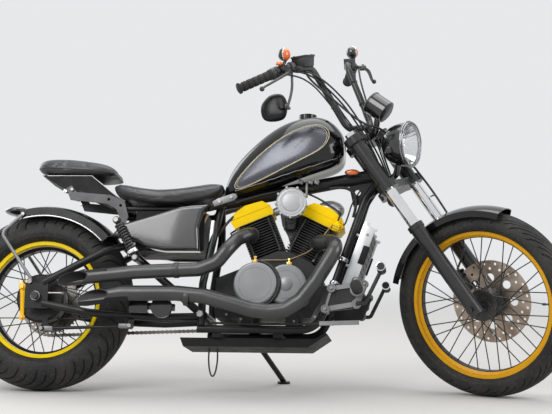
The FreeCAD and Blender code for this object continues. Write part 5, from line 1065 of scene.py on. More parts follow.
WIRE_TAN = Finish("tan sleeve", "hose_rubber", (0.30, 0.21, 0.12), (0.38, 0.27, 0.16), 0.5,
                  relief=Relief.RUBBER, grain=1500, depth=0.15, patch=40.0)
CORE_FINS = Finish("radiator fins", "radiator_alloy", (0.035, 0.036, 0.037), (0.07, 0.07, 0.072), 0.45,
                   metallic=0.4, relief=Relief.CAST, grain=900, depth=0.1)
SPRING_GREY = Finish("spring grey", "frame_paint", (0.05, 0.05, 0.052), (0.09, 0.09, 0.092), 0.3,
                     metallic=0.5, patch=40.0)
LAMP_GLASS = GlassFinish("lamp glass", "lamp_glass")
FRONT_RIM_PAINT = rim_paint("front rim paint", FRONT_WHEEL, FRONT_HUB, 236.0, 264.0, 14.0,
                            (0.76, 0.38, 0.012))
REAR_RIM_PAINT = rim_paint("rear rim paint", REAR_WHEEL, REAR_HUB, 200.0, 216.0, 30.0, (0.95, 0.68, 0.0))

FINISH_OF = {
    "front_rim": FRONT_RIM_PAINT, "rear_rim": REAR_RIM_PAINT,
    "rear_tyre": TYRE_RUBBER, "front_tyre": TYRE_RUBBER,
    "rear_hub": HUB_BLACK, "front_hub": HUB_BLACK, "brake_panel": ENGINE_BLACK,
    "rear_sprocket": CHAIN_STEEL, "front_sprocket": CHAIN_STEEL, "chain": CHAIN_STEEL,
    "rear_axle": BOLT_STEEL, "front_disc": DISC_STEEL, "fork_tubes": CHROME,
    "fork_sliders": FORK_BLACK, "fork_covers": FORK_BLACK, "fork_clamps": FORK_BLACK,
    "brake_caliper": FORK_BLACK, "front_fender": GLOSS_BLACK, "rear_fender": FENDER_BLACK,
    "fuel_tank": GLOSS_BLACK, "side_covers": COVER_BLACK, "mirror": GLOSS_BLACK,
    "handlebar": BAR_BLACK, "grips": GRIP_RUBBER, "hand_controls": CONTROL_BLACK,
    "foot_controls": CONTROL_DARK, "tail_brackets": BRACKET_GREY, "fender_stays": GREY_ALLOY,
    "turn_signals": LAMP_BLACK, "headlight": LAMP_BLACK, "instrument": LAMP_BLACK,
    "frame": SATIN_BLACK, "engine_cradle": SATIN_BLACK, "swingarm": SATIN_BLACK,
    "side_stand": SATIN_BLACK, "belly_pan": TRAY_PLASTIC, "spring_strut": SATIN_BLACK,
    "brake_arm": ARM_YELLOW, "rocker_covers": ROCKER_YELLOW, "crankcase": ENGINE_BLACK,
    "cylinders": ENGINE_BLACK, "engine_covers": COVER_GREY, "air_cleaner": AIR_GREY,
    "radiator": CORE_ALLOY, "exhaust_pipes": SOOTY_PIPE, "tail_tray": TRAY_PLASTIC,
    "inner_box": TRAY_PLASTIC, "tail_lamp": LAMP_RED, "solo_seat": SEAT_VINYL,
    "passenger_pad": SEAT_VINYL, "headlight_lens": LAMP_GLASS, "torque_rod": SATIN_BLACK,
    "brake_hose": HOSE_RUBBER, "drain_hose": HOSE_RUBBER,
}
PAINTS: dict[Paint, bpy.types.Material] = {}


# Studio

@dataclass
class Studio:
    """A plain pale floor, soft lights and the camera at the photograph's angle."""

    place: Point = (0.66766, -5.36061, 0.74513)
    azimuth: float = 6.663
    down: float = 0.821
    roll: float = 0.045
    lens: float = 94.58
    floor_size: float = 60.0
    floor_colour: Colour = (0.62, 0.61, 0.59)
    sky: Colour = (0.80, 0.81, 0.82)
    fade_from: float = 1.6
    fade_to: float = 5.5

    def build(self) -> None:
        """Makes the floor, the lights, the sky and the camera."""
        self.floor()
        self.world()
        self.light("key", (-2.2, -3.6, 3.9), (0.0, 0.0, 0.5), 3.2, 175.0)
        self.light("top", (0.4, 0.6, 4.2), (0.2, 0.0, 0.4), 4.0, 110.0)
        self.light("front rim", (4.2, -1.6, 2.2), (0.4, 0.0, 0.5), 2.4, 85.0)
        self.light("rear fill", (-3.8, 2.6, 2.4), (0.0, 0.0, 0.5), 2.6, 60.0)
        self.camera()

    def floor(self) -> None:
        """Lays the floor, marked as stage."""
        half = self.floor_size / 2
        mesh = bpy.data.meshes.new("floor")
        mesh.from_pydata([(-half, -half, 0), (half, -half, 0), (half, half, 0), (-half, half, 0)],
                         [], [(0, 1, 2, 3)])
        floor = linked("floor", mesh)
        material, tree, shader = new_material("pale floor")
        place = object_place(tree)
        pale = tuple(0.94 * part for part in self.floor_colour)
        colour = mixed(tree, noise(tree, place, 3.0, 4.0), pale, self.floor_colour)
        tree.links.new(colour, shader.inputs["Base Color"])
        shader.inputs["Roughness"].default_value = 0.8
        far = stretch(tree, vector_maths(tree, "LENGTH", place), self.fade_from, self.fade_to, 0.0, 1.0)
        rays = tree.nodes.new("ShaderNodeLightPath")
        seen = maths(tree, "MAXIMUM", rays.outputs["Is Camera Ray"], rays.outputs["Is Glossy Ray"])
        glow = tree.nodes.new("ShaderNodeEmission")
        glow.inputs["Color"].default_value = (*self.sky, 1.0)
        blend = tree.nodes.new("ShaderNodeMixShader")
        tree.links.new(maths(tree, "MULTIPLY", far, seen), blend.inputs[0])
        tree.links.new(shader.outputs[0], blend.inputs[1])
        tree.links.new(glow.outputs[0], blend.inputs[2])
        tree.links.new(blend.outputs[0], tree.nodes["Material Output"].inputs["Surface"])
        mesh.materials.append(material)
        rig.stage(floor)

    def world(self) -> None:
        """Lights the air evenly, and shows it paler to the camera and in gloss."""
        world = bpy.data.worlds.new("studio air")
        bpy.context.scene.world = world
        world.use_nodes = True
        tree = world.node_tree
        back = tree.nodes["Background"]
        back.inputs["Color"].default_value = (*self.sky, 1.0)
        rays = tree.nodes.new("ShaderNodeLightPath")
        seen = maths(tree, "MAXIMUM", rays.outputs["Is Camera Ray"], rays.outputs["Is Transmission Ray"])
        seen = maths(tree, "MAXIMUM", seen, rays.outputs["Is Glossy Ray"])
        strength = stretch(tree, seen, 0.0, 1.0, 0.5, 1.0)
        tree.links.new(strength, back.inputs["Strength"])

    def light(self, name: str, place: Point, target: Point, size: float, power: float) -> None:
        """Hangs one soft square light that faces a target."""
        data = bpy.data.lights.new(name, "AREA")
        data.size = size
        data.energy = power
        lamp = linked(name, data)
        lamp.location = place
        lamp.rotation_euler = (Vector(target) - Vector(place)).to_track_quat("-Z", "Y").to_euler()

    def camera(self) -> None:
        """Sets the camera up at the photograph's angle."""
        data = bpy.data.cameras.new("camera")
        data.lens = self.lens
        data.sensor_width = 36.0
        data.clip_end = 200.0
        camera = linked("camera", data)
        camera.location = self.place
        camera.rotation_euler = (math.radians(90 - self.down), math.radians(-self.roll),
                                 math.radians(self.azimuth))
        bpy.context.scene.camera = camera
        bpy.context.scene.view_settings.view_transform = "Standard"


# Wheels

@dataclass
class Tyre:
    """A road tyre with slanted shoulder grooves, ribbed side walls and, if it has one, a centre groove."""

    node: str
    axes: Axes
    hub: Vector
    radius: float
    half: float
    foot: float
    bead: float
    base: float
    pitches: int
    groove_from: float
    groove_to: float
    slant: float
    groove_depth: float = 5.0
    centre_groove: float = 0.0

    def profile(self) -> list[tuple[float, float, float]]:
        """Returns radius, side and crown angle in degrees of each point, from bead to bead."""
        wide = self.radius - self.half
        side = []
        middle_radius = self.foot + (wide - self.foot) * 0.35
        middle_side = self.bead + (self.half - self.bead) * 0.69
        for step in range(9):
            t = step / 9
            a, b, c = (1 - t) ** 2, 2 * t * (1 - t), t * t
            via_radius = 2 * middle_radius - (self.foot + wide) / 2
            via_side = 2 * middle_side - (self.bead + self.half) / 2
            side.append((a * self.foot + b * via_radius + c * wide,
                         a * self.bead + b * via_side + c * self.half, 90.0))
        ribs = {1: 0.9, 2: -0.4, 6: 0.8, 7: -0.6}
        side = [(r, s + ribs.get(k, 0.0), angle) for k, (r, s, angle) in enumerate(side)]
        crown = []
        for step in range(49):
            angle = 90 - step * 180 / 48
            turn = math.radians(angle)
            crown.append((wide + self.half * math.cos(turn), self.half * math.sin(turn), angle))
        other = [(r, -s, -angle) for r, s, angle in reversed(side)]
        return ([(self.base, self.bead, 90.0)] + side + crown + other + [(self.base, -self.bead, -90.0)])

    def sweep(self, angle: float) -> float:
        """Returns how far round, in pitches, a groove has swept at a crown angle."""
        share = min(max((abs(angle) - self.groove_from) / (90 - self.groove_from), 0.0), 1.0)
        curve = self.slant * (share + 0.35 * math.sin(share * math.pi))
        stagger = 0.25 * max(-1.0, min(1.0, angle / self.groove_from))
        return curve + stagger

    def mask(self, angle: float, long_one: bool) -> float:
        """Returns the share of a groove's full depth at a crown angle."""
        start = self.groove_from if long_one else self.groove_from + 14
        end = self.groove_to if long_one else self.groove_to - 12
        lead = min(max((abs(angle) - start) / 6, 0.0), 1.0)
        tail = min(max((end - abs(angle)) / 8, 0.0), 1.0)
        return lead * tail

    def build(self) -> bpy.types.Object:
        """Makes the tyre from columns that follow its grooves."""
        columns = ((0.0, 0, False), (0.035, 1, False), (0.095, 1, False), (0.13, 0, False),
                   (0.33, 0, False), (0.5, 0, True), (0.53, 1, True), (0.575, 1, True),
                   (0.605, 0, True), (0.80, 0, False))
        rows = []
        for radius, side, angle in self.profile():
            row = []
            for pitch in range(self.pitches):
                for share, cut, short in columns:
                    place = TURN * (pitch + share + self.sweep(angle)) / self.pitches
                    depth = cut * self.groove_depth * self.mask(angle, not short)
                    if abs(angle) < 4 and self.centre_groove:
                        depth = max(depth, self.centre_groove)
                    wide = self.radius - self.half
                    out = Vector((radius - wide, side)) if radius > wide else Vector((0, 0))
                    inward = out.normalized() * depth if out.length > 0 else out
                    reach = radius - inward[0]
                    row.append((reach * math.cos(place), side - inward[1], reach * math.sin(place)))
            rows.append(row)
        shell = Shell(self.axes)
        shell.grid(np.array(rows) + np.array(self.hub), True)
        tyre = shell.piece(self.node + "_tread", TYRE_RUBBER, angle=28.0)
        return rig.replaces(tyre, self.node)


@dataclass
class Wheel:
    """What a wheel carries besides its packed rim and spokes: tyre, nipples and valve."""

    tyre: Tyre
    rim_radius: float
    spokes: int
    well_side: float

    def build(self) -> None:
        """Makes the tyre, the spoke nipples and the valve."""
        tyre = self.tyre
        tyre.build()
        nipples = Fasteners(tyre.axes.body + "_nipples", tyre.axes, BOLT_BLACK)
        ring = Repeat(Layout.RING, Fitting.CONE, self.spokes, self.rim_radius, (3.6, 3.0, 9.0),
                      sides=8, outward=True)
        nipples.add(ring, facing(tyre.hub, LEFT, AHEAD))
        nipples.piece()
        valve = Shell(tyre.axes)
        foot = tyre.hub + at(self.rim_radius + 2, self.well_side, 0)
        inward = at(-1, 0, 0)
        path = [foot, foot + inward * 22, foot + inward * 23, foot + inward * 34]
        valve.tube(path, [3.2, 3.0, 4.4, 4.2], 12)
        valve.piece(tyre.axes.body + "_valve", GRIP_RUBBER)


def front_tyre() -> Tyre:
    """Returns the front tyre."""
    return Tyre("front_tyre", FRONT_WHEEL, FRONT_HUB, FRONT_RADIUS, 52.0, 262.3, 28.7,
                255.3, pitches=26, groove_from=14.0, groove_to=74.0, slant=1.9, groove_depth=4.5,
                centre_groove=2.5)


def rear_tyre() -> Tyre:
    """Returns the rear tyre."""
    return Tyre("rear_tyre", REAR_WHEEL, REAR_HUB, 326.5, 83.0, 214.3, 49.7, 205.3,
                pitches=24, groove_from=9.0, groove_to=80.0, slant=1.2, groove_depth=5.5,
                centre_groove=0.0)


# Lines and surfaces

def smooth_line(points: list[Vector], closed: bool = False) -> list[Vector]:
    """Returns the smooth line that a row of control points gives.

    Args:
        points: the control points of a NURBS spline.
        closed: whether the line runs back to its start.

    Returns:
        The points of the line, in order.
    """
    data = bpy.data.curves.new("line", "CURVE")
    data.dimensions = "3D"
    spline = data.splines.new("NURBS")
    spline.points.add(len(points) - 1)
    for place, point in zip(spline.points, points):
        place.co = (*point, 1.0)
    spline.order_u = 3
    spline.use_endpoint_u = not closed
    spline.use_cyclic_u = closed
    spline.resolution_u = 8
    mesh = plain_mesh(linked("line", data), "line")
    line = [vertex.co.copy() for vertex in mesh.vertices]
    bpy.data.meshes.remove(mesh)
    return line


def surface_of(mesh: bpy.types.Mesh, axes: Axes) -> BVHTree:
    """Returns a mesh's surface in a body's own millimetres, for casting rays."""
    back = axes.matrix.inverted()
    points = [back @ vertex.co for vertex in mesh.vertices]
    return BVHTree.FromPolygons(points, [tuple(face.vertices) for face in mesh.polygons])


def laid_on(surface: BVHTree, starts: list[Vector], towards: Vector, lift: float) -> list[Vector]:
    """Returns where rays meet a surface, lifted off it, leaving out rays that miss."""
    found = []
    for start in starts:
        place, normal, _, _ = surface.ray_cast(start, towards)
        if place is not None:
            facing_back = normal if normal.dot(towards) < 0 else -normal
            found.append(place + facing_back * lift)
    return found


def cut_line(mesh: bpy.types.Mesh, axes: Axes, place: Vector, normal: Vector) -> list[Vector]:
    """Returns the loop in which a plane cuts a closed mesh.

    Args:
        mesh: the mesh in the row frame.
        axes: the directions of its body.
        place: a point of the plane, in the body's millimetres.
        normal: the plane's normal, in the body's directions.

    Returns:
        The longest loop's points in order, in the body's millimetres.
    """
    work = bmesh.new()
    work.from_mesh(mesh)
    bmesh.ops.transform(work, matrix=axes.matrix.inverted(), verts=work.verts)
    everything = work.verts[:] + work.edges[:] + work.faces[:]
    result = bmesh.ops.bisect_plane(work, geom=everything, plane_co=place, plane_no=normal)
    edges = [item for item in result["geom_cut"] if isinstance(item, bmesh.types.BMEdge)]
    loops = []
    while edges:
        edge = edges.pop()
        chain = [edge.verts[0], edge.verts[1]]
        while True:
            following = [item for item in chain[-1].link_edges if item in edges]
            if not following:
                break
            edges.remove(following[0])
            chain.append(following[0].other_vert(chain[-1]))
        loops.append([vert.co.copy() for vert in chain])
    work.free()
    longest = max(loops, key=len)
    return longest[:-1] if (longest[0] - longest[-1]).length < 0.01 else longest


def even_line(points: list[Vector], step: float, closed: bool = True) -> list[Vector]:
    """Returns points a step apart along a line."""
    ring = points + points[:1] if closed else points
    lengths = np.cumsum([0.0] + [(b - a).length for a, b in zip(ring, ring[1:])])
    count = max(int(lengths[-1] / step), 3)
    marks = np.linspace(0, lengths[-1], count, endpoint=not closed)
    columns = [np.interp(marks, lengths, [p[k] for p in ring]) for k in range(3)]
    return [Vector(place) for place in zip(*columns)]


# Cushions

@dataclass
class Seam:
    """A sewn line where a plane cuts a cushion, with piping in it and stitches beside it."""

    place: Point
    normal: Point
    piping: float = 2.2
    step: float = 7.0
    stitch_off: float = 4.5


@dataclass
class Cushion:
    """A vinyl cushion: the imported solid, swollen by pressure, then sewn."""

    node: str
    base: float
    seam: Seam | None = None
    edge_span: tuple[float, float] = (0.0, 0.0)
    edge_share: float = 0.0
    edge_radius: float = 1.6
    stitch_step: float = 6.0
    stitch_size: Point = (3.6, 0.9, 0.9)
    voxel: float = 5.0
    slim: float = 3.0
    cap: float = 7.0
    pressure: float = 4.0
    fill: float = 0.75

    def build(self) -> bpy.types.Object:
        """Makes the swollen cushion, its piping and its stitches."""
        skin = self.shaped()
        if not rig.quick():
            skin = self.swollen(skin)
        round_off = skin.modifiers.new("finer", "SUBSURF")
        round_off.levels = 1
        round_off.render_levels = 1
        mesh = plain_mesh(skin, self.node + "_skin")
        cushion = riding(mesh, self.node + "_cushion", CHASSIS.body, SEAT_VINYL, angle=180.0)
        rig.replaces(cushion, self.node)
        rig.padded(cushion, fill=self.fill)
        self.sew(cushion.data)
        return cushion

    def shaped(self) -> bpy.types.Object:
        """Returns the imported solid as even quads, a little slimmer than it was."""
        copy = linked(self.node + "_form", frame["nodes"][self.node].data.copy())
        outward(copy.data)
        remesh = copy.modifiers.new("even", "REMESH")
        remesh.mode = "VOXEL"
        remesh.voxel_size = self.voxel * MM
        relax = copy.modifiers.new("relax", "SMOOTH")
        relax.factor = 0.5
        relax.iterations = 6
        slim = copy.modifiers.new("slim", "DISPLACE")
        slim.mid_level = 0.0
        slim.strength = -self.slim * MM
        return linked(self.node + "_even", plain_mesh(copy, self.node + "_even"))

    def swollen(self, skin: bpy.types.Object) -> bpy.types.Object:
        """Returns the skin blown up by cloth pressure, its foot held, each point's move capped."""
        before = np.zeros(len(skin.data.vertices) * 3)
        skin.data.vertices.foreach_get("co", before)
        before = before.reshape(-1, 3)
        heights = [(CHASSIS.matrix.inverted() @ vertex.co).z for vertex in skin.data.vertices]
        held = skin.vertex_groups.new(name="held")
        held.add([k for k, height in enumerate(heights) if height < self.base + 7], 1.0, "REPLACE")
        cloth = skin.modifiers.new("cloth", "CLOTH")
        cloth.settings.quality = 5
        cloth.settings.use_pressure = True
        cloth.settings.uniform_pressure_force = self.pressure
        cloth.settings.effector_weights.gravity = 0.0
        cloth.settings.vertex_group_mass = "held"
        cloth.settings.tension_stiffness = 25.0
        cloth.settings.bending_stiffness = 1.5
        cloth.point_cache.frame_start = 1
        cloth.point_cache.frame_end = 20
        for number in range(1, 21):
            bpy.context.scene.frame_set(number)
        mesh = plain_mesh(skin, self.node + "_swollen")
        bpy.context.scene.frame_set(1)
        after = np.zeros(len(mesh.vertices) * 3)
        mesh.vertices.foreach_get("co", after)
        moved = after.reshape(-1, 3) - before
        lengths = np.linalg.norm(moved, axis=1, keepdims=True)
        capped = moved * np.minimum(1.0, self.cap * MM / np.maximum(lengths, 1e-9))
        mesh.vertices.foreach_set("co", (before + capped).ravel())
        mesh.update()
        return linked(self.node + "_blown", mesh)

    def edge_line(self, surface: BVHTree, hand: int, share: float) -> list[Vector]:
        """Returns a line along one side of the cushion at a share of its height.

        Args:
            surface: the cushion's skin.
            hand: 1 on the left and -1 on the right.
            share: the height, from 0 at the foot to 1 on the crown.
        """
        line = []
        for along in np.linspace(*self.edge_span, 60):
            crown = surface.ray_cast(at(along, 0, 2000), at(0, 0, -1))[0]
            foot = surface.ray_cast(at(along, 0, 0), UP)[0]
            if crown is None or foot is None:
                continue
            height = foot.z + (crown.z - foot.z) * share
            line += laid_on(surface, [at(along, hand * 400, height)], at(0, -hand, 0), 0.0)
        return line

    def stitched(self, thread: Fasteners, line: list[Vector], step: float, closed: bool) -> None:
        """Adds stitches a step apart along a line.

        Args:
            thread: the set of stitches that they join.
            line: where they lie.
            step: from one to the next, in millimetres.
            closed: whether the line is a loop.
        """
        after = line[1:] + line[:1] if closed else line[1:]
        length = sum((b - a).length for a, b in zip(line, after))
        stitch = Repeat(Layout.PATH, Fitting.BLOCK, int(length / step), 0.0, self.stitch_size, lift=-0.45)
        thread.add(stitch, Matrix.Identity(4), line, closed=closed)

    def sew(self, mesh: bpy.types.Mesh) -> None:
        """Lays piping and stitches along both upper edges, or along the seam."""
        piping = Shell(CHASSIS)
        thread = Fasteners(self.node + "_stitches", CHASSIS, THREAD)
        surface = surface_of(mesh, CHASSIS)
        if self.seam is None:
            for hand in (-1, 1):
                line = self.edge_line(surface, hand, self.edge_share)
                piping.tube(line, self.edge_radius, 8)
                below = self.edge_line(surface, hand, self.edge_share - 0.055)
                self.stitched(thread, below, self.stitch_step, False)
        else:
            seam = self.seam
            normal = Vector(seam.normal).normalized()
            loop = even_line(cut_line(mesh, CHASSIS, Vector(seam.place), normal), seam.step)
            piping.tube(loop + loop[:2], seam.piping, 8)
            line = [surface.find_nearest(point - normal * seam.stitch_off)[0] for point in loop]
            self.stitched(thread, line, self.stitch_step, True)
        piping.piece(self.node + "_piping", SEAT_VINYL, angle=80.0)
        thread.piece()


def solo_seat() -> Cushion:
    """Returns the solo seat, with a panel seam along each upper edge."""
    return Cushion("solo_seat", 668.0, edge_span=(270.0, 630.0), edge_share=0.78)


def passenger_pad() -> Cushion:
    """Returns the passenger pad, with a seam all round."""
    return Cushion("passenger_pad", 781.0, Seam((104.0, 0.0, 803.0), (0.08, 0.0, 1.0)),
                   stitch_size=(3.72, 0.9, 0.9))


# Bars, lamps and cables

def bar_corners(hand: int) -> list[Vector]:
    """Returns the corners of one half of the handlebar, from its middle to its end."""
    base = fork_point(786.0, 0.0)
    steps = ((0.0, 95.0, 0.0), (-112.0, 137.5, 237.0), (-142.0, 250.0, 237.0), (-252.0, 405.0, 175.0))
    return [base + at(along, hand * side, up) for along, side, up in steps]


@dataclass
class Grip:
    """A ringed rubber grip with a flange at each end, on one end of the bar."""

    hand: int
    length: float = 128.0
    bore: float = 12.3
    rings: int = 5

    def build(self, shell: Shell) -> None:
        """Turns the grip about the bar's end."""
        corners = bar_corners(self.hand)
        outwards = (corners[3] - corners[2]).normalized()
        profile = [(self.bore, -self.length), (19.5, -self.length), (19.5, -self.length + 6),
                   (16.6, -self.length + 8)]
        step = (self.length - 18) / self.rings
        for index in range(self.rings):
            start = -self.length + 12 + index * step
            profile += [(17.2, start), (17.4, start + 2), (17.2, start + step - 7),
                        (14.2, start + step - 5), (14.2, start + step - 2)]
        profile += [(17.0, -3.0), (20.0, -1.0), (20.0, 4.0), (16.0, 6.0), (0.0, 6.0), (0.0, 0.6),
                    (self.bore, 0.6)]
        shell.lathe(corners[3], profile, 40, outwards)


@dataclass
class HandControl:
    """The switch barrel, clamp, perch and lever beside one grip."""

    hand: int
    barrel: float = 21.0
    lever_ball: float = 9.0

    def build(self, shell: Shell, bolts: Fasteners) -> None:
        """Makes the barrel, the perch and the lever."""
        corners = bar_corners(self.hand)
        outwards = (corners[3] - corners[2]).normalized()
        root = corners[3] - outwards * 128.3
        edge = self.barrel
        profile = [(12.3, -34.0), (edge - 3, -34.0), (edge, -31.0), (edge, -18.5), (edge - 1.6, -17.8),
                   (edge - 1.6, -16.6), (edge, -16.0), (edge, -3.0), (edge - 3, 0.0), (12.3, 0.0)]
        shell.lathe(root, profile, 36, outwards)
        clamp = root - outwards * 46
        shell.lathe(clamp, [(12.3, -7), (18, -7), (19, -5), (19, 5), (18, 7), (12.3, 7)], 28, outwards)
        pivot = at(1034.0, self.hand * 288.0, 1196.6)
        behind = clamp + at(8, 0, 0)
        shell.tube([behind, behind.lerp(pivot, 0.5), pivot], [11.0, 9.0, 11.0], 14, flat=(UP, 0.8))
        shell.lathe(pivot, [(0, -9.5), (11, -9.5), (12, -8), (12, 8), (11, 9.5), (0, 9.5)], 24, UP)
        bolts.hexagons(pivot + at(0, 0, 10.5), UP, 5.0, 4.0)
        tip = at(1007.0, self.hand * 428.0, 1142.0)
        way = (tip - pivot).normalized()
        ahead = at(1, 0, 0.1)
        line = smooth_line([pivot - way * 8, pivot + way * 22 + ahead * 12, pivot.lerp(tip, 0.4) + ahead * 9,
                            pivot.lerp(tip, 0.75), tip - ahead * 6, tip])
        widths = np.interp(np.linspace(0, 1, len(line)), (0, 0.15, 0.6, 0.9, 1), (8.5, 8.0, 6.2, 5.4, 6.0))
        shell.tube(line, list(widths), 14, flat=(UP, 0.62))
        shell.ball(tip, self.lever_ball)
        switch = root - outwards * 17 + at(-edge * 0.72, 0, edge * 0.6)
        shell.ball(switch, 5.5)
        shell.ball(switch - outwards * 9 + at(-2, 0, -9), 4.0)


@dataclass
class BrakeMaster:
    """The front brake's fluid cylinder: a lidded reservoir on a clamp, and its banjo bolt."""

    low: Vector = at(1012.0, -226.0, 1206.0)
    size: Vector = at(56.0, 66.0, 34.0)
    lid: float = 7.0

    def build(self, shell: Shell, bolts: Fasteners) -> None:
        """Makes the reservoir, its lid and screws, and the cylinder under it."""
        low, size = self.low, self.size
        lean = at(4, 0, 0)
        shell.box(low, at(size.x, 0, 5), at(0, size.y, 0), at(0, 0, size.z) + lean)
        top = low + at(-2, -2, size.z + 0.2) + lean
        shell.box(top, at(size.x + 4, 0, 5), at(0, size.y + 4, 0), at(0, 0, self.lid))
        for along, side in ((0.14, 0.12), (0.86, 0.88)):
            spot = top + at(along * (size.x + 4), side * (size.y + 4), self.lid + 0.8 + along * 5)
            bolts.add(Repeat(Layout.ROW, Fitting.CONE, 1, 0.0, (3.4, 3.0, 1.8), sides=16), facing(spot, UP))
        bore = low + at(size.x * 0.72, -22, -4)
        shell.tube([bore, bore + at(0, size.y + 26, 2)], 12.5, 20)
        banjo = low + at(size.x * 0.62, size.y + 8, -6)
        bolts.hexagons(banjo + at(0, 9, 0), LEFT, 7.0, 6.0)


@dataclass
class TurnSignal:
    """A round signal on a stem: a black bowl, a chrome ring and a ribbed amber dome that faces ahead."""

    hand: int
    centre: Point = (1008.0, 259.0, 1258.0)
    radius: float = 24.0

    def build(self, shell: Shell, rings: Shell, lenses: Shell) -> None:
        """Makes the bowl with its stem, the ring and the dome."""
        centre = at(self.centre[0], self.hand * self.centre[1], self.centre[2])
        ahead = Vector((1, 0.12, 0) if self.hand < 0 else (0.5, 0.85, 0)).normalized()
        reach = self.radius
        bowl = [(0.0, -reach)]
        bowl += [(reach * math.sin(turn), -reach * math.cos(turn))
                 for turn in np.linspace(0.2, math.pi / 2, 9)]
        bowl += [(reach, 2.0), (reach - 2, 2.0), (0.0, 2.0)]
        shell.lathe(centre, bowl, 40, ahead)
        ring = [(reach - 3, 1.0), (reach + 0.6, 1.0), (reach + 1.2, 2.5), (reach + 0.6, 4.5),
                (reach - 3, 4.5)]
        rings.lathe(centre, ring, 48, ahead)
        dome = [(0.0, 4.6), (reach - 2.2, 4.6)]
        dome += [((reach - 2.2) * math.cos(turn), 4.6 + 15.5 * math.sin(turn))
                 for turn in np.linspace(0.12, math.pi / 2, 10)]
        lenses.lathe(centre, dome, 40, ahead)
        corners = bar_corners(self.hand)
        foot = corners[2].lerp(corners[3], 0.12)
        shell.strand([foot + UP * 8, foot + at(2, 0, 18), centre - at(2, 0, reach + 6),
                      centre - UP * (reach - 3)], 6.0, 16)
        shell.lathe(foot + at(0, 0, 15), [(0, -4), (9, -4), (10, -2), (10, 3), (8, 5), (0, 5)], 24, UP)


@dataclass
class Mirror:
    """A rounded six-cornered mirror head hung below the bar on a bent stalk."""

    hang: Vector = at(1016.4, -234.3, 1211.8)
    centre: Vector = at(946.0, -247.0, 1072.0)
    half_width: float = 58.0
    half_height: float = 49.0
    turn: float = math.radians(24.0)

    def ring(self, share: float, depth: float) -> list[Vector]:
        """Returns the head's outline, scaled by a share and moved along its facing."""
        facing_way = at(math.cos(self.turn), -math.sin(self.turn), 0.06).normalized()
        beside = facing_way.cross(UP).normalized()
        up = beside.cross(facing_way)
        line = smooth_line([at(x, y, 0) for x, y in (
            (-1.0, 0.2), (-0.74, -0.8), (-0.2, -1.0), (0.7, -0.95), (0.99, -0.56), (0.99, 0.19),
            (0.58, 0.66), (0.16, 0.98), (-0.69, 1.0))], closed=True)
        wide = max(abs(point.x) for point in line)
        high = max(abs(point.y) for point in line)
        return [self.centre + facing_way * depth + beside * (point.x / wide * self.half_width * share)
                + up * (point.y / high * self.half_height * share) for point in line]

    def build(self) -> None:
        """Makes the head, its glass, the stalk and the stalk's clamp."""
        shell = Shell(STEERED)
        steps = ((0.90, -7.0), (1.0, -7.5), (1.02, -4.0), (1.0, 2.0), (0.93, 7.0), (0.74, 11.0),
                 (0.4, 13.0), (0.0, 13.5))
        rows = [self.ring(share, depth) for share, depth in steps]
        rows = [[tuple(point) for point in row] for row in [self.ring(0.0, -6.0)] + rows]
        shell.grid(np.array(rows), False)
        head = shell.piece("mirror_head", FENDER_BLACK, angle=40.0)
        glass = Shell(STEERED)
        rows = [self.ring(share, depth) for share, depth in
                ((0.0, -6.4), (0.89, -6.4), (0.895, -6.9), (0.885, -7.4), (0.0, -7.6))]
        glass.grid(np.array([[tuple(point) for point in row] for row in rows]), False)
        glass.piece("mirror_glass_plate", MIRROR_GLASS, angle=40.0)
        stalk = Shell(STEERED)
        back = self.centre + at(27, 34, 2)
        stalk.strand([self.hang + at(0, 0, -8), self.hang + at(2, 0, -50),
                      self.hang + at(-6, -2, -98), self.hang + at(-26, -6, -146),
                      back + at(16, 4, -8), back], 5.0, 16)
        stalk.ball(back, 10.0)
        stalk.lathe(self.hang, [(12.4, -9), (18, -9), (19.5, -7), (19.5, 7), (18, 9), (12.4, 9)], 28,
                    at(-0.25, -0.97, 0).normalized())
        stalk.piece("mirror_stalk", STALK_GREY)
        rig.replaces(head, "mirror")


class Handlebars:
    """What the handlebar carries."""

    def build(self) -> None:
        """Makes the grips, hand controls, signals, mirror and the brake master."""
        rubber = Shell(STEERED)
        black = Shell(STEERED)
        bowls = Shell(STEERED)
        rings = Shell(STEERED)
        lenses = Shell(STEERED)
        bolts = Fasteners("bar_bolts", STEERED, BOLT_BLACK)
        for hand in (-1, 1):
            Grip(hand).build(rubber)
            HandControl(hand).build(black, bolts)
            TurnSignal(hand).build(bowls, rings, lenses)
        BrakeMaster().build(black, bolts)
        self.switch_box(black)
        lenses.ellipsoid(at(1000.0, -288.0, 1227.0), at(14, 9, 7))
        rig.replaces(rubber.piece("ringed_grips", GRIP_RUBBER), "grips")
        controls = black.piece("levers_and_switches", CONTROL_BLACK, bevel=1.6)
        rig.replaces(controls, "hand_controls")
        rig.replaces(bowls.piece("signal_bowls", LAMP_BLACK), "turn_signals")
        rings.piece("signal_rings", CHROME)
        lenses.piece("signal_lenses", AMBER)
        bolts.piece()
        Mirror().build()

    def switch_box(self, shell: Shell) -> None:
        """Adds the switch block on the left of the bar and the clutch cable's adjuster."""
        corners = bar_corners(1)
        middle = corners[1].lerp(corners[2], 0.5)
        shell.box(middle + at(-16, -17, -17), at(34, 0, 0), at(0, 30, 0), at(0, 0, 40))
        adjuster = at(1040.0, 276.0, 1198.0)
        shell.tube([adjuster, adjuster + at(6, -30, 2), adjuster + at(8, -44, 2)], [6.5, 6.0, 4.0], 14)


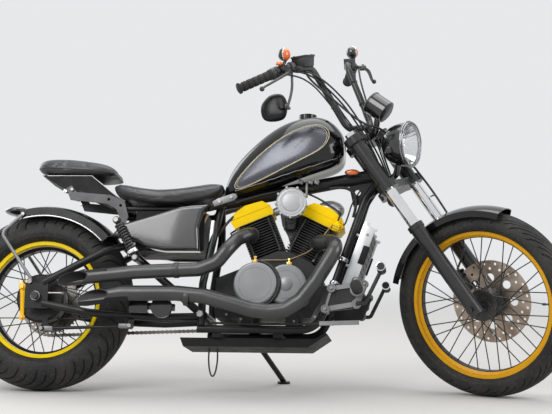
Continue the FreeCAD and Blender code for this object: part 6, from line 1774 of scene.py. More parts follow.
@dataclass
class Headlamp:
    """A round headlamp: bowl, double chrome ring, hollow reflector with its bulb, and a domed glass."""

    mouth: Vector = at(1352.0, 0.0, 907.0)

    def build(self) -> None:
        """Makes the lamp's parts about its own axis."""
        bowl = Shell(STEERED)
        outer = [(0.0, -104.0), (22.0, -103.0), (42.0, -97.0), (58.0, -84.0), (70.0, -64.0),
                 (77.0, -40.0), (80.0, -18.0), (80.5, -4.0)]
        inner = [(76.5, -4.0), (74.0, -20.0), (66.0, -44.0), (50.0, -66.0), (28.0, -82.0), (0.0, -87.0)]
        bowl.lathe(self.mouth, outer + inner, 72, AHEAD, closed=False)
        base = at(1248.0, 0.0, 775.0)
        bowl.strand([base, base + at(16, 0, 10), self.mouth + at(-58, 0, -106),
                     self.mouth + at(-54, 0, -66)], 12.0, 20)
        for hand in (-1, 1):
            ear = self.mouth + at(-50, hand * 72, -14)
            bowl.lathe(ear, [(0, 0), (13, 0), (13, hand * 8), (10, hand * 11), (0, hand * 11)], 24, LEFT)
        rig.replaces(bowl.piece("headlamp_bowl", LAMP_BLACK, angle=40.0), "headlight")
        rings = Shell(STEERED)
        for radius, side, wire in ((81.0, -2.0, 4.2), (78.0, 4.6, 3.6)):
            ring = [(radius + wire * math.cos(turn), side + wire * math.sin(turn))
                    for turn in np.linspace(0, TURN, 14, endpoint=False)]
            rings.lathe(self.mouth, ring, 96, AHEAD)
        rings.piece("headlamp_rings", RIM_CHROME, angle=60.0)
        self.reflector()
        glass = Shell(STEERED)
        front = [(75.0 * math.cos(turn), 4.0 + 13.5 * math.sin(turn))
                 for turn in np.linspace(0, math.pi / 2, 12)]
        back = [(radius * 0.975, side - 1.6) for radius, side in reversed(front)]
        glass.lathe(self.mouth, front + back, 72, AHEAD)
        lens = glass.piece("headlamp_glass", LAMP_GLASS, angle=40.0)
        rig.replaces(lens, "headlight_lens")

    def reflector(self) -> None:
        """Makes the faceted reflector and the bulb with its shield."""
        dish = Shell(STEERED)
        rows = []
        for step in range(9):
            share = step / 8
            radius = 74.0 * (1 - share) + 12.0 * share
            side = -6.0 - 62.0 * math.sin(share * math.pi / 2)
            ring = []
            for index in range(72):
                angle = TURN * index / 72
                ripple = 1.0 + 0.012 * math.cos(angle * 18) * (1 - share)
                ring.append(tuple(self.mouth + at(side, radius * ripple * math.cos(angle),
                                                       radius * ripple * math.sin(angle))))
            rows.append(ring)
        dish.grid(np.array(rows), False)
        dish.piece("headlamp_reflector", REFLECTOR, angle=18.0)
        bulb = Shell(STEERED)
        shield = [(0.0, -26.0), (9.0, -28.0), (12.0, -34.0), (12.0, -46.0), (9.0, -46.0), (9.0, -66.0),
                  (0.0, -66.0)]
        bulb.lathe(self.mouth, shield, 28, AHEAD)
        bulb.piece("headlamp_bulb", CHROME)


@dataclass
class Gauge:
    """The speed gauge: bezel, dial with marks and a needle."""

    centre: Vector = at(1236.0, 0.0, 1046.0)
    axis: Vector = at(-0.829, 0.0, 0.559)
    radius: float = 42.0
    half: float = 35.0

    def build(self) -> None:
        """Makes the bezel, the dial's marks and the needle on the face towards the rider."""
        face = self.centre + self.axis * self.half
        bezel = Shell(STEERED)
        profile = [(self.radius - 6, 0.3), (self.radius + 1.2, -5.0), (self.radius + 1.8, 0.0),
                   (self.radius - 1, 3.4), (self.radius - 5, 3.4)]
        bezel.lathe(face, profile, 72, self.axis)
        foot = self.centre - self.axis * self.half
        bezel.lathe(foot, [(self.radius - 4, -0.4), (self.radius - 10, -5.0), (0.0, -5.0), (0.0, -0.4)],
                    60, self.axis)
        bezel.piece("gauge_bezel", FORK_BLACK, angle=50.0)
        marks = Fasteners("gauge_marks", STEERED, DIAL_WHITE)
        place = facing(face + self.axis * 0.4, self.axis)
        marks.add(Repeat(Layout.RING, Fitting.BLOCK, 24, 30.0, (5.0, 1.0, 0.5)), place)
        marks.add(Repeat(Layout.RING, Fitting.BLOCK, 12, 28.5, (8.0, 1.8, 0.6)), place)
        marks.add(Repeat(Layout.RING, Fitting.BLOCK, 72, 33.5, (2.4, 0.5, 0.4)), place)
        marks.piece()
        needle = Shell(STEERED)
        tip = face + self.axis * 2.0
        down = at(0, 0.5, -0.6).normalized()
        needle.tube([tip - down * 8, tip + down * 26], [1.5, 0.5], 8)
        needle.lathe(face, [(0, 0.4), (5.0, 0.4), (5.0, 2.4), (4.0, 3.2), (0, 3.2)], 24, self.axis)
        needle.piece("gauge_needle", AMBER)


@dataclass(frozen=True)
class Line:
    """A control cable or pipe, held at both ends and clipped on the way."""

    points: tuple[Point, ...]
    radius: float


class ControlCables:
    """The cables that run from the bars to the steering head, with their ties and ferrules."""

    lines = (
        Line(((1040, -250, 1196), (1052, -196, 1190), (1082, -138, 1150), (1128, -82, 1075),
              (1166, -52, 1000), (1200, -36, 930), (1240, -30, 840), (1262, -30, 766)), 3.4),
        Line(((1036, -256, 1204), (1056, -204, 1198), (1094, -146, 1162), (1144, -88, 1084),
              (1184, -60, 1004), (1208, -30, 930), (1246, -14, 840), (1266, -12, 766)), 3.4),
        Line(((1016, -296, 1188), (1036, -232, 1182), (1062, -166, 1146), (1090, -128, 1090),
              (1126, -96, 1020), (1176, -52, 940), (1236, -42, 840), (1260, -40, 766)), 3.0),
        Line(((1060, -170, 1196), (1078, -138, 1168), (1100, -112, 1110), (1124, -92, 1050),
              (1150, -62, 990), (1196, -40, 925), (1236, -20, 840), (1262, -20, 766)), 2.8),
        Line(((1044, 232, 1200), (1066, 190, 1192), (1096, 140, 1144), (1136, 100, 1070),
              (1172, 62, 990), (1206, 34, 930), (1240, 24, 840), (1264, 22, 766)), 3.4),
        Line(((1020, 250, 1196), (1044, 196, 1176), (1074, 146, 1120), (1110, 108, 1044),
              (1150, 74, 980), (1196, 40, 925), (1236, 14, 840), (1262, 12, 766)), 3.0),
    )

    def build(self) -> None:
        """Makes the cables and the ties that hold them to the bar."""
        black = Shell(STEERED)
        for line in self.lines:
            path = black.strand(line.points, line.radius, 10)
            way = (path[1] - path[0]).normalized()
            black.tube([path[0] - way * 6, path[0] + way * 18], line.radius + 1.8, 12)
        black.piece("control_cables", HOSE_RUBBER, angle=60.0)
        ties = Fasteners("cable_ties", STEERED, BOLT_BLACK)
        for hand in (-1, 1):
            corners = bar_corners(hand)
            for share in (0.35, 0.7):
                spot = corners[0].lerp(corners[1], share)
                way = (corners[1] - corners[0]).normalized()
                ties.add(Repeat(Layout.ROW, Fitting.HOOP, 3, 2.6, (12.6, 1.4, 0.0), sides=28),
                         facing(spot, way))
        ties.piece()


class BrakeHose:
    """The front brake hose, from the hand cylinder down the left slider to the caliper."""

    start = ((1051, -194, 1199.5), (1051, -194, 1175.5), (1120.6, -137, 1091), (1205, -75.6, 989),
             (1242.8, 0, 972.6), (1261.5, 75.6, 900))
    fork = ((548, 95, 103), (440, 103, 103), (245, 88, 98), (224, 76, 90), (194, 66, 67))
    end = (160.3, 66.0, 14.0)

    def build(self) -> None:
        """Makes the hose as one smooth line with its end fittings and clips."""
        end = fork_point(*self.end)
        points = [Vector(point) for point in self.start]
        points += [fork_point(*place) for place in self.fork]
        points += [end + at(0, 0, 12), end]
        hose = Shell(STEERED)
        path = hose.strand(points, 4.0)
        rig.replaces(hose.piece("front_brake_hose", HOSE_RUBBER, angle=60.0), "brake_hose")
        fittings = Shell(STEERED)
        for first, second in ((path[0], path[3]), (path[-1], path[-4])):
            way = (second - first).normalized()
            fittings.tube([first, first + way * 15, first + way * 17], [5.6, 5.6, 4.6], 14)
        clip = fork_point(440.0, 103.0, 96.0)
        fittings.lathe(clip, [(4.1, -3), (6.4, -3), (6.4, 3), (4.1, 3)], 20, FORK_UP)
        fittings.box(clip + at(0, -4, 0) - FORK_AHEAD * 14, FORK_AHEAD * 12, at(0, 8, 0), FORK_UP * 4)
        fittings.piece("brake_hose_fittings", BOLT_STEEL, bevel=0.6)


@dataclass
class DriveChain:
    """The roller chain, link by link round both sprockets, and the rear sprocket's teeth."""

    rear: Vector = at(0.0, 96.0, 326.5)
    front: Vector = at(672.0, 96.0, 284.0)
    rear_radius: float = 114.5
    front_radius: float = 44.5
    pitch: float = 15.875

    def line(self) -> list[Vector]:
        """Returns the chain's closed line through its pins."""
        run = self.front - self.rear
        gap = math.hypot(run.x, run.z)
        slope = math.atan2(run.z, run.x)
        lean = math.acos((self.rear_radius - self.front_radius) / gap)
        points = []
        for centre, radius, first, last, steps in (
                (self.rear, self.rear_radius, slope + lean, slope + TURN - lean, 48),
                (self.front, self.front_radius, slope - lean, slope + lean, 24)):
            for angle in np.linspace(first, last, steps):
                points.append(centre + at(math.cos(angle), 0, math.sin(angle)) * radius)
        return points

    def build(self) -> None:
        """Makes the links and the teeth."""
        path = self.line()
        length = sum((b - a).length for a, b in zip(path, path[1:] + path[:1]))
        count = 2 * round(length / self.pitch / 2)
        links = Fasteners("chain_links", CHASSIS, CHAIN_STEEL)
        for side, radius, width in ((0.0, 5.0, 6.2), (4.0, 6.6, 1.6), (-4.0, 6.6, 1.6), (5.4, 2.6, 1.2),
                                    (-5.4, 2.6, 1.2)):
            pin = Repeat(Layout.PATH, Fitting.PIN, 2 * count, 0.0, (radius, radius, width), sides=12,
                         every=2)
            links.add(pin, Matrix.Translation((0, side, 0)), path, closed=True)
        for start, side in ((1, 3.4), (3, 4.9)):
            for hand in (-1, 1):
                waist = Repeat(Layout.PATH, Fitting.BLOCK, 2 * count, 0.0, (self.pitch, 1.5, 9.4),
                               lift=-4.7, every=4, start=start)
                links.add(waist, Matrix.Translation((0, hand * side, 0)), path, closed=True)
        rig.replaces(links.piece(), "chain")
        teeth = Fasteners("rear_sprocket_teeth", REAR_WHEEL, CHAIN_STEEL)
        ring = Repeat(Layout.RING, Fitting.BLOCK, 44, 104.5, (9.0, 6.4, 4.6), lift=-2.3)
        teeth.add(ring, facing(self.rear, LEFT, AHEAD))
        teeth.hexagons(at(0, 100.6, 326.5), LEFT, 7.0, 5.0, ring=64.0, count=6)
        teeth.piece()


# Engine and frame details

def bank_point(bank: float, along: float, across: float, side: float) -> Vector:
    """Returns a point measured up a cylinder's axis from the crankshaft.

    Args:
        bank: how far in degrees the cylinder leans ahead.
        along: distance up its axis.
        across: distance ahead of its axis.
        side: distance to the machine's left.
    """
    turn = math.radians(bank)
    axis = at(math.sin(turn), 0, math.cos(turn))
    return at(881.0, side, 354.0) + axis * along + at(axis.z, 0, -axis.x) * across


REAR_BANK = -22.0
FRONT_BANK = 26.0


class Engine:
    """The engine's dressing: the covers' trim, studs, plug caps, leads, air cleaner and small parts."""

    def build(self) -> None:
        """Makes every detail of the engine."""
        self.covers()
        self.heads()
        self.leads()
        self.air_cleaner()
        self.small_parts()

    def covers(self) -> None:
        """Makes the bolts, seals and raised rings of the round covers, and a dark crescent of painted shade beside
        one.
        """
        black = Shell(CHASSIS)
        grey = Shell(CHASSIS)
        bolts = Fasteners("cover_bolts", CHASSIS, BOLT_STEEL)
        clutch = at(794.0, -170.3, 373.0)
        timing = at(901.0, -154.3, 374.0)
        seal = [(77.6, 60.0), (82.0, 60.0), (82.0, 46.0), (77.2, 46.0)]
        black.lathe(clutch, [(radius, -side) for radius, side in seal], 96, RIGHT)
        black.lathe(clutch, [(77.2, -20.0), (79.5, -20.0), (79.5, -24.0), (77.2, -24.0)], 96, RIGHT)
        for place, radius in ((clutch, 58.0), (timing, 50.0)):
            ring = [(radius - 2.2, -0.4), (radius - 1.4, 0.9), (radius + 1.4, 0.9), (radius + 2.2, -0.4)]
            grey.lathe(place, ring, 96, RIGHT)
        grey.lathe(timing, [(0.0, -0.4), (0.0, 1.2), (24.0, 1.2), (25.5, -0.4)], 64, RIGHT)
        # A dark crescent along the clutch cover's front edge, thickest in the middle: painted shade.
        turns = [math.radians(angle) for angle in range(-72, 88, 5)]
        crescent = [clutch - RIGHT * 13.0 + at(math.cos(turn), 0, math.sin(turn)) * 83.0 for turn in turns]
        black.tube(crescent, [2.0 + 5.0 * math.cos((turn - 0.14) * 0.78) for turn in turns], 14)
        left = at(881.0, 166.3, 354.0)
        grey.lathe(left, [(55.8, -0.4), (56.6, 1.0), (59.4, 1.0), (60.2, -0.4)], 96, LEFT)
        bolts.hexagons(left + LEFT * 1.6, LEFT, 4.8, 4.0, ring=71.0, count=8)
        for hand in (-1, 1):
            for along, height in ((690, 268), (742, 252), (846, 244), (930, 246), (1004, 262)):
                bolts.hexagons(at(along, hand * 126.6, height), LEFT * hand, 5.0, 5.0)
        black.piece("cover_seals", BOLT_BLACK, angle=40.0)
        grey.piece("cover_rings", COVER_GREY, angle=50.0)
        bolts.piece()

    def heads(self) -> None:
        """Makes the long studs beside the cylinders and the ring of studs at each exhaust port."""
        bolts = Fasteners("head_bolts", CHASSIS, BOLT_BLACK)
        for bank, flip in ((REAR_BANK, -1), (FRONT_BANK, 1)):
            turn = math.radians(bank)
            axis = at(math.sin(turn), 0, math.cos(turn))
            for across in (-48, 48):
                for hand in (-1, 1):
                    foot = bank_point(bank, 148.0, across, hand * 70.0)
                    bolts.hexagons(foot, axis, 7.0, 9.0)
                    stud = Repeat(Layout.ROW, Fitting.CONE, 1, 0.0, (4.2, 4.2, 120.0), sides=12, lift=8.0)
                    bolts.add(stud, facing(foot, axis))
            port = bank_point(bank, 285.0 * (0.83 if flip < 0 else 0.75), -31.5 if flip < 0 else 34.6,
                              -72.0)
            collar = Repeat(Layout.RING, Fitting.CONE, 36, 27.5, (3.0, 3.0, 6.0), sides=6)
            bolts.add(collar, facing(port, RIGHT))
        bolts.piece()

    def leads(self) -> None:
        """Makes the plug caps with their leads, the tan wire and the gold unions."""
        cap = Shell(CHASSIS)
        ribs = Fasteners("plug_cap_rings", CHASSIS, GOLD)
        lead = Shell(CHASSIS)
        for place, way, reach in ((at(1068.0, -66.0, 594.0), at(0.30, -0.2, 0.93), 1.0),
                                  (at(690.0, 58.0, 560.0), at(-0.5, 0.4, 0.76), 0.8)):
            way = way.normalized()
            profile = [(0, -14), (15, -14), (17, -11), (17, 11), (14, 15), (8, 18), (8, 24), (0, 24)]
            cap.lathe(place, [(radius * reach, side * reach) for radius, side in profile], 28, way)
            ribs.add(Repeat(Layout.ROW, Fitting.HOOP, 2, 9.0, (17.0 * reach, 1.6, 0.0), sides=28),
                     facing(place - way * 4.5, way))
            lead.strand([place + way * 20, place + way * 44, place + way * 60 + LEFT * 30,
                         at(960.0, -20.0, 735.0), at(900.0, 0.0, 742.0)], 3.6)
        cap.piece("plug_caps", ROCKER_YELLOW)
        ribs.piece()
        lead.piece("plug_leads", HOSE_RUBBER, angle=60.0)
        tan = Shell(CHASSIS)
        tan.strand(((1064, -70, 612), (1052, -80, 596), (1030, -86, 566), (1004, -90, 528), (976, -94, 500),
                    (940, -100, 483), (903, -110, 466), (846, -116, 466), (790, -118, 464)), 2.0, 10)
        tan.piece("sensor_wire", WIRE_TAN, angle=60.0)
        gold = Shell(CHASSIS)
        bolts = Fasteners("gold_bolts", CHASSIS, GOLD)
        for spot in (at(784.0, -112.0, 462.0), at(907.0, -112.0, 454.0)):
            gold.box(spot + at(-9, 4, -10), at(18, 0, 0), at(0, 10, 0), at(0, 0, 16))
            gold.tube([spot + at(0, 6, -14), spot + at(0, 6, 10)], [7.0, 6.0], 14)
            bolts.hexagons(spot + at(0, 2, -2), RIGHT, 6.4, 6.0)
            bolts.hexagons(spot + at(0, 6, 12), UP, 6.4, 6.0)
        gold.piece("gold_fittings", GOLD, bevel=1.0)
        bolts.piece()

    def air_cleaner(self) -> None:
        """Makes the air cleaner's face, rim bolts and back plate, and the bright cover behind it."""
        centre = at(912.0, -134.0, 672.0)
        face = Shell(CHASSIS)
        edge = [(40.0, -0.4), (41.0, 1.2), (44.0, 1.6), (46.0, 0.6), (49.0, 0.6), (51.5, 2.0),
                (53.6, 0.8), (54.4, -3.0), (53.0, -7.0)]
        face.lathe(centre, edge, 96, RIGHT)
        face.lathe(centre, [(0.0, -0.4), (0.0, 2.6), (30.0, 2.2), (34.0, 1.0), (35.0, -0.4)], 80, RIGHT)
        face.piece("air_cleaner_face", AIR_GREY, angle=50.0)
        dome = Shell(CHASSIS)
        dome.ellipsoid(at(1040.0, 12.0, 670.0), at(53.0, 40.0, 37.0), 40)
        dome.piece("ignition_cover", BARE_ALLOY, angle=50.0)
        bolts = Fasteners("air_cleaner_bolts", CHASSIS, BOLT_STEEL)
        rim = Repeat(Layout.RING, Fitting.CONE, 9, 55.5, (3.8, 3.4, 14.0), sides=12, lift=-11.0)
        bolts.add(rim, facing(centre, RIGHT, at(0.4, 0, 1)))
        heads = Repeat(Layout.RING, Fitting.CONE, 9, 55.5, (5.2, 4.8, 4.0), sides=6, lift=1.0)
        bolts.add(heads, facing(centre, RIGHT, at(0.4, 0, 1)))
        bolts.piece()
        back = Shell(CHASSIS)
        back.lathe(centre, [(46.0, -37.0), (50.0, -39.0), (50.0, -46.0), (30.0, -58.0), (27.0, -58.0),
                            (27.0, -37.0)], 72, RIGHT)
        back.piece("air_cleaner_back", ENGINE_BLACK, angle=40.0)

    def small_parts(self) -> None:
        """Makes the breather hoses, the carburettor and clips in the vee, and the drain hose."""
        black = Shell(CHASSIS)
        grey = Shell(CHASSIS)
        for points, radius in (
                (((1040, -30, 744), (1075, -30, 749), (1110, -30, 744), (1134, -28, 722),
                  (1138, -22, 680), (1126, -16, 640)), 5.5),
                (((700, -34, 690), (760, -40, 712), (840, -42, 728), (900, -36, 744), (980, -30, 742)), 4.5),
                (((640, -60, 560), (664, -66, 600), (700, -52, 640), (720, -38, 676)), 5.0),
                (((1066, -52, 585), (1096, -44, 600), (1108, -30, 640), (1124, -20, 700), (1150, -10, 740)),
                 3.0)):
            black.strand(points, radius)
        carb = at(905.0, -36.0, 618.0)
        black.lathe(carb, [(0, -30), (22, -30), (24, -26), (24, 18), (16, 24), (0, 24)], 32, UP)
        black.lathe(carb + at(0, -30, 6), [(0, -8), (15, -8), (17, -5), (17, 8), (0, 12)], 28, RIGHT)
        body = [at(along, -30, height) for along, height in (
            (862, 648), (950, 648), (946, 606), (926, 566), (908, 512), (892, 566), (870, 606))]
        black.prism(body, at(0, 60, 0))
        for along, height, radius in ((886, 596, 11), (926, 592, 9), (906, 560, 9), (900, 630, 8)):
            black.lathe(at(along, -30, height), [(0, -2), (radius, -2), (radius, 8), (0, 10)], 24, RIGHT)
        black.piece("breather_hoses", HOSE_RUBBER, angle=50.0)
        drain = Shell(CHASSIS)
        drain.strand(((612, 0, 156.7), (609, 0, 118.3), (619.5, 0, 60.7), (634.5, 0, 60.7),
                      (645, 0, 118.3), (642, 0, 156.7)), 3.0)
        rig.replaces(drain.piece("drain_hose_loop", HOSE_RUBBER, angle=60.0), "drain_hose")
        for along in (926.0, 962.0, 984.0):
            grey.box(at(along, -50, 760), at(16, 0, -5), at(0, 20, 0), at(4, 0, 15))
        grey.box(at(954, -46, 706), at(8, 0, 0), at(0, 3, 0), at(0, 0, 58))
        grey.piece("cable_clips", GREY_ALLOY, bevel=1.2)


@dataclass
class Cooler:
    """The radiator's fins, cap, bright side plates with black blocks of painted shade in their notches, lower hose and
    bolts.
    """

    slope: float = math.atan2(0.345, 1.0)
    low_tube: Vector = at(1010.0 + 118 * 0.475, 0.0, 217.0 + 118 * 1.38)
    tube_room: float = 34.0

    def directions(self) -> tuple[Vector, Vector]:
        """Returns the ways ahead and up of the sloping core."""
        cosine, sine = math.cos(self.slope), math.sin(self.slope)
        return at(cosine, 0, -sine), at(sine, 0, cosine)

    def place(self, along: float, side: float, up: float) -> Vector:
        """Returns a point ahead of the core's back, aside and up its slope."""
        ahead, rise = self.directions()
        return self.low_tube + ahead * self.tube_room + ahead * along + LEFT * side + rise * up

    def build(self) -> None:
        """Makes the radiator's details."""
        ahead, rise = self.directions()
        fins = Fasteners("radiator_fins", CHASSIS, CORE_FINS)
        for side in np.linspace(-86.0, 86.0, 13):
            strip = Repeat(Layout.ROW, Fitting.BLOCK, 44, 5.0, (1.6, 12.0, 1.0))
            fins.add(strip, facing(self.place(34.8, side, 6.0), rise, ahead))
        rows = Repeat(Layout.ROW, Fitting.BLOCK, 10, 22.0, (3.0, 186.0, 2.4))
        fins.add(rows, facing(self.place(35.0, 0.0, 14.0), rise, ahead))
        fins.piece()
        plate = Shell(CHASSIS)
        for hand in (-1, 1):
            outline = [(-6, -2), (40, -2), (40, 96), (30, 96), (30, 168), (40, 168), (40, 224), (48, 226),
                       (48, 236), (20, 236), (14, 250), (-2, 250), (-6, 236)]
            corners = [self.place(a, hand * 118.4, b) for a, b in outline]
            plate.prism(corners, LEFT * (hand * 2.2))
        plate.piece("radiator_side_plates", BARE_ALLOY, bevel=0.5)
        # Black blocks filling the side plates' notches: painted shade where the openings look dark.
        notch = Shell(CHASSIS)
        for hand in (-1, 1):
            corners = [self.place(a, hand * 118.2, b) for a, b in ((20, 98), (44, 98), (44, 166), (20, 166))]
            notch.prism(corners, LEFT * (hand * 3.4))
        notch.piece("radiator_side_vents", TRAY_PLASTIC, bevel=0.6)
        hose = Shell(CHASSIS)
        hose.strand([self.place(14, 70, -4), self.place(10, 70, -30), self.place(-40, 60, -52),
                     self.place(-86, 50, -30)], 13.0, 18)
        hose.lathe(self.place(17, 64, 236), [(0, -4), (17, -4), (17, 3), (15, 6), (0, 6)], 28, rise)
        hose.piece("radiator_hoses", HOSE_RUBBER, angle=50.0)
        bolts = Fasteners("radiator_bolts", CHASSIS, BOLT_STEEL)
        for hand in (-1, 1):
            for height in (20.0, 206.0):
                bolts.hexagons(self.place(20, hand * 121.6, height), LEFT * hand, 5.0, 4.0)
        bolts.piece()


class FrameDetails:
    """Clamps, bolts, the horn and the amber side lamp on the frame, and the brightwork on its tubes."""

    def build(self) -> None:
        """Makes the frame's details."""
        bright = Shell(CHASSIS)
        tube_low = at(1066.0, -87.3, 379.8)
        tube_high = at(1167.0, -64.0, 690.0)
        way = (tube_high - tube_low).normalized()
        for share in (0.02, 0.30):
            spot = tube_low.lerp(tube_high, share)
            bright.lathe(spot, [(14.3, -7), (17.5, -7), (18.0, -5), (18.0, 5), (17.5, 7), (14.3, 7)], 32, way)
            bright.box(spot + at(-6, -26, -5), at(12, 0, 0), at(0, 12, 0), at(0, 0, 10))
        bright.piece("cradle_clamps", CHROME, bevel=0.6)
        plates = Shell(CHASSIS)
        for hand in (-1, 1):
            corners = [at(along, hand * 88.0, height) for along, height in (
                (628, 664), (700, 688), (712, 700), (706, 712), (694, 712), (640, 694), (620, 682))]
            plates.prism(corners, LEFT * (hand * 6.0))
        plates.piece("cover_clamp_plates", GREY_ALLOY, bevel=1.4)
        bolts = Fasteners("frame_bolts", CHASSIS, BOLT_STEEL)
        for hand in (-1, 1):
            for along, height in ((648, 682), (690, 698)):
                bolts.hexagons(at(along, hand * 96.4, height), LEFT * hand, 6.4, 5.0)
            bolts.hexagons(at(600.0, hand * 154.4, 266.0), LEFT * hand, 13.0, 8.0)
        bolts.piece()
        strap = Shell(CHASSIS)
        strap.box(at(612, -99, 512), at(12, 0, 0), at(0, 14, 0), at(8, 0, 100))
        strap.piece("battery_strap", BARE_ALLOY, bevel=1.0)
        tan = Shell(CHASSIS)
        tan.strand(((606, -88, 636), (598, -92, 618), (586, -94, 590), (582, -92, 560)), 5.0)
        tan.piece("loom_sleeve", WIRE_TAN, angle=50.0)
        self.side_lamp()
        self.horn()

    def side_lamp(self) -> None:
        """Makes the amber reflector on each side under the front of the tank, in its black frame."""
        amber = Shell(CHASSIS)
        base = Shell(CHASSIS)
        for hand in (-1, 1):
            spot = at(1122.0, hand * 46.0, 800.0)
            amber.ellipsoid(spot + LEFT * (hand * 4.0), at(23, 5, 9))
            base.ellipsoid(spot, at(27, 6, 12))
            base.tube([spot, at(1122.0, 0.0, 800.0)], 6.0, 12)
        amber.piece("side_reflectors", AMBER)
        base.piece("side_reflector_frames", LAMP_BLACK)

    def horn(self) -> None:
        """The round black horn under the lower clamp."""
        horn = Shell(STEERED)
        centre = at(1282.0, -26.0, 712.0)
        ahead = at(0.97, -0.2, 0).normalized()
        horn.lathe(centre, [(0, -12), (20, -12), (25, -8), (27, -2), (27, 3), (24, 5), (20, 2), (12, 7),
                            (0, 8)], 40, ahead)
        horn.box(centre + at(-16, -8, 0), at(5, 0, 0), at(0, 22, 0), at(-6, 14, 46))
        horn.piece("horn", LAMP_BLACK, bevel=0.5)


# Exhaust, tail, controls and trim

class Exhaust:
    """The clamps and hanger bolts of the exhaust pipes."""

    def build(self) -> None:
        """Makes the clamps and hanger bolts along both pipes."""
        clamps = Shell(CHASSIS)
        bolts = Fasteners("exhaust_bolts", CHASSIS, BOLT_STEEL)
        for spot, way, radius in ((at(520.0, -205.0, 412.0), at(1, 0, 0.02), 25.4),
                                  (at(560.0, -205.0, 316.0), at(1, 0, -0.08), 27.4)):
            way = way.normalized()
            ring = [(radius - 0.6, -9), (radius + 1.6, -9), (radius + 2.2, -7), (radius + 2.2, 7),
                    (radius + 1.6, 9), (radius - 0.6, 9)]
            clamps.lathe(spot, ring, 48, way)
            clamps.box(spot + at(-9, 20, -8), at(18, 0, 0), at(0, 34, 0), at(0, 0, 6))
            bolts.hexagons(spot + at(0, 34, 0), UP, 5.5, 6.0)
        clamps.piece("exhaust_clamps", PIPE_BLACK, bevel=0.5)
        bolts.piece()


class Tail:
    """The tail lamp, painted highlights along the tray's edges, the tray's stubs, the spring with its damper, and the
    bolts.
    """

    def build(self) -> None:
        """Makes the tail's details."""
        self.lamp()
        # Bright alloy lines along the black tray's upper edges: painted highlights.
        bright = Shell(CHASSIS)
        edge = [at(x, -93.2, z) for x, z in ((4, 779), (170, 779), (268, 701), (300, 684))]
        for hand in (1, -1):
            path = [at(point.x, point.y * hand, point.z) for point in edge]
            bright.tube(path, 1.6, 8)
        bright.piece("tray_edges", BARE_ALLOY)
        stub = Shell(CHASSIS)
        for hand in (-1, 1):
            top = at(86.0, hand * 72.0, 766.0)
            way = at(-0.28, 0, -1).normalized()
            stub.lathe(top, [(0, 0), (9, 0), (9, 34), (12.5, 35), (12.5, 48), (9, 50), (0, 50)], 28, way)
        stub.piece("tray_stubs", CHROME)
        bolts = Fasteners("tail_bolts", CHASSIS, BOLT_STEEL)
        for hand in (-1, 1):
            bolts.hexagons(at(104.0, hand * 110.4, 724.0), LEFT * hand, 6.0, 5.0)
            bolts.hexagons(at(-26.0, hand * 141.0, 380.0), LEFT * hand, 10.0, 6.0)
            bolts.hexagons(at(-77.0, hand * 104.0, 634.6), LEFT * hand, 7.0, 5.0)
        bolts.hexagons(at(140.0, -110.4, 668.0), RIGHT, 6.0, 5.0)
        bolts.hexagons(at(290.0, -187.0, 597.0), RIGHT, 10.0, 6.0)
        bolts.hexagons(at(364.0, -187.0, 461.0), RIGHT, 10.0, 6.0)
        bolts.piece()
        clamp = Shell(CHASSIS)
        foot = at(364.0, -169.0, 461.0)
        head = at(290.0, -169.0, 597.0)
        way = (head - foot).normalized()
        self.spring(foot, head)
        clamp.lathe(foot + way * 26, [(17.3, -6), (21, -6), (22, -4), (22, 4), (21, 6), (17.3, 6)], 32, way)
        clamp.piece("spring_seat", CHROME)
        self.fender_edge()

    def spring(self, foot: Vector, head: Vector) -> None:
        """The damper with its eyes and the coils of its spring."""
        way = (head - foot).normalized()
        length = (head - foot).length
        side = way.cross(LEFT).normalized()
        damper = Shell(CHASSIS)
        damper.tube([foot, foot + way * (length * 0.62)], 9.5, 24)
        damper.tube([foot + way * (length * 0.6), head], 6.0, 20)
        for spot, along in ((foot, 20.0), (head, length - 20.0)):
            profile = [(5, -15), (12.5, -15), (13.5, -13), (13.5, 13), (12.5, 15), (5, 15)]
            damper.lathe(spot, profile, 32, LEFT)
            damper.lathe(foot + way * along, [(0, -4), (16.0, -4), (17.4, -2), (17.4, 2), (16.0, 4), (0, 4)],
                         32, way)
        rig.replaces(damper.piece("spring_damper", FORK_BLACK), "spring_strut")
        coil = Shell(CHASSIS)
        turns, steps = 10, 28
        line = []
        for index in range(turns * steps + 1):
            angle = TURN * index / steps
            rise = 24.0 + (length - 48.0) * index / (turns * steps)
            line.append(foot + way * rise + (LEFT * math.cos(angle) + side * math.sin(angle)) * 14.6)
        coil.tube(line, 2.9, 8)
        coil.piece("spring_coils", SPRING_GREY, angle=70.0)

    def lamp(self) -> None:
        """The dark tail lamp: a black housing with a deep red lens behind."""
        shell = Shell(CHASSIS)
        shell.ellipsoid(at(-128.0, 0.0, 662.0), at(46.0, 50.0, 17.0), 40)
        shell.box(at(-130, -24, 640), at(48, 0, 0), at(0, 48, 0), at(0, 0, 14))
        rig.replaces(shell.piece("tail_lamp_housing", LAMP_BLACK), "tail_lamp")
        lens = Shell(CHASSIS)
        lens.ellipsoid(at(-133.0, 0.0, 661.0), at(42.6, 44.0, 12.0), 40)
        lens.piece("tail_lamp_lens", LAMP_RED)

    def fender_edge(self) -> None:
        """The bright rolled edge along the rear fender's foot."""
        edge = Shell(CHASSIS)
        for hand in (-1, 1):
            path = []
            for angle in np.linspace(44, 105, 40):
                turn = math.radians(angle)
                path.append(REAR_HUB + at(math.cos(turn), 0, math.sin(turn)) * 303.0 + LEFT * (hand * 96.4))
            edge.tube(path, 2.6, 8)
        edge.piece("fender_edge_line", BARE_ALLOY)


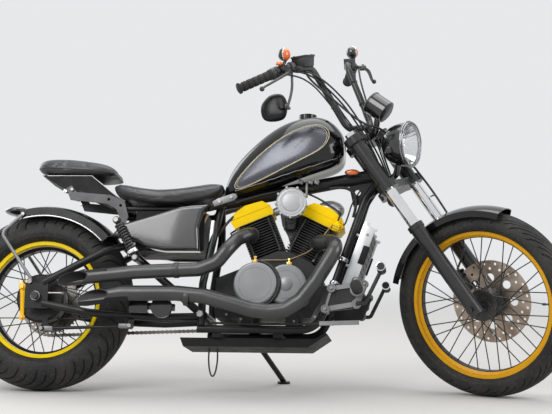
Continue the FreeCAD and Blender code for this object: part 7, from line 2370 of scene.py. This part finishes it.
class RearBrake:
    """The rear brake's arm and cylinder, the torque rod's forks, and the axle's nuts and adjusters."""

    def build(self) -> None:
        """Makes the brake linkage and axle details."""
        arm = Shell(CHASSIS)
        top, low = at(-64.0, -97.0, 366.0), at(-60.0, -97.0, 256.0)
        way = (top - low).normalized()
        path = [low, low.lerp(top, 0.3), low.lerp(top, 0.7), top]
        arm.tube(path, [8.5, 7.5, 8.5, 11.0], 20, flat=(LEFT, 0.55))
        for spot, radius in ((top, 13.0), (low, 11.0)):
            arm.lathe(spot, [(0, -7), (radius, -7), (radius, 7), (0, 7)], 28, LEFT)
        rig.replaces(arm.piece("rear_brake_arm", ARM_YELLOW, bevel=1.2), "brake_arm")
        gold = Fasteners("rear_brake_bolts", CHASSIS, GOLD)
        gold.hexagons(top + RIGHT * 9, RIGHT, 8.0, 5.0)
        gold.hexagons(low + RIGHT * 9, RIGHT, 7.0, 5.0)
        for hand in (-1, 1):
            gold.hexagons(top + way * 14 + at(hand * 12, 0, 0), way, 4.0, 9.0)
        gold.piece()
        steel = Fasteners("axle_nuts", CHASSIS, BOLT_STEEL)
        dark = Fasteners("axle_end_nuts", CHASSIS, BOLT_BLACK)
        for hand in (-1, 1):
            dark.hexagons(at(0, hand * 160.0, 326.5), LEFT * hand, 15.0, 9.0)
            steel.hexagons(at(92.0, hand * 132.0, 339.0), AHEAD, 7.0, 6.0)
            rod = Repeat(Layout.ROW, Fitting.CONE, 1, 0.0, (4.0, 4.0, 66.0), sides=14)
            steel.add(rod, facing(at(28.0, hand * 132.0, 339.0), AHEAD))
        for along, height in ((23.0, 212.0), (343.0, 224.0)):
            steel.hexagons(at(along, -134.0, height), RIGHT, 8.0, 5.0)
        steel.piece()
        dark.piece()
        block = Shell(CHASSIS)
        block.box(at(343, -150, 268), at(66, 0, 0), at(0, 34, 0), at(0, 0, 48))
        block.box(at(409, -142, 282), at(96, 0, -4), at(0, 22, 0), at(0, 0, 24))
        block.lathe(at(462, -146, 288), [(0, -2), (36, -2), (38, 0), (38, 20), (0, 20)], 48, RIGHT)
        block.piece("rear_brake_cylinder", LAMP_BLACK, bevel=1.4)
        ends = Shell(CHASSIS)
        for along, height, hand in ((23.0, 212.0, 1), (343.0, 224.0, -1)):
            spot = at(along, -120.0, height)
            for side in (-7.5, 7.5):
                ends.box(spot + at(-8 if hand > 0 else -40, side - 1.5, -8), at(48, 0, 0),
                         at(0, 3, 0), at(0, 0, 16))
        ends.piece("torque_rod_forks", GREY_ALLOY, bevel=1.5)


class FootRests:
    """The forward controls: bosses, bolts, ringed pegs and chrome-rimmed pedal pads."""

    arms = (((1063.5, 357), (1150, 370), 15.0), ((1043, 284), (1151, 303), 17.0),
            ((1178, 372), (1151, 303), 20.0), ((1063.5, 357), (1043, 284), 9.0))

    def arm(self, shell: Shell, start: tuple[float, float], end: tuple[float, float], width: float,
            hand: int) -> None:
        """Adds a raised bar between two bosses of one side's plate."""
        first = at(start[0], hand * 167.0, start[1])
        last = at(end[0], hand * 167.0, end[1])
        across = (last - first).normalized().cross(LEFT) * (width / 2)
        shell.prism([first - across, last - across, last + across, first + across], LEFT * (hand * 7.0))

    def build(self) -> None:
        """Makes the details of both forward controls."""
        bosses = Shell(CHASSIS)
        rubber = Shell(CHASSIS)
        chrome = Shell(CHASSIS)
        bolts = Fasteners("control_bolts", CHASSIS, BOLT_STEEL)
        for hand in (-1, 1):
            out = LEFT * hand
            for along, height, radius, rise in ((1063.5, 357, 15, 6), (1043, 284, 14, 6),
                                                (1178, 372, 13, 5), (1151, 303, 15, 6)):
                spot = at(along, hand * 178.2, height)
                bosses.lathe(spot, [(0, -9.6), (radius + 2, -9.6), (radius + 1, 0), (radius, rise),
                                    (radius - 4, rise), (radius - 5, rise - 2), (0, rise - 2)], 36, out)
                bolts.hexagons(spot + out * (rise + 1), out, radius * 0.42, 5.0)
            peg = at(1154.4, hand * 178.3, 353.0)
            profile = [(17.2, 4), (19.5, 6)]
            for index in range(6):
                start = 10 + index * 13.5
                profile += [(19.5, start), (19.5, start + 8), (17.4, start + 10), (17.4, start + 12)]
            profile += [(19.5, 93), (19.5, 97), (15, 99.5), (0, 99.5), (0, 96.6), (17.2, 96.6)]
            rubber.lathe(peg, profile, 36, out)
            boss = [(0, -6), (24, -6), (26, -2), (26, 6), (22, 9), (17.3, 9), (17.3, -5.8)]
            bosses.lathe(peg, boss, 36, out)
            bosses.ball(at(1149.0, hand * 186.0, 381.0), 15.0)
            pad = at(1238.0, hand * 186.6, 421.0)
            profile = [(13.2, 2)]
            for index in range(5):
                start = 5 + index * 13.0
                profile += [(15.4, start), (15.4, start + 8), (13.8, start + 9.5), (13.8, start + 11.5)]
            profile += [(15.4, 70), (15.4, 73), (0, 74.6), (0, 74.3), (13.2, 74.3)]
            rubber.lathe(pad, profile, 32, out)
            chrome.lathe(pad + out * 74.5, [(0, -0.4), (14.5, -0.4), (16.0, 0.6), (16.0, 3.0), (14.0, 3.6),
                                            (12.5, 2.0), (0, 2.0)], 36, out)
            chrome.lathe(pad, [(13.2, -13), (16.2, -13), (16.2, -10), (13.2, -10)], 36, out)
            for start, end, width in self.arms:
                self.arm(bosses, start, end, width, hand)
        bosses.box(at(1023, -172, 227), at(138, 0, 5), at(0, 12, 0), at(0, 0, 14))
        rubber.strand(((1030, -166, 234), (960, -158, 232), (760, -142, 232), (640, -140, 236)), 4.2)
        bosses.piece("control_bosses", GREY_ALLOY, angle=40.0)
        rubber.piece("peg_rubbers", GRIP_RUBBER, angle=40.0)
        chrome.piece("pedal_rims", CHROME, angle=40.0)
        bolts.piece()


class TankTrim:
    """The tank's graphite panels, the two fine lines round each and a painted highlight along its foot."""

    seam_rise = 14.0
    outline = ((691, 741), (717, 727), (830, 774), (939, 826), (1017, 866), (1045, 911), (1037, 951),
               (990, 970), (900, 937), (793, 860), (724, 788))

    def foot_line(self, surface: BVHTree, hand: int) -> list[Vector]:
        """Returns the line of the painted highlight, a little above the lowest points of one of the tank's sides."""
        line = []
        for along in range(700, 1100, 16):
            for height in range(640, 900, 3):
                if surface.ray_cast(at(along, hand * 400.0, height), LEFT * -hand)[0]:
                    start = at(along, hand * 400.0, height + self.seam_rise)
                    line += laid_on(surface, [start], LEFT * -hand, 0.2)
                    break
        return smooth_line(line)

    def build(self) -> None:
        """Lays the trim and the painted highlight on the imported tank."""
        surface = surface_of(frame["nodes"]["fuel_tank"].data, CHASSIS)
        stripe = Shell(CHASSIS)
        gold = Shell(CHASSIS)
        panel = Shell(CHASSIS)
        seam = Shell(CHASSIS)
        for hand in (-1, 1):
            loop = smooth_line([at(along, 0, height) for along, height in self.outline], closed=True)
            loop = even_line(loop, 4.0)
            for shell, inset, radius in ((stripe, 1.0, 1.05), (gold, 0.955, 0.6)):
                middle = at(880.0, 0.0, 850.0)
                starts = [middle.lerp(point, inset) + LEFT * (hand * 400) for point in loop]
                line = laid_on(surface, starts, LEFT * -hand, 0.1)
                shell.tube(line + line[:2], radius, 6)
            rows = []
            upper = [(share, 0.3) for share in np.linspace(0.0, 0.99, 16)]
            for share, lift in upper + [(0.99, -0.6), (0.75, -0.6), (0.5, -0.6), (0.25, -0.6), (0.0, -0.6)]:
                starts = [middle.lerp(point, share) + LEFT * (hand * 400) for point in loop]
                rows.append([tuple(point) for point in laid_on(surface, starts, LEFT * -hand, lift)])
            panel.grid(np.array(rows), False)
            # A grey line just above the tank's foot on each side: a painted highlight.
            foot = self.foot_line(surface, hand)
            seam.tube(foot, 1.9, 8)
        panel.piece("tank_panels", TANK_PANEL, angle=60.0)
        seam.piece("tank_foot_seam", GREY_ALLOY, angle=70.0)
        stripe.piece("tank_pinstripe", PINSTRIPE, angle=70.0)
        gold.piece("tank_fine_line", PINSTRIPE, angle=70.0)


def dress_nodes() -> None:
    """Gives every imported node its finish."""
    for name, obj in frame["nodes"].items():
        finish = FINISH_OF[name]
        material = PAINTS[finish]
        obj.data.materials.clear()
        obj.data.materials.append(material)
        for face in obj.data.polygons:
            face.use_smooth = True
        obj.data.set_sharp_from_angle(angle=math.radians(32))


def mix_paints() -> None:
    """Makes the material of every finish."""
    for value in list(globals().values()):
        if isinstance(value, Paint):
            PAINTS[value] = value.build()


def main() -> None:
    """Builds the studio and every piece, and reports them."""
    logging.basicConfig(level=logging.INFO, format="%(name)s: %(message)s")
    mix_paints()
    dress_nodes()
    Studio().build()
    Wheel(front_tyre(), 240.0, 36, 10.0).build()
    Wheel(rear_tyre(), 190.0, 36, 10.0).build()
    for part in (Handlebars(), Headlamp(), Gauge(), ControlCables(), BrakeHose(), DriveChain(),
                 Engine(), Cooler(), FrameDetails(), Exhaust(), Tail(), RearBrake(), FootRests(),
                 TankTrim(), solo_seat(), passenger_pad()):
        part.build()
    low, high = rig.bounds()
    sizes = {"cad": [list(corner) for corner in CAD_BOX], "visual": [list(low), list(high)]}
    with open("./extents.json", "w") as file:
        json.dump(sizes, file)


if __name__ == "__main__":
    main()
